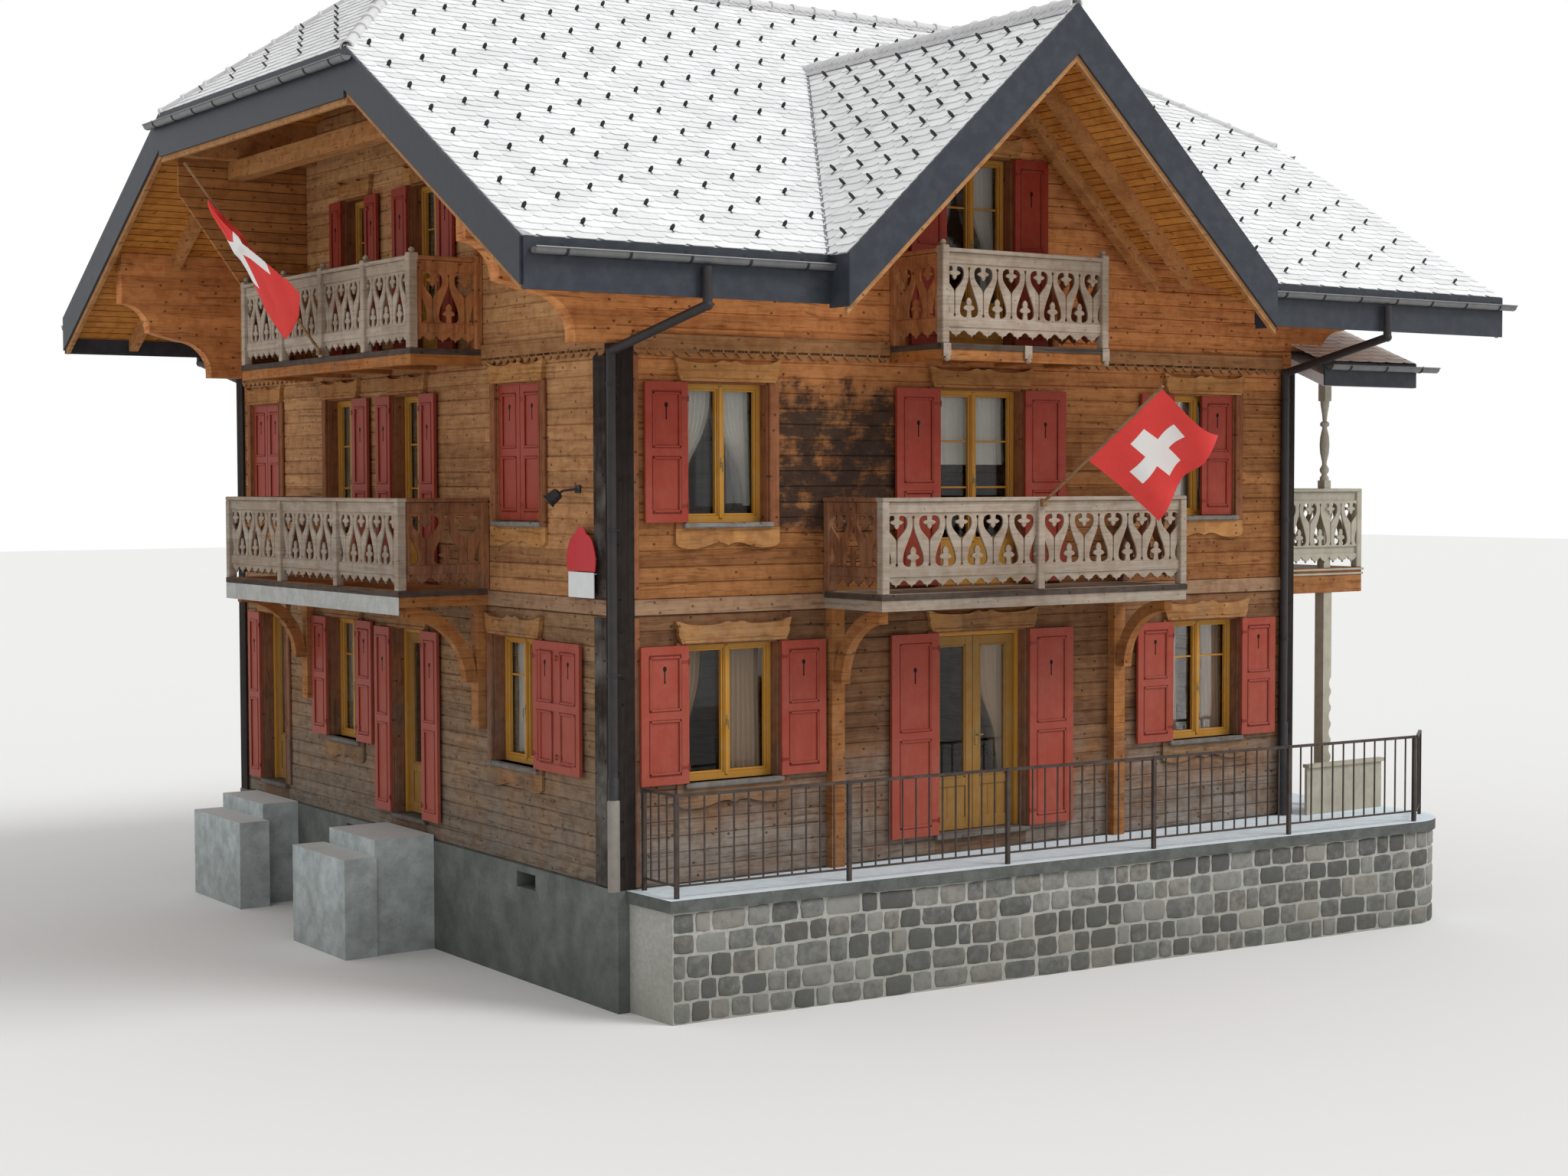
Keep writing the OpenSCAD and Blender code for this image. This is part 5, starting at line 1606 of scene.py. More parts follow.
    def wing(self, start: Vector, end: Vector, hand: int, pitch: float) -> Mesh:
        """Returns one ribbed flank of a ridge cap, lifted a little off the shingles.

        Args:
            start: one end of the ridge.
            end: its other end.
            hand: which side of the ridge it lies on.
            pitch: the slope's pitch in degrees.

        Returns:
            The mesh.
        """
        way = (end - start).normalized()
        down = way.cross(Vector((0, 0, 1))) * hand * math.cos(math.radians(pitch)) - Vector(
            (0, 0, math.sin(math.radians(pitch))))
        up = Vector((0, 0,
                     1)) * math.cos(math.radians(pitch)) + way.cross(Vector((0, 0, 1))) * hand * math.sin(
            math.radians(pitch))
        shape = Shape()
        count = round((end - start).length / self.rib_step)
        step = (end - start).length / count
        section = [(0.03, 0.023), (0.10, 0.029), (0.168, 0.036), (0.186, 0.026), (0.182, 0.022),
                   (0.165, 0.031),
                   (0.10, 0.024), (0.03, 0.018)]
        shape.loft([[start + way * s + down * u + up * v for u, v in section]
                    for s in (0.0, (end - start).length)])
        for i in range(count):
            shape.tube([start + way * ((i + 0.3 + lag) * step) + down * u + up * v
                        for u, v, lag in ((0.035, 0.025, 0.0), (0.10, 0.032, 0.2), (0.170, 0.037, 0.42))],
                       0.011, 6)
        return shape.mesh("wing")

    def inner_boards(self) -> None:
        """Adds the pale wooden boards that show behind and below the metal of the verges."""
        p = PLAN
        shape = Shape()
        m = math.tan(math.radians(p.main_pitch))
        for x0, x1 in ((p.left + 0.002, p.left + 0.05), (p.right - 0.05, p.right - 0.002)):
            for flip in (False, True):
                ends = [(p.near + 0.03, p.eave + 0.03 * m), (p.hip_y, p.hip_foot)]
                ring = [(y, z - 0.275) for y, z in ends] + [(y, z - 0.485) for y, z in ends[::-1]]
                if flip:
                    ring = [(p.depth - y, z) for y, z in ring][::-1]
                shape.prism(ring, x0, x1, ALONG_X)
            shape.box((x0, p.hip_y, p.hip_foot - 0.56), (x1, p.depth - p.hip_y, p.hip_foot - 0.275), 0.003)
        for s in (-1, 1):
            ends = [(p.gable_x + s * p.gable_half, p.eave), (p.gable_x, p.gable_top)]
            ring = [(x, z - 0.28) for x, z in ends] + [(x, z - 0.575) for x, z in ends[::-1]]
            if s < 0:
                ring = ring[::-1]
            shape.prism(ring, -p.gable_near - 0.05, -p.gable_near - 0.002, FLAT_BOARD)
        shape.piece("inner_verge_boards", VERGE_WOOD)

    def build(self) -> None:
        """Covers every slope and adds the fittings."""
        planes = slopes()
        for slope in planes:
            self.cover(slope)
        self.hooks([slope for slope in planes if slope.name != "porch_slope"])
        self.ridges()
        self.inner_boards()


@dataclass
class Balustrade:
    """One balcony's railing of sawn boards between rails and posts."""

    name: str
    node: str
    side: Side
    start: float
    width: float
    depth: float
    deck: float
    posts: tuple[float, ...]
    front: Any = None
    ends: Any = None
    cut_pitch: float = 0.405
    fringe_pitch: float = 0.2
    board: float = 0.025
    cut_foot: float = 0.272
    cut_head: float = 0.780
    drawn_pitch: float = 0.405
    knobs: bool = False
    fascia: float = 0.0
    pendants: bool = False

    @staticmethod
    def cut(standing: bool) -> list[Point2]:
        """Returns the right half of a saw cut, from its root round its lobe to the end of its slit.

        Args:
            standing: whether it is the tall cut that stands on the lower rail.

        Returns:
            Points away from the root.
        """
        lobe = [(0.034, 0.0), (0.076, 0.0), (0.117, 0.021), (0.131, 0.063)]
        if standing:
            side = [(0.123, 0.120), (0.101, 0.180), (0.073, 0.240), (0.046, 0.298), (0.024, 0.350),
                    (0.011, 0.398),
                    (0.008, 0.430), (0.008, 0.467)]
        else:
            side = [(0.122, 0.115), (0.094, 0.157), (0.053, 0.198), (0.020, 0.233), (0.010, 0.262),
                    (0.008, 0.370),
                    (0.008, 0.467)]
        return smooth_curve(lobe + side) + smooth_curve([(0.008, 0.467), (0.018, 0.490), (0.013, 0.504),
                                                         (0.0, 0.508)], 3)

    @staticmethod
    def leaf(standing: bool) -> list[Point2]:
        """Returns the right half of the leaf in a cut, from its tip to its stem.

        Args:
            standing: whether it is the leaf of the tall cut.

        Returns:
            The curve's points.
        """
        if standing:
            return (smooth_curve([(0.0, 0.198), (0.022, 0.182), (0.034, 0.154), (0.026, 0.122)], 3)
                    + smooth_curve([(0.026, 0.122), (0.050, 0.117), (0.076, 0.092)], 3)
                    + smooth_curve([(0.076, 0.092), (0.054, 0.074), (0.033, 0.070), (0.026, 0.050),
                                    (0.034, 0.0)], 3))
        return (smooth_curve([(0.0, 0.134), (0.018, 0.118), (0.028, 0.100), (0.024, 0.088)], 3)
                + smooth_curve([(0.024, 0.088), (0.052, 0.086), (0.080, 0.066)], 3)
                + smooth_curve([(0.080, 0.066), (0.056, 0.050), (0.034, 0.046), (0.027, 0.030),
                                (0.034, 0.0)], 3))

    def cell(self, pitch: float) -> Mesh:
        """Returns one repeat of the panel between the rails.

        Args:
            pitch: its width.

        Returns:
            The mesh, from X 0 to the pitch.
        """
        stretch = pitch / self.drawn_pitch
        low, high, foot = 0.255, 0.815, self.cut_foot
        outer, leaf = self.cut(False), self.leaf(False)
        end = (0.0, 0.508)
        ring = (outer + [end] + [(-x, y) for x, y in reversed(outer)] + [(-x, y) for x, y in reversed(leaf)]
                + leaf[1:])
        hanging = [(pitch / 2 + x * stretch, self.cut_head - y) for x, y in ring]
        outer, leaf = self.cut(True), self.leaf(True)
        standing = [(x * stretch, foot + y) for x, y in [end] + outer[::-1] + leaf[::-1]]
        mirrored = [(pitch - x, y) for x, y in reversed(standing)]
        outline = [(0.0, low), (pitch, low), *mirrored, (pitch, high), (0.0, high), *standing]
        return sawn_board("panel_cell", outline, [hanging], self.board)

    def fringe(self, pitch: float) -> Mesh:
        """Returns one repeat of the fringe below the bottom rail.

        Args:
            pitch: its width.

        Returns:
            The mesh.
        """
        h = [(0.0, 0.064), (0.006, 0.082), (0.022, 0.092), (0.045, 0.098), (0.062, 0.118), (0.10, 0.138)]
        curve = smooth_curve(h, 3) + [h[-1]]
        stretch = pitch / self.fringe_pitch
        half = [(x * stretch, z) for x, z in curve]
        whole = half + [(pitch - x, z) for x, z in half[-2::-1]]
        return sawn_board("fringe_cell", whole + [(pitch, 0.17), (0.0, 0.17)], [], self.board)

    def side_run(self, length: float, posts: Sequence[float], place: Matrix, name: str, finish: Any,
                 replaces: Sequence[str] = (), panel_at: float = 0.045) -> None:
        """Builds one straight side.

        Args:
            length: its length.
            posts: where its posts start.
            place: from the side's own frame to the house's.
            name: the pieces' name.
            finish: their finish.
            replaces: solid parts that it stands for.
            panel_at: how far the middle of the boards lies from the outer face.
        """
        s, h = PLAN.post, PLAN.rail
        shape = Shape()
        for x in posts:
            shape.box((x, -0.010, 0.0), (x + s, s, h - 0.042), 0.008, place)
            if self.knobs:
                shape.box((x - 0.003, -0.014, h - 0.06), (x + s + 0.003, s + 0.014, h + 0.03), 0.012, place)
                shape.tube([place @ Vector((x + s / 2, s / 2, h + z))
                            for z in (0.028, 0.036, 0.058, 0.080, 0.088)],
                           [0.020, 0.022, 0.036, 0.022, 0.004], 14)
        shape.box((0.004, 0.023, 0.17), (0.055, s - 0.023, h - 0.1), 0.004, place)
        shape.box((0.0, -0.012, h - 0.042), (length, s + 0.012, h), 0.009, place)
        a, b = 0.003, length - 0.003
        shape.box((a, 0.02, h - 0.152), (b, s - 0.02, h - 0.042), 0.004, place)
        shape.box((a, 0.012, h - 0.066), (b, s - 0.012, h - 0.043), 0.007, place)
        shape.box((a, 0.02, 0.164), (b, s - 0.02, 0.264), 0.006, place)
        count = max(1, round(length / self.cut_pitch))
        cells = Repeater.rows("cells", self.cell(length / count), finish, columns=count, rows=1,
                              column_step=length / count, lean=0.0)
        many = max(1, round(length / self.fringe_pitch))
        fringes = Repeater.rows("fringe", self.fringe(length / many), finish, columns=many, rows=1,
                                column_step=length / many, lean=0.0)
        bm = bmesh.new()
        for part in (cells, fringes):
            bm.from_mesh(part)
        bmesh.ops.remove_doubles(bm, verts=bm.verts[:], dist=0.0003)
        panel = bpy.data.meshes.new("panel")
        bm.to_mesh(panel)
        bm.free()
        panel.transform(place @ Matrix.Translation((a, panel_at, 0.0))
                        @ Matrix.Scale((b - a) / length, 4, (1, 0, 0)))
        rails = shape.mesh("rails")
        piece(name, joined([rails, panel], name), finish, replaces=replaces)

    def deck_face(self) -> None:
        """Lays the deck's edge board, dark as painted shade, and the fascia and carved post ends where there
        are any.
        """
        place = self.side.matrix @ Matrix.Translation((self.start, -self.depth, self.deck))
        edge = Shape()
        # The edge board's near-black brown is painted shade on the deck's face.
        edge.box((-0.012, -0.012, -0.062), (self.width + 0.012, -0.0005, -0.001), 0.004, place)
        for u in (-0.012, self.width + 0.0005):
            edge.box((u, 0.0, -0.062), (u + 0.0115, self.depth - 0.03, -0.001), 0.004, place)
        edge.piece(f"{self.name}_deck_edge", DECK_EDGE_SHADE)
        if self.fascia:
            board = Shape()
            board.box((-0.008, -0.011, -self.fascia), (self.width + 0.008, -0.0005, -0.063), 0.003, place)
            board.piece(f"{self.name}_fascia", FASCIA)
        if self.pendants:
            ends = Shape()
            for x in (0.0, self.width / 2 - 0.05, self.width - 0.1):
                ends.box((x, -0.026, -0.135), (x + 0.1, -0.013, 0.0), 0.004, place)
                ends.tube([place @ Vector((x + 0.05, -0.019, z))
                           for z in (-0.130, -0.138, -0.160, -0.178, -0.184)],
                          [0.018, 0.022, 0.036, 0.022, 0.004], 14)
            ends.piece(f"{self.name}_post_ends", self.front)

    def build(self) -> None:
        """Builds the long side, the two returns and the deck's face."""
        self.deck_face()
        s = PLAN.post
        home = self.side.matrix @ Matrix.Translation((self.start, -self.depth, self.deck))
        self.side_run(self.width, self.posts, home, f"{self.name}_front", self.front, (self.node,))
        turn = Matrix.Rotation(math.radians(90), 4, "Z")
        length = self.depth - s - 0.0005
        for label, u in (("near", s), ("far", self.width)):
            place = home @ Matrix.Translation((u, s + 0.0005, 0.0)) @ turn
            self.side_run(length, (length - s,), place, f"{self.name}_{label}", self.ends)


def balustrades() -> list[Balustrade]:
    """Returns the railings of the four balconies on the front and left walls.

    Returns:
        The railings.
    """
    p, s = PLAN, PLAN.post
    found = []
    for name, node, side, start, width, depth, deck, spans, ends, more in (
        ("front_balustrade", "front_balcony_railing", Side.FRONT, 2.44, 4.14, 1.0, p.first, 2, RETURNS, {}),
        ("gable_balustrade", "gable_balcony_railing", Side.FRONT, GABLE_DECK_X, GABLE_DECK_W, 0.88, p.attic,
         1, RETURNS_TOP,
         {"knobs": True, "pendants": True}),
        ("left_balustrade", "left_balcony_railing", Side.LEFT, p.depth - 2.65 - 4.71, 4.71, 1.05, p.first, 3,
         RETURNS, {"fascia": 0.25}),
        ("attic_balustrade", "attic_balcony_railing", Side.LEFT, p.depth - ATTIC_DECK_Y - ATTIC_DECK_W,
         ATTIC_DECK_W, 0.84, p.attic, 4,
         RETURNS_TOP, {"knobs": True, "cut_pitch": 0.325, "fringe_pitch": 0.163}),
    ):
        posts = tuple((width - s) * i / spans for i in range(spans + 1))
        found.append(Balustrade(name, node, side, start, width, depth, deck, posts, BLEACHED, ends, **more))
    return found


@dataclass
class Porch:
    """The side porch: its painted balustrade, deck ledges and the small roof's edge and gutter."""

    reach: float = 1.45
    depth: float = 2.5
    near: float = 0.19
    fascia: float = 0.30

    def railing(self) -> None:
        """Builds the balustrade round the porch's deck, in front of the turned posts."""
        p = PLAN
        top, s, x = p.first + 0.06, p.post, p.width
        run = Balustrade("porch_balustrade", "porch_railing", Side.RIGHT, 0.0, 0.0, 0.0, top, (),
                         cut_pitch=0.34,
                         fringe_pitch=0.16)
        run.side_run(self.reach, (self.reach - s,), Matrix.Translation((x, self.near + 0.004, top)),
                     "porch_balustrade_front", CREAM, ("porch_railing",), 0.012)
        length = self.depth - 2 * s - 0.01
        run.side_run(length, (), Matrix.Translation((x + self.reach, self.near + s + 0.006, top))
                     @ Matrix.Rotation(math.radians(90), 4, "Z"), "porch_balustrade_side", CREAM)
        run.side_run(self.reach, (self.reach - s,), Matrix.Translation((x, self.near + self.depth - s, top)),
                     "porch_balustrade_back", CREAM)

    def ledges(self) -> None:
        """Builds the deck's boards and the two ledges along its face."""
        x, top = PLAN.width, PLAN.first + 0.06
        shape = Shape()
        count = 12
        for i in range(count):
            y = self.near + 0.1 + (self.depth - 0.2) * i / count
            shape.box((x + 0.002, y + 0.003, top + 0.0005),
                      (x + self.reach - 0.1, y + (self.depth - 0.2) / count - 0.003,
                                                              top + 0.006), 0.001)
        for z, out in ((top - 0.022, 0.022), (top - 0.075, 0.016)):
            shape.box((x + 0.002, self.near - out, z - 0.012),
                      (x + self.reach + out, self.near + 0.002, z + 0.012), 0.004)
            shape.box((x + self.reach - 0.002, self.near - out, z - 0.012),
                      (x + self.reach + out, self.near + self.depth, z + 0.012), 0.004)
        shape.piece("porch_ledges", CREAM)

    def roof_edge(self) -> None:
        """Builds the edge boards and the gutter of the porch's roof."""
        x0, x1 = PLAN.width + 0.003, PLAN.width + PORCH_ROOF_W
        near, far, rise = PORCH_ROOF_NEAR, PORCH_ROOF_FAR, PORCH_RISE
        low = PORCH_EAVE - 0.285
        shape = Shape()
        shape.box((x0, near - 0.022, low), (x1 + 0.012, near - 0.001, PORCH_EAVE - 0.006), 0.004)
        ring = [(near - 0.02, low), (far, low + (far - near) * rise),
                (far, PORCH_EAVE + (far - near) * rise + 0.004),
                (near - 0.02, PORCH_EAVE + 0.004)]
        shape.prism(ring, x1 + 0.001, x1 + 0.021, ALONG_X)
        shape.piece("porch_edge_boards", BARGE)
        trough, brackets = Shape(), Shape()
        gutters = Gutters()
        gutters.run(trough, brackets, Vector((x0 + 0.02, near - 0.028 - gutters.radius, PORCH_EAVE - 0.05)),
                    Vector((1, 0, 0)), Vector((0, -1, 0)), 1.85)
        trough.piece("porch_gutter", ZINC, smooth=30)
        brackets.piece("porch_gutter_brackets", HOOK_METAL)

    def build(self) -> None:
        """Builds the whole porch."""
        self.railing()
        self.ledges()
        self.roof_edge()


@dataclass
class Fixtures:
    """Floodlight and bare plates on the left wall, the worn corner, gable end boards and valleys."""

    lamp: tuple[float, float, float] = (-0.21, 0.87, 5.02)
    plate: tuple[float, float, float] = (-0.07, 0.57, 4.29)

    def floodlight(self) -> None:
        """Builds the drum lamp, its glass and its bracket."""
        at = Vector(self.lamp)
        aim = Vector((-0.55, 0.35, -0.55)).normalized()
        shape = Shape()
        shape.tube([at - aim * 0.07, at - aim * 0.055, at + aim * 0.05, at + aim * 0.075, at + aim * 0.076],
                   [0.035, 0.058, 0.066, 0.078, 0.066], 28)
        shape.tube([at - aim * 0.02, at + Vector((0.08, -0.05, 0.06)),
                    Vector((0.0, self.lamp[1] - 0.12, at.z + 0.075))], 0.012, 10)
        shape.box((-0.018, self.lamp[1] - 0.17, at.z + 0.035), (0.004, self.lamp[1] - 0.07, at.z + 0.115),
                  0.004)
        shape.piece("floodlight", HOOK_METAL, smooth=35)
        glass = Shape()
        glass.tube([at + aim * 0.0765, at + aim * 0.0785], 0.060, 28)
        glass.piece("floodlight_glass", LENS, smooth=35)

    def plates(self) -> None:
        """Builds the bare plate: an arched red top over a white board, held off the wall by two stays."""
        x, y, z = self.plate
        turn = Matrix(((0, 0, 1, 0), (-1, 0, 0, 0), (0, 1, 0, 0), (0, 0, 0, 1)))
        half = smooth_curve([(0.27, 0.0), (0.285, 0.12), (0.25, 0.24), (0.19, 0.33), (0.10, 0.37),
                             (0.07, 0.42), (0.0, 0.44)], 3)
        arch = [(u - y, z + v) for u, v in half] + [(-u - y, z + v) for u, v in half[::-1]]
        red, white = Shape(), Shape()
        red.prism(arch, x - 0.012, x, turn)
        red.piece("red_plate", PLATE_RED)
        white.box((x - 0.012, y - 0.25, z - 0.262), (x, y + 0.25, z - 0.01), 0.003)
        for v in (-0.2, 0.2):
            white.box((x, y + v - 0.012, z - 0.03), (0.001, y + v + 0.012, z - 0.018), 0.002)
            white.box((x, y + v - 0.012, z + 0.12), (0.001, y + v + 0.012, z + 0.132), 0.002)
        white.piece("white_plate", PLATE_WHITE)

    def valleys(self) -> None:
        """Lays a metal strip in each valley beside the front gable."""
        p = PLAN
        shape = Shape()
        for s in (-1, 1):
            foot = Vector((p.gable_x + s * p.gable_half, p.near, p.eave))
            top = Vector((p.gable_x, p.valley_y, p.gable_top))
            way = (top - foot).normalized()
            main = Vector((0, -math.tan(math.radians(p.main_pitch)), 1)).normalized()
            flank = Vector((s * math.tan(math.radians(p.gable_pitch)), 0, 1)).normalized()
            over = (main + flank).normalized()
            a, b = main.cross(way), way.cross(flank)
            if a.x * s < 0:
                a, b = -a, -b
            lift = over * 0.016
            line = [(foot + lift, top + lift),
                    (foot + a * 0.022 + main * 0.016, top + a * 0.022 + main * 0.016)]
            line.append((foot + b * 0.022 + flank * 0.016, top + b * 0.022 + flank * 0.016))
            for side in (1, 2):
                (m0, m1), (e0, e1) = line[0], line[side]
                thin = over * 0.003
                shape.add([m0, e0, e1, m1, m0 + thin, e0 + thin, e1 + thin, m1 + thin],
                          BLOCK_FACES)
        shape.piece("valley_flashings", VALLEY)

    def corner(self) -> None:
        """Adds the worn boards beside the near corner's boards and the pipe's wider foot."""
        shape = Shape()
        strip = Shape()
        for low, high in ((PLAN.plinth + 0.01, 3.84), (4.03, 6.39)):
            shape.box((-0.024, 0.172, low), (-0.0005, 0.415, high), 0.003)
            strip.box((0.172, -0.020, low), (0.232, -0.0005, high), 0.003)
        shape.piece("worn_corner_boards", WORN)
        strip.piece("corner_strip", CASING)
        sleeve = Shape()
        sleeve.tube([Vector((-0.087, -0.045, z)) for z in (1.20, 1.205, 2.08, 2.10)],
                    [0.050, 0.060, 0.060, 0.050], 24)
        sleeve.piece("pipe_sleeve", SLEEVE, smooth=35)

    def gable_ends(self) -> None:
        """Closes the two short sides of the front gable's roof with edge boards."""
        p = PLAN
        shape = Shape()
        for s in (-1, 1):
            a, b = sorted((p.gable_x + s * (p.gable_half + 0.004), p.gable_x + s * (p.gable_half - 0.012)))
            shape.box((a, p.gable_near - 0.02, p.eave - 0.50), (b, p.near - 0.02, p.eave - 0.004), 0.003)
        shape.piece("gable_end_boards", BARGE)

    def build(self) -> None:
        """Builds the fixtures."""
        self.corner()
        self.gable_ends()
        self.floodlight()
        self.plates()
        self.valleys()


@dataclass
class Surrounds:
    """Casing boards, carved heads, sills and aprons round every opening."""

    board: float = 0.03
    head: float = 0.225
    apron: float = 0.2

    def head_outline(self, start: float, end: float, foot: float) -> list[Point2]:
        """Returns the carved head: pointed ends, two hollows and a low hump, drawn in at the foot.

        Args:
            start: its left end.
            end: its right end.
            foot: its lower edge.

        Returns:
            The outline, counter-clockwise.
        """
        width, h = end - start, self.head
        half = [(0.0, h), (0.03, h - 0.004), (0.10, h - 0.034), (0.24, h - 0.048), (0.36, h - 0.044),
                (0.42, h - 0.020),
                (0.455, h - 0.016), (0.47, h - 0.026), (0.5, h - 0.030)]
        curve = smooth_curve([(x * width, z) for x, z in half], 3) + [(0.5 * width, h - 0.030)]
        top = curve + [(width - x, z) for x, z in curve[-2::-1]]
        side = [(0.012, h - 0.04), (0.030, h - 0.09), (0.024, h - 0.13), (0.045, 0.05), (0.07, 0.0)]
        ring = [(start + x, foot + z) for x, z in side]
        ring += [(end - x, foot + z) for x, z in reversed(side)]
        return ring + [(start + x, foot + z) for x, z in reversed(top)]

    def apron_outline(self, start: float, end: float, top: float) -> list[Point2]:
        """Returns the board under a sill, with its carved lower edge.

        Args:
            start: its left end.
            end: its right end.
            top: its upper edge.

        Returns:
            The outline.
        """
        width, h = end - start, self.apron
        half = [(0.0, 0.05), (0.05, 0.012), (0.16, 0.0), (0.28, 0.02), (0.36, 0.05), (0.44, 0.056),
                (0.5, 0.03)]
        curve = smooth_curve([(x * width, z) for x, z in half], 3) + [(0.5 * width, 0.03)]
        low = curve + [(width - x, z) for x, z in curve[-2::-1]]
        return [(start + x, top - h + z) for x, z in low] + [(end, top), (start, top)]

    def build(self) -> None:
        """Builds the boards of every opening as one piece a wall."""
        c, t = PLAN.casing, self.board
        for side in Side:
            shape, jambs, sills = Shape(), Shape(), Shape()
            boards = side.matrix @ FLAT_BOARD
            for gap in all_openings():
                if gap.side is not side:
                    continue
                low = gap.foot - (0.055 if gap.kind is Kind.WINDOW else 0.0)
                for x0, x1 in ((gap.start - c, gap.start), (gap.end, gap.end + c)):
                    jambs.box((x0, -t, low), (x1, 0.0, gap.head + 0.01), 0.006, side.matrix)
                    rib = x1 - 0.02 if x0 < gap.start else x0
                    jambs.box((rib, -t - 0.008, low), (rib + 0.02, -t + 0.002, gap.head), 0.004, side.matrix)
                shape.prism(self.head_outline(gap.start - c - 0.012, gap.end + c + 0.012, gap.head + 0.001),
                            0.0,
                            t + 0.022, boards)
                shape.box((gap.start - 0.05, -t - 0.034, gap.head + 0.004),
                          (gap.end + 0.05, -t - 0.014, gap.head + 0.034),
                          0.007, side.matrix)
                if gap.kind is Kind.WINDOW:
                    sills.box((gap.start - 0.035, -t - 0.038, gap.foot - 0.054),
                              (gap.end + 0.035, 0.11, gap.foot),
                              0.012, side.matrix)
                    shape.prism(self.apron_outline(gap.start - c, gap.end + c, gap.foot - 0.055), 0.0, t,
                                boards)
                elif gap.kind is Kind.HOUSE_DOOR:
                    sills.box((gap.start - 0.02, -t - 0.03, gap.foot - 0.05),
                              (gap.end + 0.02, 0.19, gap.foot), 0.01,
                              side.matrix)
                for x0, x1 in ((gap.start, gap.start + 0.018), (gap.end - 0.018, gap.end)):
                    jambs.box((x0, -0.004, gap.foot), (x1, PLAN.joinery, gap.head), 0.002, side.matrix)
                jambs.box((gap.start, -0.004, gap.head - 0.018), (gap.end, PLAN.joinery, gap.head), 0.002,
                          side.matrix)
            label = side.name.lower()
            replaces = ("window_surrounds",) if side is Side.FRONT else ()
            shape.piece(f"{label}_surrounds", TRIM, replaces=replaces)
            jambs.piece(f"{label}_casings", CASING)
            if sills.points:
                sills.piece(f"{label}_sills", SILL)


@dataclass
class Sashes:
    """Glazing beads, bars and handles of the windows and balcony doors."""

    bead: float = 0.022
    bar: float = 0.02

    def build(self) -> None:
        """Builds the sash fittings of every glazed opening."""
        shape, metal = Shape(), Shape()
        y0, y1 = PLAN.joinery, PLAN.joinery + 0.06
        for gap in all_openings():
            if gap.kind is Kind.HOUSE_DOOR or gap.left is Leaf.CLOSED:
                continue
            w, m, turn = FRAME_W, gap.middle, gap.side.matrix
            foot, head = gap.glass_foot, gap.head - w
            for x0, x1 in ((gap.start + w, m - w / 2), (m + w / 2, gap.end - w)):
                b = self.bead
                for low, high in (((x0, y0 + 0.012, foot), (x0 + b, y1 - 0.004, head)),
                                  ((x1 - b, y0 + 0.012, foot), (x1, y1 - 0.004, head)),
                                  ((x0 + b, y0 + 0.012, foot), (x1 - b, y1 - 0.004, foot + b)),
                                  ((x0 + b, y0 + 0.012, head - b), (x1 - b, y1 - 0.004, head))):
                    shape.box(low, high, 0.004, turn)
                bars = (0.36, 0.68) if gap.kind is Kind.BALCONY_DOOR else (0.7,)
                if gap.side is Side.FRONT and gap.start < 2.0:
                    bars = ()
                for part in bars:
                    z = foot + (head - foot) * part
                    shape.box((x0 + b, y1 - 0.022, z - self.bar / 2),
                              (x1 - b, y1 - 0.002, z + self.bar / 2), 0.004, turn)
            shape.box((m - 0.02, y0 - 0.012, foot - 0.03), (m + 0.02, y0 + 0.001, head + 0.03), 0.006, turn)
            if gap.kind is Kind.BALCONY_DOOR:
                for x0, x1 in ((gap.start + w + 0.02, m - w / 2 - 0.015),
                               (m + w / 2 + 0.015, gap.end - w - 0.02)):
                    shape.box((x0, y0 - 0.008, gap.foot + 0.10), (x1, y0 + 0.001, gap.foot + 0.41), 0.007,
                              turn)
            z = foot + (head - foot) * 0.42
            metal.box((m - 0.009, y0 - 0.018, z - 0.05), (m + 0.009, y0 - 0.010, z + 0.05), 0.003, turn)
            metal.tube([turn @ Vector(p)
                        for p in ((m, y0 - 0.014, z), (m, y0 - 0.038, z),
                                  (m + 0.004, y0 - 0.044, z - 0.09))],
                       0.006, 8)
        shape.piece("sash_beads", OCHRE)
        metal.piece("window_handles", BRASS, smooth=40)


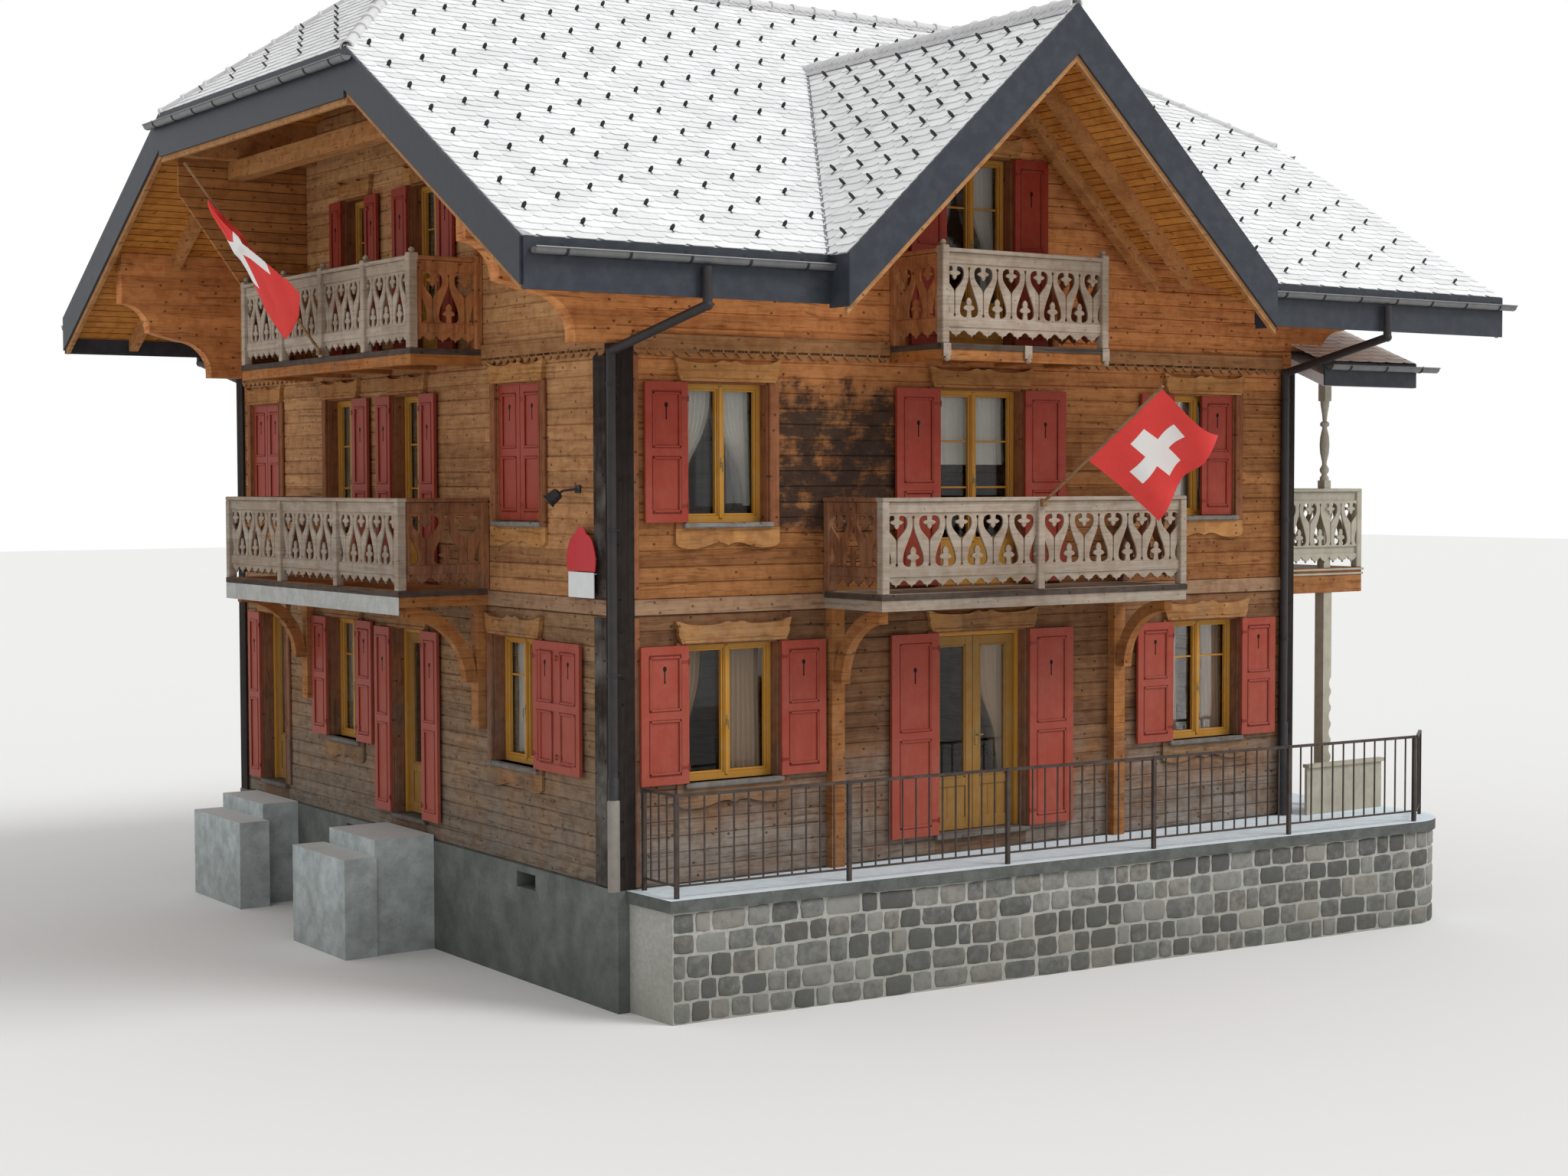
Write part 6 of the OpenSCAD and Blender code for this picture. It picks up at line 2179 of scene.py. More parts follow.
@dataclass
class DoorLeaf:
    """A glazed house door leaf with boarded foot, hinges and handle."""

    name: str
    side: Side
    start: float
    end: float
    foot: float
    head: float
    hinge_left: bool
    handle: bool = True
    stile: float = 0.095
    thick: float = 0.05

    @property
    def body(self) -> str:
        """Returns the body that the leaf moves with."""
        return f"{self.name}_leaf"

    def build(self) -> None:
        """Builds the leaf, its glass and its handle."""
        turn = self.side.matrix
        y1 = PLAN.wall
        y0 = y1 - self.thick
        z0, z1 = self.foot + 0.008, self.head - 0.071
        x0, x1, st = self.start, self.end, self.stile
        rail = z0 + 0.56
        shape = Shape()
        for low, high in (((x0, y0, z0), (x0 + st, y1, z1)), ((x1 - st, y0, z0), (x1, y1, z1)),
                          ((x0 + st, y0, z0), (x1 - st, y1, z0 + 0.13)),
                          ((x0 + st, y0, rail - 0.09), (x1 - st, y1, rail)),
                          ((x0 + st, y0, z1 - st), (x1 - st, y1, z1))):
            shape.box(low, high, 0.003, turn)
        boards = 3
        width = (x1 - x0 - 2 * st) / boards
        for i in range(boards):
            shape.box((x0 + st + i * width, y0 + 0.013, z0 + 0.125),
                      (x0 + st + (i + 1) * width, y1 - 0.013, rail - 0.085),
                      0.005, turn)
        b = 0.02
        gx0, gx1, gz0, gz1 = x0 + st, x1 - st, rail, z1 - st
        for low, high in (((gx0, y0 + 0.006, gz0), (gx0 + b, y1 - 0.006, gz1)),
                          ((gx1 - b, y0 + 0.006, gz0), (gx1, y1 - 0.006, gz1)),
                          ((gx0, y0 + 0.006, gz0), (gx1, y1 - 0.006, gz0 + b)),
                          ((gx0, y0 + 0.006, gz1 - b), (gx1, y1 - 0.006, gz1))):
            shape.box(low, high, 0.004, turn)
        # The door boards take the darkened ochre: painted shade on the door leaves.
        shape.piece(f"{self.name}_boards", OCHRE_DOOR_SHADED, body=self.body, replaces=(self.name,))
        glass = Shape()
        glass.box((gx0 + b - 0.004, y0 + 0.021, gz0 + b - 0.004),
                  (gx1 - b + 0.004, y0 + 0.027, gz1 - b + 0.004), 0.0008, turn)
        glass.piece(f"{self.name}_glass", GLASS, body=self.body)
        metal = Shape()
        hx = x0 if self.hinge_left else x1
        sign = 1 if self.hinge_left else -1
        pin = hx - sign * 0.003
        for z in (self.foot + 0.32, self.head - 0.42):
            metal.tube([turn @ Vector((pin, y1 + 0.014, z + 0.0003)),
                        turn @ Vector((pin, y1 + 0.014, z + 0.06))], 0.012, 16)
            xs = sorted((hx, hx + sign * 0.04))
            metal.box((xs[0], y1, z + 0.001), (xs[1], y1 + 0.008, z + 0.06), 0.001, turn)
        if self.handle:
            lx = x1 - 0.045 if self.hinge_left else x0 + 0.045
            z = self.foot + 1.02
            metal.box((lx - 0.018, y0 - 0.006, z - 0.11), (lx + 0.018, y0, z + 0.06), 0.004, turn)
            metal.tube([turn @ Vector(p)
                        for p in ((lx, y0 - 0.004, z), (lx, y0 - 0.045, z),
                                  (lx - sign * 0.01, y0 - 0.052, z),
                                                   (lx - sign * 0.055, y0 - 0.052, z + 0.004))], 0.0085, 10)
        metal.piece(f"{self.name}_hinges", BRASS, body=self.body, smooth=40)


def door_leaves() -> list[DoorLeaf]:
    """Returns the four house door leaves, each with a narrow gap to its frame or its neighbour.

    Returns:
        The leaves.
    """
    gap, foot, low_head = 0.006, PLAN.ground, GROUND_HEAD - SIDE_DOOR_DROP
    left, right = FRONT_DOOR
    middle = (left + right) / 2
    found = [
        DoorLeaf("front_door_left", Side.FRONT, left + FRAME_W + gap, middle - gap / 2, foot, GROUND_HEAD,
                 True, False),
        DoorLeaf("front_door_right", Side.FRONT, middle + gap / 2, right - FRAME_W - gap, foot, GROUND_HEAD,
                 False),
    ]
    for name, (start, end) in (("side_door", SIDE_DOOR), ("back_side_door", BACK_SIDE_DOOR)):
        found.append(DoorLeaf(name, Side.LEFT, start + FRAME_W + gap, end - FRAME_W - gap, foot, low_head,
                              True))
    return found


class Hang(Enum):
    """How a curtain hangs."""

    STRAIGHT = 0
    TIED_LEFT = 1
    TIED_RIGHT = 2


def woven(name: str, grid: Sequence[Sequence[Vector]], chart: Sequence[Point2]) -> Mesh:
    """Makes a cloth's mesh from rows of points.

    Args:
        name: the mesh's name.
        grid: the rows of points.
        chart: each point's place in the UV map, row by row.

    Returns:
        The mesh.
    """
    n = len(grid[0])
    mesh = bpy.data.meshes.new(name)
    mesh.from_pydata([tuple(p) for line in grid for p in line], [],
                     [(j * n + i, j * n + i + 1, (j + 1) * n + i + 1, (j + 1) * n + i)
                      for j in range(len(grid) - 1) for i in range(n - 1)])
    layer = mesh.uv_layers.new(name="cloth")
    for loop in mesh.loops:
        layer.data[loop.index].uv = chart[loop.vertex_index]
    return mesh


@dataclass
class Curtain:
    """A gathered curtain behind a window."""

    name: str
    side: Side
    start: float
    end: float
    foot: float
    head: float
    hang: Hang
    finish: Any = None
    folds: int = 7
    depth: float = 0.022
    back: float = 0.075
    body: str = "house"
    rail: str = "window_frames"

    def build(self) -> None:
        turn = self.side.matrix
        columns, rows = self.folds * 12, 40
        y = PLAN.wall + self.back
        width, height = self.end - self.start, self.head - self.foot
        grid: list[list[Vector]] = []
        for j in range(rows + 1):
            t = j / rows
            pull, shift = 1.0, 0.0
            if self.hang is not Hang.STRAIGHT:
                waist = math.exp(-((t - 0.24) / 0.34) ** 2) if t > 0.24 else 1.0
                pull = 1.0 - 0.74 * waist - 0.60 * max(0.0, 0.24 - t)
                shift = (1.0 - pull) * width
            line = []
            for i in range(columns + 1):
                s = i / columns
                across = s * pull * width
                if self.hang is Hang.TIED_RIGHT:
                    across += shift
                fold = math.sin(2 * math.pi * self.folds * s + 0.5 * math.sin(3.0 * t))
                wave = self.depth * fold * (0.75 + 0.25 * (1 - t)) + 0.006 * math.sin(5.0 * s + 4.0 * t)
                line.append(turn @ Vector((self.start + across, y + wave, self.foot + t * height)))
            grid.append(line)
        wide = self.developed(grid[rows])
        mesh = woven(self.name, grid, [(i / columns * wide, j / rows * height)
                                       for j in range(rows + 1) for i in range(columns + 1)])
        cloth = piece(self.name, mesh, self.finish, body=self.body, smooth=80)

    @staticmethod
    def developed(line: Sequence[Vector]) -> float:
        """Returns the length of a line of points."""
        return sum((b - a).length for a, b in zip(line[:-1], line[1:]))


def curtains() -> list[Curtain]:
    """Returns the curtains that show behind the glass.

    Returns:
        The curtains.
    """
    p = PLAN
    s1, h1, s2, h2 = GROUND_SILL, GROUND_HEAD, FIRST_SILL, FIRST_HEAD
    front = Side.FRONT
    found = [
        Curtain("bedroom_curtain_left", front, 0.84, 1.25, s2 + 0.16, h2 - 0.04, Hang.TIED_LEFT, LACE),
        Curtain("bedroom_curtain_right", front, 1.27, 1.70, s2 + 0.16, h2 - 0.04, Hang.TIED_RIGHT, LACE),
        Curtain("landing_curtain", front, 3.98, 5.03, p.first + 1.3, h2 - 0.04, Hang.STRAIGHT, LACE, 14,
                0.014),
        Curtain("parlour_curtain_left", front, 0.84, 1.12, s1 + 0.03, h1 - 0.04, Hang.TIED_LEFT, DRAPE, 5),
        Curtain("parlour_curtain_right", front, 1.38, 1.82, s1 + 0.03, h1 - 0.04, Hang.STRAIGHT, DRAPE, 7),
        Curtain("hall_curtain", front, 4.62, 5.0, p.ground + 0.56, h1 - 0.12, Hang.TIED_RIGHT, DRAPE, 6,
                0.010, 0.024,
                "front_door_right_leaf", "front_door_right_boards"),
        Curtain("kitchen_curtain_left", front, 7.36, 7.66, s1 + 0.03, h1 - 0.04, Hang.STRAIGHT, DRAPE, 5),
        Curtain("kitchen_curtain_right", front, 8.05, 8.34, s1 + 0.03, h1 - 0.04, Hang.STRAIGHT, DRAPE, 5),
        Curtain("guest_curtain", front, 7.36, 7.76, s2 + 0.03, h2 - 0.04, Hang.STRAIGHT, LACE, 6),
        Curtain("attic_curtain_left", front, 4.05, 4.36, p.attic + 0.62, p.attic + 2.0, Hang.TIED_LEFT,
                LACE, 5),
        Curtain("attic_curtain_right", front, 4.52, 4.90, p.attic + 0.62, p.attic + 2.0, Hang.TIED_RIGHT,
                LACE, 5),
    ]
    for gap in all_openings():
        if gap.side is Side.FRONT or gap.kind is Kind.HOUSE_DOOR or gap.left is Leaf.CLOSED:
            continue
        label = f"{gap.side.name.lower()}_{round(gap.start * 100)}_{round(gap.foot * 100)}"
        foot = gap.glass_foot
        found.append(Curtain(f"{label}_curtain", gap.side, gap.start + 0.01, gap.end - 0.01, foot + 0.02,
                             gap.head - 0.02, Hang.STRAIGHT, LACE, 11, 0.018))
    return found


@dataclass
class Shutterware:
    """Keyholes and panel groove lines drawn as painted shade, with the panels and strap hinges of the board
    shutters.
    """

    def leaves(self) -> list[tuple[Side, float, float, float, float, float]]:
        """Returns each leaf's wall, ends, foot, head and face depth.

        Returns:
            One row for each leaf.
        """
        found = []
        for gap in all_openings():
            w = (gap.end - gap.start) / 2 - 0.006
            foot = gap.foot + (0.008 if gap.kind is Kind.WINDOW else 0.012)
            head = gap.head - 0.012
            out, shut = -PLAN.casing_out - PLAN.shutter, 0.012
            if gap.left is Leaf.OPEN:
                found.append((gap.side, gap.start - w, gap.start, foot, head, out))
            if gap.right in (Leaf.OPEN, Leaf.OPEN_WIDE):
                found.append((gap.side, gap.end, gap.end + w, foot, head, out))
            if gap.right is Leaf.OPEN_WIDE:
                found.append((gap.side, gap.end + w, gap.end + 2 * w, foot, head, out))
            if gap.left is Leaf.CLOSED:
                found.append((gap.side, gap.start, gap.start + w, foot, head, shut))
            if gap.left is Leaf.CLOSED or gap.right is Leaf.CLOSED_ALONE:
                found.append((gap.side, gap.end - w, gap.end, foot, head, shut))
        return found

    def build(self) -> None:
        """Builds the fittings of every leaf."""
        dark, groove_shade, paint, metal = Shape(), Shape(), Shape(), Shape()
        for side, x0, x1, z0, z1, y in self.leaves():
            turn, m, h = side.matrix, (x0 + x1) / 2, z1 - z0
            # Each keyhole is a flat near-black shape on the shutter's face: painted shade where the hole is.
            key, skin = z0 + h * 0.80, (-y - 0.0105, -y - 0.0088)
            ring = [(m + 0.021 * math.cos(a), key + 0.05 + 0.026 * math.sin(a))
                    for a in (2 * math.pi * k / 14 for k in range(14))]
            dark.prism(ring, *skin, turn @ FLAT_BOARD)
            dark.prism([(m - 0.007, key - 0.08), (m + 0.007, key - 0.08), (m + 0.007, key + 0.03),
                        (m - 0.007, key + 0.03)], *skin, turn @ FLAT_BOARD)
            dark.prism([(m + 0.010 * math.cos(a), key - 0.084 + 0.010 * math.sin(a))
                        for a in (2 * math.pi * k / 10 for k in range(10))], *skin, turn @ FLAT_BOARD)
            w = x1 - x0
            mid = z0 + 0.5 * h
            for low, high in ((z0 + 0.10, mid - 0.045), (mid + 0.045, z1 - 0.10)):
                a, b = x0 + 0.17 * w, x1 - 0.17 * w
                for left, right, foot, head in ((a, a + 0.022, low, high), (b - 0.022, b, low, high),
                                                (a, b, low, low + 0.022), (a, b, high - 0.022, high)):
                    paint.box((left, y - 0.0075, foot), (right, y + 0.002, head), 0.005, turn)
                # Thin dark red strips round each panel: painted shade lines where the panel edges throw
                # shadow.
                for left, right, foot, head in ((a - 0.007, a - 0.001, low - 0.007, high + 0.007),
                                                (b + 0.001, b + 0.007, low - 0.007, high + 0.007),
                                                (a, b, low - 0.007, low - 0.001),
                                                (a, b, high + 0.001, high + 0.007)):
                    groove_shade.box((left, y - 0.0012, foot), (right, y + 0.001, head), 0.0003, turn)
            outer = abs(y) > 0.05
            hinge = x1 if outer and self.near_opening(side, x1) else x0
            sign = -1 if hinge == x1 else 1
            for z in (z0 + 0.16, z1 - 0.16):
                a, b = sorted((hinge, hinge + sign * 0.11))
                metal.box((a, y - 0.004, z - 0.014), (b, y + 0.001, z + 0.014), 0.0015, turn)
                metal.tube([turn @ Vector((hinge, y - 0.001, z - 0.028)),
                            turn @ Vector((hinge, y - 0.001, z + 0.028))], 0.009, 10)
        dark.piece("shutter_keyholes", SHADOW)
        groove_shade.piece("shutter_grooves", RED_SHADE)
        paint.piece("shutter_ledges", RED)
        metal.piece("shutter_hinges", RED_IRON, smooth=40)

    @staticmethod
    def near_opening(side: Side, x: float) -> bool:
        """Returns whether a leaf's right edge is the one beside its opening."""
        return any(gap.side is side and abs(gap.start - x) < 0.01 for gap in all_openings())


@dataclass
class Masonry:
    """Rubble stones laid in courses over the terrace wall."""

    joint: float = 0.013
    proud: float = 0.013

    def stone(self, shape: Shape, tones: list[float], draw: Random,
              place: Callable[[float, float, float], Vector],
              s0: float, s1: float, z0: float, z1: float, lift: float) -> None:
        """Adds one stone with uneven edges and a rounded face.

        Args:
            shape: collects the stones.
            tones: collects one tone for each point.
            draw: random numbers.
            place: gives the point at a length, height and depth.
            s0: where it starts.
            s1: where it ends.
            z0: its foot.
            z1: its head.
            lift: how far its face stands out.
        """
        tone = 0.5 + (draw.random() - 0.5) * 0.75
        w, h = s1 - s0, z1 - z0
        ring: list[Point2] = []
        for k in range(12):
            a = 2 * math.pi * (k + 0.5) / 12
            c, s = math.cos(a), math.sin(a)
            r = 1.0 / max(abs(c) ** 9 + abs(s) ** 9, 1e-6) ** (1 / 9)
            jitter = 1.0 + draw.uniform(-0.075, 0.015)
            ring.append((c * r * w / 2 * jitter, s * r * h / 2 * jitter))
        cs, cz = (s0 + s1) / 2, (z0 + z1) / 2
        tilt_s, tilt_z = draw.uniform(-0.1, 0.1), draw.uniform(-0.12, 0.12)
        points: list[Vector] = []
        for size, out in ((1.0, -0.012), (0.97, lift * 0.35), (0.86, lift), (0.45, lift * 1.25)):
            for u, v in ring:
                rough = draw.uniform(-0.0022, 0.0022) if size < 0.95 else 0.0
                points.append(place(cs + u * size, cz + v * size,
                                    out + rough + (tilt_s * u / w + tilt_z * v / h) * 0.03
                                    * (1 if size < 0.98 else 0)))
        faces: list[tuple[int, ...]] = []
        for j in range(3):
            faces += [(j * 12 + i, j * 12 + (i + 1) % 12, (j + 1) * 12 + (i + 1) % 12, (j + 1) * 12 + i)
                      for i in range(12)]
        faces += [tuple(36 + i for i in range(12)), tuple(range(11, -1, -1))]
        shape.add(points, faces)
        tones += [tone] * len(points)

    def course_run(self, name: str, length: float, height: float,
                   place: Callable[[float, float, float], Vector],
                   seed: int, courses: int) -> None:
        """Fills one face with stones.

        Args:
            name: the piece's name.
            length: the face's length.
            height: its height.
            place: gives the point at a length, height and depth.
            seed: for the random sizes.
            courses: how many rows.
        """
        draw = Random(seed)
        heights = [draw.uniform(0.8, 1.2) for _ in range(courses)]
        total = sum(heights)
        shape, tones = Shape(), []
        z = 0.0
        for share in heights:
            h = share / total * height
            s = draw.uniform(-0.15, 0.0)
            while s < length:
                w = draw.choice((0.19, 0.24, 0.28, 0.33, 0.40)) * draw.uniform(0.88, 1.12)
                a, b = max(s, 0.0), min(s + w, length)
                if b - a > 0.09:
                    j = self.joint / 2
                    split = h > 0.25 and draw.random() < 0.25
                    for low, high in (((z, z + h / 2), (z + h / 2, z + h)) if split else ((z, z + h),)):
                        self.stone(shape, tones, draw, place, a + j, b - j, low + j, high - j,
                                   self.proud * draw.uniform(0.45, 1.0))
                s += w
            z += h
        mesh = shape.mesh(name, recalculate=False)
        own = mesh.attributes.new("tone", "FLOAT", "POINT")
        own.data.foreach_set("value", tones)
        piece(name, mesh, STONE, smooth=50)

    def terrace(self) -> None:
        """Lays the stones along the terrace's front, round its corner and up its side."""
        p = PLAN
        centre, r = Vector((p.width + 0.70, -0.722)), 0.65
        start, end = Vector((0.13, -0.76)), Vector((p.width + 0.70, -1.372))
        straight, bend, side = (end - start).length, r * math.pi / 2, 0.722 + 2.79
        way = (end - start).normalized()

        def place(s: float, z: float, out: float) -> Vector:
            """Returns the point along the face.

            Args:
                s: the length along the face.
                z: the height.
                out: how far out of the face.

            Returns:
                The point.
            """
            if s < straight:
                at, facing = start + way * s, Vector((way.y, -way.x))
            elif s < straight + bend:
                angle = -math.pi / 2 + (s - straight) / r
                facing = Vector((math.cos(angle), math.sin(angle)))
                at = centre + facing * r
            else:
                at, facing = Vector((centre.x + r, centre.y + s - straight - bend)), Vector((1.0, 0.0))
            at = at + facing * out
            return Vector((at.x, at.y, max(0.004, z + 0.009 * math.sin(2.3 * s + 4.0 * z))))

        self.course_run("terrace_stones", straight + bend + side, p.plinth - 0.12, place, 11, 5)


@dataclass
class Gutters:
    """Half-round gutters with rolled edges, their brackets, and the collars and feet of the downpipes."""

    radius: float = 0.055
    sheet: float = 0.003

    def profile(self) -> list[Point2]:
        """Returns the trough's cross-section, Y outwards and Z up, as a closed outline.

        Returns:
            The outline's points.
        """
        r, t = self.radius, self.sheet
        bead = [(r + 0.007 + x, 0.004 + z) for x, z in arc(0.008, -150, 300, 8)]
        return arc(r, 180, 180, 14) + bead + arc(r - t, 360, -180, 14)

    def run(self, shape: Shape, brackets: Shape, start: Vector, along: Vector, out: Vector,
            length: float) -> None:
        """Adds one gutter.

        Args:
            shape: collects the troughs.
            brackets: collects the brackets.
            start: its start, at the centre of the trough's top.
            along: its direction.
            out: its outward direction.
            length: its length.
        """
        ring = self.profile()
        up = Vector((0, 0, 1))
        shape.loft([[start + along * s + out * y + up * z for y, z in ring] for s in (0.0, length)])
        r = self.radius
        for s in (0.0, length - 0.004):
            shape.loft([[start + along * (s + k) + out * y + up * z for y, z in arc(r, 180, 180, 14)]
                        for k in (0.0, 0.004)])
        count = max(2, round(length / 0.62))
        for i in range(count):
            s = (i + 0.5) * length / count
            at = start + along * s
            path = [at + out * (-r - 0.004) + up * 0.05]
            path += [at + out * y + up * z for y, z in arc(r + 0.005, 180, 180, 8)]
            path += [at + out * (r + 0.012) + up * 0.016]
            for a, b in zip(path[:-1], path[1:]):
                normal = (b - a).cross(along).normalized() * 0.002
                side = along * 0.013
                brackets.add([a - side - normal, a + side - normal, a + side + normal, a - side + normal,
                              b - side - normal, b + side - normal, b + side + normal, b - side + normal],
                             BLOCK_FACES)

    def build(self) -> None:
        """Builds every gutter and its brackets."""
        p = PLAN
        z, off = p.eave - 0.10, 0.03 + self.radius + 0.004
        shape, brackets = Shape(), Shape()
        left, right = p.gable_x - p.gable_half, p.gable_x + p.gable_half
        x, y, fy = Vector((1, 0, 0)), Vector((0, 1, 0)), p.depth - p.hip_y
        for start, along, out, length in (
            (Vector((p.left + 0.06, p.near - off, z)), x, -y, left - p.left - 0.065),
            (Vector((right + 0.06, p.near - off, z)), x, -y, p.right - right + 0.06),
            (Vector((p.left, p.far + off, z)), x, y, p.right - p.left),
            (Vector((p.left - off, p.hip_y - 0.2, p.hip_foot - 0.12)), y, -x, fy - p.hip_y + 0.4),
            (Vector((p.right + off, p.hip_y - 0.2, p.hip_foot - 0.12)), y, x, fy - p.hip_y + 0.4),
        ):
            self.run(shape, brackets, start, along, out, length)
        shape.piece("half_round_gutters", ZINC, replaces=("gutters",), smooth=30)
        brackets.piece("gutter_brackets", HOOK_METAL)
        collars = Shape()
        for cx, cy in ((-0.087, -0.045), (p.width - 0.19, -0.087), (0.19, p.depth + 0.087),
                       (p.width - 0.19, p.depth + 0.087)):
            for z in (1.9, 3.3, 4.7, 6.1):
                collars.tube([Vector((cx, cy, z - 0.02)), Vector((cx, cy, z + 0.02))], 0.050, 20)
                wall = Vector((1, 0, 0)) if cx < 0 else Vector((0, 1 if cy < 0 else -1, 0))
                collars.tube([Vector((cx, cy, z)) + wall * 0.048, Vector((cx, cy, z)) + wall * 0.086],
                             0.007, 8)
            collars.tube([Vector((cx, cy, 1.203)), Vector((cx, cy, 2.30)), Vector((cx, cy, 2.31))],
                         [0.053, 0.053, 0.046], 20)
        collars.piece("pipe_collars", HOOK_METAL, smooth=40)


@dataclass
class Bands:
    """The string courses and the toothed band under the attic, clear of the corner boards."""

    string_foot: float = 3.865
    string_head: float = 4.02
    band_foot: float = 6.435
    band_head: float = 6.61
    tooth: float = 0.15
    corner: float = 0.172

    def tooth_mesh(self, pitch: float) -> Mesh:
        """Returns one rounded tooth hanging from the band, X 0 to the pitch.

        Args:
            pitch: its width.

        Returns:
            The mesh.
        """
        outline = smooth_curve([(0.0, 0.0), (0.012, -0.012), (0.035, -0.036), (0.060, -0.044),
                                (0.085, -0.036),
                                (0.108, -0.012), (0.12, 0.0)], 2) + [(0.12, 0.0)]
        ring = [(x / 0.12 * pitch * 0.86 + pitch * 0.07, z) for x, z in outline] + [(pitch * 0.93, 0.03),
                                                                                    (pitch * 0.07, 0.03)]
        return sawn_board("tooth", ring, [], 0.03)

    def build(self) -> None:
        """Builds the bands of the four walls."""
        for side in Side:
            length, turn = side.length, side.matrix
            shape, string = Shape(), Shape()
            string.box((self.corner, -0.022, self.string_foot),
                       (length - self.corner, 0.0, self.string_head), 0.006, turn)
            string.piece(f"{side.name.lower()}_string", STRING)
            for a, b in self.clear_runs(side, length):
                shape.box((a, -0.034, self.band_foot), (b, 0.0, self.band_head - 0.02), 0.006, turn)
                shape.box((a, -0.046, self.band_head - 0.035), (b, 0.0, self.band_head), 0.010, turn)
            parts = [shape.mesh("bands")]
            for a, b in self.clear_runs(side, length):
                count = max(2, round((b - a) / self.tooth))
                row = Repeater.rows("teeth", self.tooth_mesh((b - a) / count), BAND, columns=count, rows=1,
                                    column_step=(b - a) / count, lean=0.0)
                row.transform(turn @ Matrix.Translation((a, -0.019, self.band_foot)))
                parts.append(row)
            piece(f"{side.name.lower()}_bands", joined(parts, "bands"), BAND)

    def clear_runs(self, side: Side, length: float) -> list[Point2]:
        """Returns the stretches of the band, broken by the attic's decks and doors.

        Args:
            side: the wall.
            length: the wall's length.

        Returns:
            The start and end of each stretch.
        """
        first, last = self.corner, length - self.corner
        if side is Side.LEFT:
            return [(first, PLAN.depth - ATTIC_DECK_Y - ATTIC_DECK_W - 0.01),
                    (PLAN.depth - ATTIC_DECK_Y + 0.01, last)]
        if side is Side.FRONT:
            return [(first, 3.28), (GABLE_DECK_X + GABLE_DECK_W + 0.01, last)]
        return [(first, last)]


@dataclass
class Flag:
    """A square flag that hangs from a slanting pole, folded by the wind."""

    name: str
    foot: Vector
    way: Vector
    lift: float
    hoist: float
    fly: Vector
    length: float
    waves: float
    swing: float
    droop: float

    def build(self, replaces: Sequence[str] = ()) -> None:
        """Args:
            replaces: solid parts that it stands for.
        """
        n = 56
        way, fly = self.way.normalized(), self.fly.normalized()
        out = way.cross(fly).normalized()
        under = -(out.cross(way)).normalized()
        if under.z > 0:
            under = -under
        start = self.foot + way * self.lift + under * 0.0185
        grid = []
        for j in range(n + 1):
            grid.append([])
            for i in range(n + 1):
                u, v = i / n, j / n
                along = way * (u * self.hoist)
                reach = fly * (v * self.length * (1 - 0.22 * u * v))
                phase = self.waves * math.pi * (v * 0.45 + u * 1.15)
                wave = out * (self.swing * v ** 0.7 * (0.45 + 0.75 * u) * math.sin(phase + 0.6))
                sag = Vector((0, 0, -1)) * (self.droop * v * v * (1 - 0.4 * u))
                ripple = way * (-0.35 * self.swing * v * math.cos(phase * 0.8))
                grid[j].append(start + along + reach + wave + sag + ripple)
        mesh = woven(self.name, grid, [(i / n, j / n) for j in range(n + 1) for i in range(n + 1)])
        cloth = piece(self.name, mesh, RED_CLOTH, replaces=replaces, smooth=80)


@dataclass
class SlackFlag:
    """A square flag gathered along its slanting pole, its lower corner hanging free."""

    name: str
    foot: Vector
    way: Vector
    across: Vector
    side: float
    edges: tuple[tuple[float, float, float], ...]
    gathers: tuple[Point2, ...] = ((0.0, 2.06), (0.405, 1.52), (0.595, 1.36), (0.7075, 0.98), (1.0, 0.36))
    layer: float = 0.014
    pole: float = 0.0185

    def along(self, share: float) -> float:
        """Returns how far up the pole a share of the cloth's diagonal lies, by the gathers.

        Args:
            share: how far down the diagonal, from nought to one.

        Returns:
            The distance up the pole.
        """
        for (d0, s0), (d1, s1) in zip(self.gathers, self.gathers[1:]):
            if share <= d1:
                return s0 + (s1 - s0) * (share - d0) / (d1 - d0)
        return self.gathers[-1][1]

    def edge(self, at: float) -> tuple[float, float]:
        """Returns the left and right edge at a distance along the pole.

        Args:
            at: the distance along the pole.

        Returns:
            The two edges, measured across the pole.
        """
        for (s0, l0, r0), (s1, l1, r1) in zip(self.edges, self.edges[1:]):
            if at >= s1 or s1 == self.edges[-1][0]:
                t = min(max((s0 - at) / (s0 - s1), 0.0), 1.0)
                t = t * t * (3 - 2 * t) * 0.4 + t * 0.6
                return l0 + (l1 - l0) * t, r0 + (r1 - r0) * t
        return self.edges[-1][1:]

    def build(self, replaces: Sequence[str] = ()) -> None:
        """Args:
            replaces: solid parts that it stands for.
        """
        n = 72
        way, across = self.way.normalized(), self.across.normalized()
        front = across.cross(way).normalized()
        if front.dot(Vector((-0.57, -0.82, 0.05))) < 0:
            front = -front
        grid, chart = [], []
        for j in range(n + 1):
            grid.append([])
            d = 0.015 + 0.97 * j / n
            s = self.along(d)
            left, right = self.edge(s)
            half, centre = (right - left) / 2, (right + left) / 2
            wide = math.sqrt(2) * (0.5 - abs(d - 0.5))
            for i in range(n + 1):
                w = wide * (2 * i / n - 1)
                turns = w * self.side / half
                fold = 2 / math.pi * math.asin(0.985 * math.sin(turns * math.pi / 2))
                if wide * self.side < half:
                    fold = (2 * i / n - 1)
                depth = self.pole + self.layer * (wide * self.side / half
                                                  - abs(turns)) + 0.03 * half * (1 - fold * fold)
                ripple = 0.012 * math.sin(9.0 * d + 3.0 * fold) * min(1.0, 4 * (1 - d))
                lift = front * (max(depth, self.pole) + abs(ripple))
                grid[j].append(self.foot + way * s + across * (centre + half * fold) + lift)
                chart.append((d + w / math.sqrt(2), d - w / math.sqrt(2)))
        mesh = woven(self.name, grid, chart)
        cloth = piece(self.name, mesh, RED_CLOTH, replaces=replaces, smooth=80)


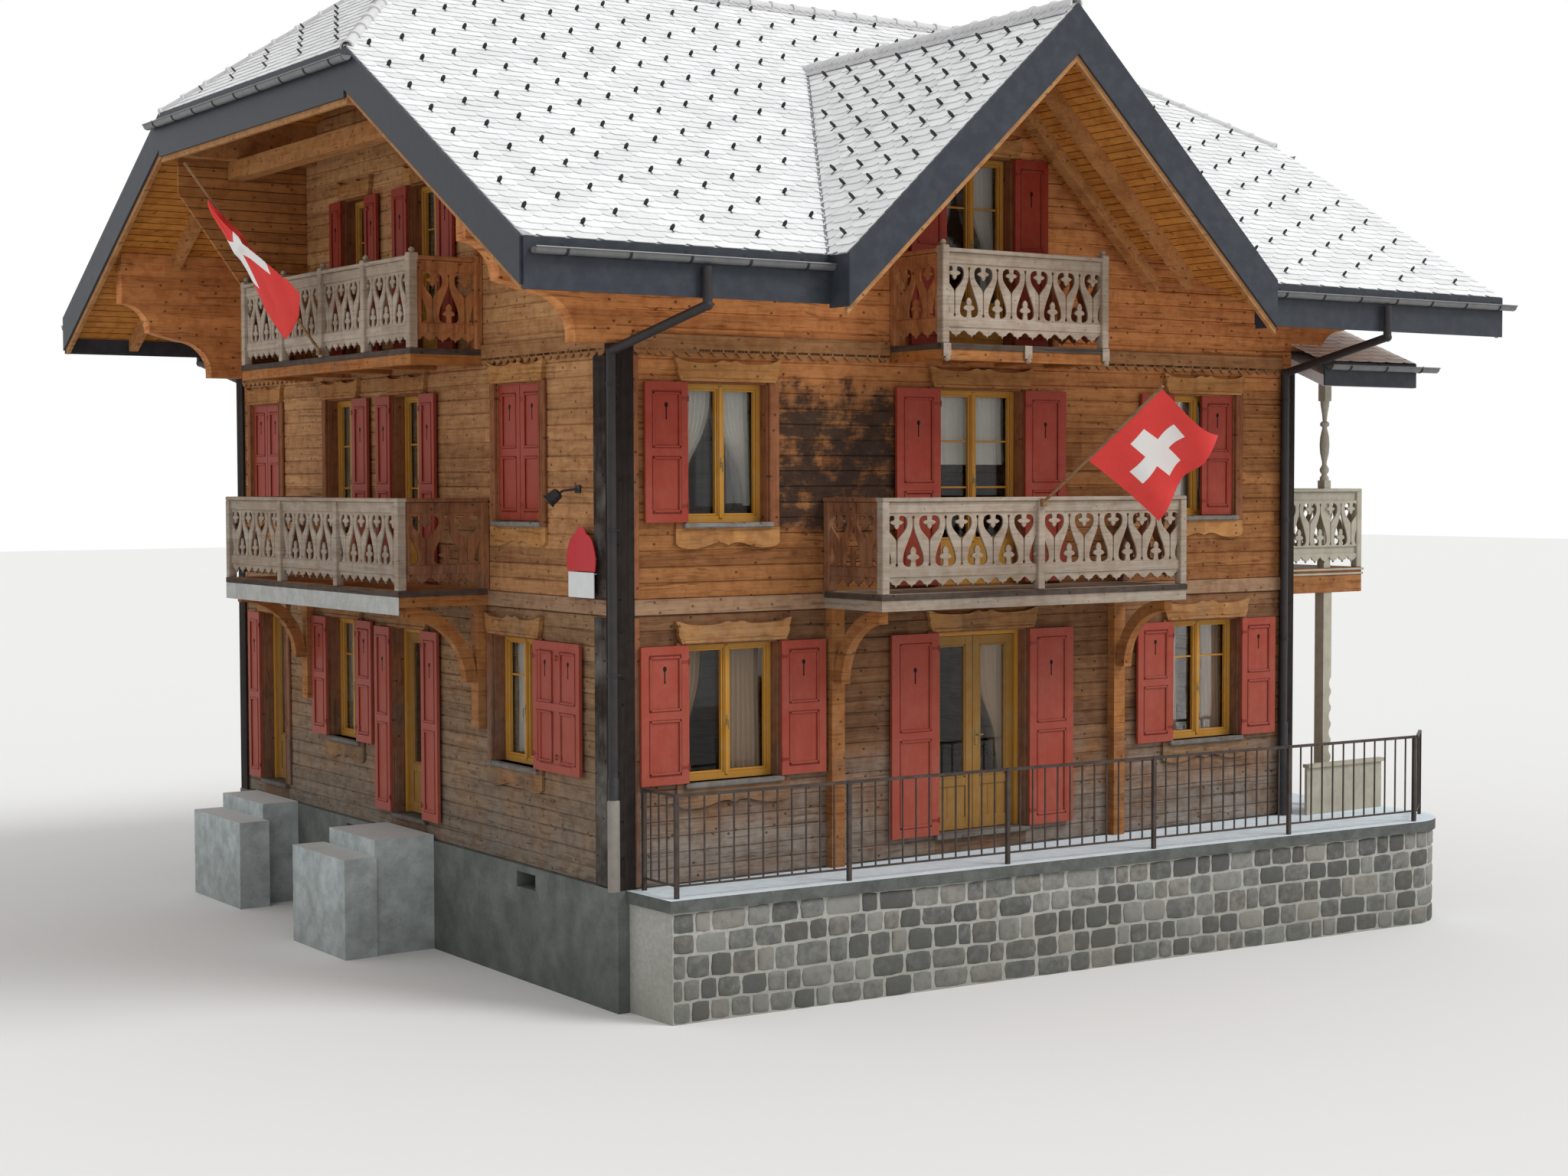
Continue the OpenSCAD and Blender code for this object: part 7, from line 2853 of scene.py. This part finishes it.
def flags() -> list[Flag | SlackFlag]:
    """Returns the two flags.

    Returns:
        The flags.
    """
    a, b = math.radians(32.9), math.radians(52.1)
    p = PLAN
    return [
        Flag("front_flag", Vector((4.51, -1.025, p.first + 0.9)), Vector((0, -math.cos(a), math.sin(a))),
             0.80, 1.26,
             Vector((0.86, 0.0, -0.51)), 1.10, 2.4, 0.10, 0.05),
        SlackFlag("side_flag", Vector((-0.865, 4.99, p.attic + 0.06)),
                  Vector((-math.cos(b), 0, math.sin(b))),
                  Vector((0, -0.924, 0.38)), 1.10,
                  ((2.02, -0.02, 0.02), (1.42, -0.126, 0.157), (0.82, -0.362, 0.339), (0.60, -0.394, 0.378),
                   (0.45, -0.41, 0.126), (0.36, -0.41, -0.38))),
    ]


LOGS = WoodFinish("aged_logs", "logs", (0.42, 0.185, 0.065), (0.145, 0.055, 0.019), burnt=True, upper_fresh_and_lit=1.0,
                  clear=2.4,
                  patch=1.2)
LOGS_LOW = WoodFinish("brown_logs", "logs", (0.28, 0.14, 0.066), (0.09, 0.044, 0.023),
                      grey=(0.36, 0.335, 0.30),
                      clear=2.6, full=0.9, patch=2.2)
# A paler copy of the logs for the left wall's upper storey, painted as sunlit.
LOGS_SUNLIT_SIDE = WoodFinish("sunned_logs", "logs", (0.55, 0.29, 0.13), (0.22, 0.10, 0.042), upper_fresh_and_lit=0.3, clear=2.4,
                       full=0.7)
# A paler, more orange copy of the ground-floor logs for the left wall, painted as sunlit.
LOGS_SUNLIT_BASE = WoodFinish("left_base_logs", "logs", (0.38, 0.23, 0.12), (0.15, 0.085, 0.045),
                       grey=(0.24, 0.22, 0.19),
                       clear=3.2, full=1.0)
DARK_BOARDS = WoodFinish("dark_corner_boards", "dark_wood", (0.030, 0.021, 0.018), (0.013, 0.010, 0.009),
                         grey=(0.05, 0.042, 0.038), grain=Grain.UPRIGHT,
                         row=50.0, length=50.0)
TRIM = WoodFinish("window_trim", "dark_wood", (0.52, 0.265, 0.09), (0.28, 0.12, 0.042), row=0.7,
                  length=1.3, clear=4.9, full=0.9)
WORN = WoodFinish("worn_dark_boards", "dark_wood", (0.044, 0.032, 0.027), (0.015, 0.011, 0.009),
                  grey=(0.26, 0.25, 0.23),
                  grain=Grain.UPRIGHT, row=0.045, length=0.45, clear=5.5, full=-2.5, patch=3.0)
# Dark brown painted shade for the decks' edge boards.
DECK_EDGE_SHADE = WoodFinish("dark_deck_edge", "pale_wood", (0.11, 0.085, 0.07), (0.05, 0.036, 0.03),
                       grey=(0.15, 0.14, 0.13),
                       row=50.0)
FASCIA = PaintFinish("pale_fascia", "pale_wood", (0.46, 0.47, 0.45), (0.30, 0.30, 0.28), grain=Grain.LEVEL,
                     rough=0.65)
SOFFIT = WoodFinish("soffit_boards", "soffit_wood", (0.68, 0.30, 0.065), (0.43, 0.165, 0.032), row=0.065,
                    length=4.0, clear=1.0, full=0.0, groove=0.006, stain=0.2)
SCREEN = WoodFinish("screen_boards", "soffit_wood", (0.50, 0.22, 0.07), (0.28, 0.11, 0.034), row=0.12,
                    length=50.0,
                    clear=1.0, full=0.0, groove=0.007)
TIMBER = WoodFinish("roof_timber", "soffit_wood", (0.60, 0.30, 0.11), (0.36, 0.16, 0.055), grain=Grain.DEEP,
                    row=0.5, length=9.0)
BLEACHED = WoodFinish("bleached_wood", "pale_wood", (0.47, 0.40, 0.33), (0.275, 0.21, 0.15), row=0.33,
                      length=1.7, clear=6.0, full=-4.0, grey=(0.38, 0.36, 0.325), stain=0.3, blotch=0.35,
                      knot=0.05)
BROWN = WoodFinish("balcony_wood", "pale_wood", (0.50, 0.20, 0.055), (0.24, 0.086, 0.024), row=0.4,
                   length=2.6, clear=7.0, full=-6.0, grey=(0.30, 0.19, 0.11))
CREAM = PaintFinish("cream_paint", "cream_wood", (0.44, 0.41, 0.33), (0.31, 0.28, 0.22), rough=0.6)
OCHRE = PaintFinish("ochre_paint", "ochre_wood", (0.50, 0.235, 0.03), (0.50, 0.29, 0.09))
# The ochre paint of the door leaves, darkened as painted shade.
OCHRE_DOOR_SHADED = PaintFinish("brown_ochre_boards", "ochre_wood", (0.28, 0.14, 0.028), (0.31, 0.19, 0.075),
                         rough=0.5)
CASING = WoodFinish("red_brown_casing", "dark_wood", (0.34, 0.14, 0.062), (0.18, 0.064, 0.028),
                    grain=Grain.UPRIGHT,
                    row=50.0, length=0.6, clear=4.6, full=0.0)
# The faded red is partly the sunlit red: lower shutters get more of it as painted sunlight.
RED = PaintFinish("red_paint", "red_wood", (0.31, 0.037, 0.018), (0.36, 0.098, 0.068),
                  fade=0.3, low_fade_and_sunlight=0.55)
# Dark red painted shade for the lines round the shutter panels.
RED_SHADE = PaintFinish("red_grooves", "red_wood", (0.15, 0.018, 0.010), (0.20, 0.045, 0.03), rough=0.6)
RED_IRON = PaintFinish("red_hinges", "red_wood", (0.20, 0.026, 0.014), (0.28, 0.06, 0.04))
PLATE_RED = PaintFinish("red_enamel", "", (0.55, 0.02, 0.03), (0.50, 0.05, 0.05), rough=0.3, fade=0.3)
PLATE_WHITE = PaintFinish("white_enamel", "", (0.75, 0.77, 0.78), (0.62, 0.64, 0.63), rough=0.35, fade=0.3)
LENS = PaintFinish("lamp_lens", "glass", (0.30, 0.30, 0.28), (0.45, 0.44, 0.40), rough=0.15)
SHINGLES = ShingleFinish("roof_shingles", "shingles", (0.86, 0.865, 0.87), (0.74, 0.745, 0.75))
BARGE = PaintFinish("blue_grey_metal", "edge_metal", (0.036, 0.042, 0.053), (0.062, 0.068, 0.080),
                    grain=Grain.SLOPE, rough=0.45)
VALLEY = PaintFinish("valley_metal", "edge_metal", (0.20, 0.19, 0.21), (0.27, 0.25, 0.27), grain=Grain.SLOPE)
ZINC = PaintFinish("dull_zinc", "zinc", (0.17, 0.175, 0.18), (0.26, 0.255, 0.245), grain=Grain.LEVEL,
                   rough=0.42, metal=0.4)
PIPE = PaintFinish("dark_pipe_metal", "zinc", (0.036, 0.032, 0.033), (0.055, 0.048, 0.049))
SLEEVE = PaintFinish("pale_pipe_sleeve", "zinc", (0.28, 0.255, 0.225), (0.20, 0.18, 0.16), rough=0.6)
IRON = PaintFinish("dark_iron", "iron", (0.05, 0.037, 0.032), (0.11, 0.085, 0.07))
PLASTER = MineralFinish("grey_render", "render", (0.19, 0.205, 0.19), (0.085, 0.096, 0.09),
                        (0.05, 0.056, 0.046), scale=3.0)
# The coping's tops are painted far paler and bluer than its sides: painted skylight and sky reflection on the
# tops.
CONCRETE = MineralFinish("pale_coping", "paving", (0.15, 0.16, 0.148), (0.068, 0.074, 0.068),
                         (0.056, 0.06, 0.05), scale=5.0,
                         top=(0.74, 0.84, 0.90))
# The treads take their own colour through the same painted-light top mask.
STEP = MineralFinish("worn_steps", "paving", (0.58, 0.64, 0.64), (0.30, 0.335, 0.335), (0.15, 0.16, 0.145),
                     scale=5.0,
                     top=(0.54, 0.55, 0.54))
STONE = MineralFinish("rubble_stone", "stone", (0.255, 0.255, 0.235), (0.095, 0.095, 0.09),
                      (0.10, 0.10, 0.085), scale=11.0,
                      toned=True)
MORTAR = MineralFinish("pale_mortar", "stone", (0.48, 0.475, 0.44), (0.33, 0.33, 0.30), (0.22, 0.215, 0.18),
                       scale=20.0)
FLOOR = WoodFinish("floor_boards", "floor_wood", (0.30, 0.16, 0.08), (0.17, 0.09, 0.045), row=50.0)
POLE = WoodFinish("pole_wood", "pole_wood", (0.34, 0.21, 0.11), (0.22, 0.13, 0.07), grain=Grain.DEEP,
                  row=50.0)
GLASS = GlassFinish("window_glass", "glass")
RED_CLOTH = ClothFinish("red_flag_cloth", "flag_cloth", (0.85, 0.034, 0.026), device=(0.90, 0.89, 0.87))
LACE = ClothFinish("white_curtain", "", (0.72, 0.70, 0.64), sheer=0.88)
HOOK_METAL = PaintFinish("hook_metal", "zinc", (0.03, 0.03, 0.033), (0.06, 0.058, 0.06), metal=0.3)
RIDGE = PaintFinish("ridge_grey", "shingles", (0.70, 0.70, 0.70), (0.55, 0.55, 0.55), grain=Grain.SLOPE,
                    rough=0.55)
RIDGE_WING = PaintFinish("ridge_wing_grey", "shingles", (0.60, 0.60, 0.61), (0.44, 0.44, 0.46),
                         grain=Grain.SLOPE, rough=0.55)
VERGE_WOOD = WoodFinish("verge_wood", "soffit_wood", (0.52, 0.28, 0.12), (0.36, 0.17, 0.065),
                        grain=Grain.SLOPE,
                        row=50.0, length=50.0, clear=1.0, full=0.0)
RETURNS = WoodFinish("brown_balustrade", "pale_wood", (0.34, 0.145, 0.065), (0.165, 0.064, 0.03),
                     grain=Grain.UPRIGHT,
                     row=50.0, length=0.2, clear=7.0, full=-3.0)
RETURNS_TOP = WoodFinish("orange_balustrade", "pale_wood", (0.53, 0.23, 0.085), (0.28, 0.107, 0.042),
                         grain=Grain.UPRIGHT,
                         row=50.0, length=0.2, clear=7.0, full=-6.0)
SILL = WoodFinish("weathered_sill", "dark_wood", (0.27, 0.26, 0.245), (0.16, 0.15, 0.14), row=50.0)
BAND = WoodFinish("carved_band", "logs", (0.42, 0.22, 0.095), (0.24, 0.11, 0.045), row=50.0,
                  length=2.2)
BRASS = PaintFinish("dull_brass", "zinc", (0.30, 0.22, 0.09), (0.22, 0.17, 0.09), rough=0.38, metal=0.8)
# Near-black painted shade, used for the shutters' keyholes.
SHADOW = PaintFinish("dark_cut", "dark_wood", (0.012, 0.008, 0.007), (0.02, 0.014, 0.012), rough=0.9)
STRING = WoodFinish("weathered_string", "logs", (0.39, 0.245, 0.15), (0.20, 0.115, 0.066), row=50.0,
                    length=3.1)
DRAPE = ClothFinish("tan_curtain", "", (0.36, 0.24, 0.15))


class Dresser:
    """Gives each solid part of the chalet its finish."""

    finishes: dict[str, Any] = {
        "foundation": PLASTER, "terrace_wall": MORTAR, "terrace_paving": CONCRETE, "terrace_railing": IRON,
        "side_steps": STEP, "ground_floor": FLOOR, "upper_floors": FLOOR, "front_wall_ground": LOGS_LOW,
        "left_wall_ground": LOGS_SUNLIT_BASE, "back_wall_ground": LOGS, "right_wall_ground": LOGS,
        "doorway_timbers": LOGS,
        "front_wall_upper": LOGS, "left_wall_upper": LOGS_SUNLIT_SIDE, "back_wall_upper": LOGS,
        "right_wall_upper": LOGS,
        "corner_boards": DARK_BOARDS, "log_ends": LOGS, "roof_front_left": SHINGLES,
        "roof_front_right": SHINGLES, "roof_back": SHINGLES, "hip_roofs": SHINGLES,
        "front_gable_roof": SHINGLES,
        "roof_soffit": SOFFIT, "edge_boards": BARGE, "gutters": ZINC, "downpipes": PIPE, "ridge_caps": ZINC,
        "roof_timbers": TIMBER, "windscreen": SCREEN, "balcony_brackets": BROWN,
        "front_balcony_deck": BLEACHED, "front_balcony_railing": BLEACHED, "gable_balcony_deck": BROWN,
        "gable_balcony_railing": BLEACHED, "left_balcony_deck": BROWN, "left_balcony_railing": BROWN,
        "attic_balcony_deck": BROWN, "attic_balcony_railing": BROWN, "porch_deck": BROWN,
        "porch_posts": CREAM,
        "porch_railing": CREAM, "porch_roof": SHINGLES, "porch_parapet": CREAM, "window_frames": OCHRE,
        "window_glass": GLASS, "window_surrounds": CASING, "window_shutters": RED, "door_frames": OCHRE,
        "front_door_left": OCHRE, "front_door_right": OCHRE, "side_door": OCHRE, "back_side_door": OCHRE,
        "flag_poles": POLE, "flags": RED_CLOTH,
    }
    made: dict[str, Material] = {}

    @classmethod
    def material(cls, finish: Any) -> Material:
        """Returns the finish's material, built the first time it is asked for.

        Args:
            finish: the finish.

        Returns:
            The material.
        """
        if finish.name not in cls.made:
            cls.made[finish.name] = finish.material()
        return cls.made[finish.name]

    def dress(self) -> None:
        """Puts a finish on every solid part."""
        for name, finish in self.finishes.items():
            node = NODES[name]
            node.data.materials.clear()
            node.data.materials.append(self.material(finish))
            log.info("dressed %s", name)


@dataclass
class Studio:
    """A plain pale floor, soft light and the photograph's camera."""

    position: tuple[float, float, float] = (-11.690, -19.734, 5.172)
    yaw: float = 34.654
    pitch: float = -2.588
    roll: float = -0.143
    focal: float = 3099.5
    picture: float = 2048.0
    fill: float = 0.74
    sun: float = 1.6
    sun_way: tuple[float, float, float] = (-0.62, 0.78, -0.95)
    sun_spread: float = 24.0
    floor_reach: float = 160.0
    floor_colour: Colour = (0.78, 0.78, 0.77)

    def camera(self) -> None:
        """Places the camera where the photograph was taken from."""
        data = bpy.data.cameras.new("photo_camera")
        data.sensor_width = 36.0
        data.lens = self.focal * data.sensor_width / self.picture
        data.clip_end = 400.0
        cam = placed("photo_camera", data)
        yaw, pitch = math.radians(self.yaw), math.radians(self.pitch)
        ahead = Vector((math.sin(yaw) * math.cos(pitch), math.cos(yaw) * math.cos(pitch), math.sin(pitch)))
        turn = ahead.to_track_quat("-Z",
                                   "Y").to_matrix().to_4x4() @ Matrix.Rotation(math.radians(self.roll), 4,
                                                                               "Z")
        cam.matrix_world = Matrix.Translation(self.position) @ turn
        bpy.context.scene.camera = cam

    def floor(self) -> None:
        """Lays the pale floor."""
        mesh = bpy.data.meshes.new("studio_floor")
        reach = self.floor_reach
        mesh.from_pydata([(-reach, -reach, 0), (reach, -reach, 0), (reach, reach, 0), (-reach, reach, 0)],
                         [],
                         [(0, 1, 2, 3)])
        floor = placed("studio_floor", mesh)
        material, tree, shader, at = new_material("studio_floor")
        shader.inputs["Roughness"].default_value = 0.95
        shade = tree.mix(tree.noise(at, 0.4), tuple(c * 0.985 for c in self.floor_colour), self.floor_colour)
        tree.feed(shade, shader, "Base Color")
        mesh.materials.append(material)
        floor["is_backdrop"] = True

    def light(self) -> None:
        """Sets the soft world light and one broad sun."""
        world = bpy.data.worlds.new("studio_world")
        bpy.context.scene.world = world
        world.use_nodes = True
        tree = Tree(world.node_tree)
        world.node_tree.nodes.clear()
        path = tree.node("ShaderNodeLightPath")
        seen = tree.math("MAXIMUM", path.outputs["Is Camera Ray"],
                         tree.math("MAXIMUM", path.outputs["Is Glossy Ray"],
                                   path.outputs["Is Transmission Ray"]))
        plain = tree.node("ShaderNodeBackground", {"Color": (1.0, 1.0, 1.0, 1.0), "Strength": self.fill})
        white = tree.node("ShaderNodeBackground", {"Color": (1.0, 1.0, 1.0, 1.0), "Strength": 1.0})
        blend = tree.node("ShaderNodeMixShader", {0: seen, 1: plain.outputs[0], 2: white.outputs[0]})
        tree.node("ShaderNodeOutputWorld", {0: blend.outputs[0]})
        data = bpy.data.lights.new("studio_sun", "SUN")
        data.energy = self.sun
        data.angle = math.radians(self.sun_spread)
        lamp = placed("studio_sun", data)
        lamp.matrix_world = Vector(self.sun_way).to_track_quat("-Z", "Y").to_matrix().to_4x4()

    def build(self) -> None:
        """Builds the whole studio."""
        self.camera()
        self.floor()
        self.light()
        bpy.context.scene.view_settings.view_transform = "Standard"


def main() -> None:
    """Builds each sub-assembly in order."""
    logging.basicConfig(level=logging.INFO, format="%(name)s: %(message)s")
    Studio().build()
    Dresser().dress()
    LogWalls().build()
    Roof().build()
    for railing in balustrades():
        railing.build()
    Porch().build()
    Surrounds().build()
    Sashes().build()
    for leaf in door_leaves():
        leaf.build()
    for curtain in curtains():
        curtain.build()
    Shutterware().build()
    Masonry().terrace()
    Gutters().build()
    Bands().build()
    Fixtures().build()
    for number, flag in enumerate(flags()):
        flag.build(("flags",) if number == 0 else ())
    low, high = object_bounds()
    {"cad": [list(CAD_LOW), list(CAD_HIGH)], "visual": [list(low), list(high)]}


if __name__ == "__main__":
    main()
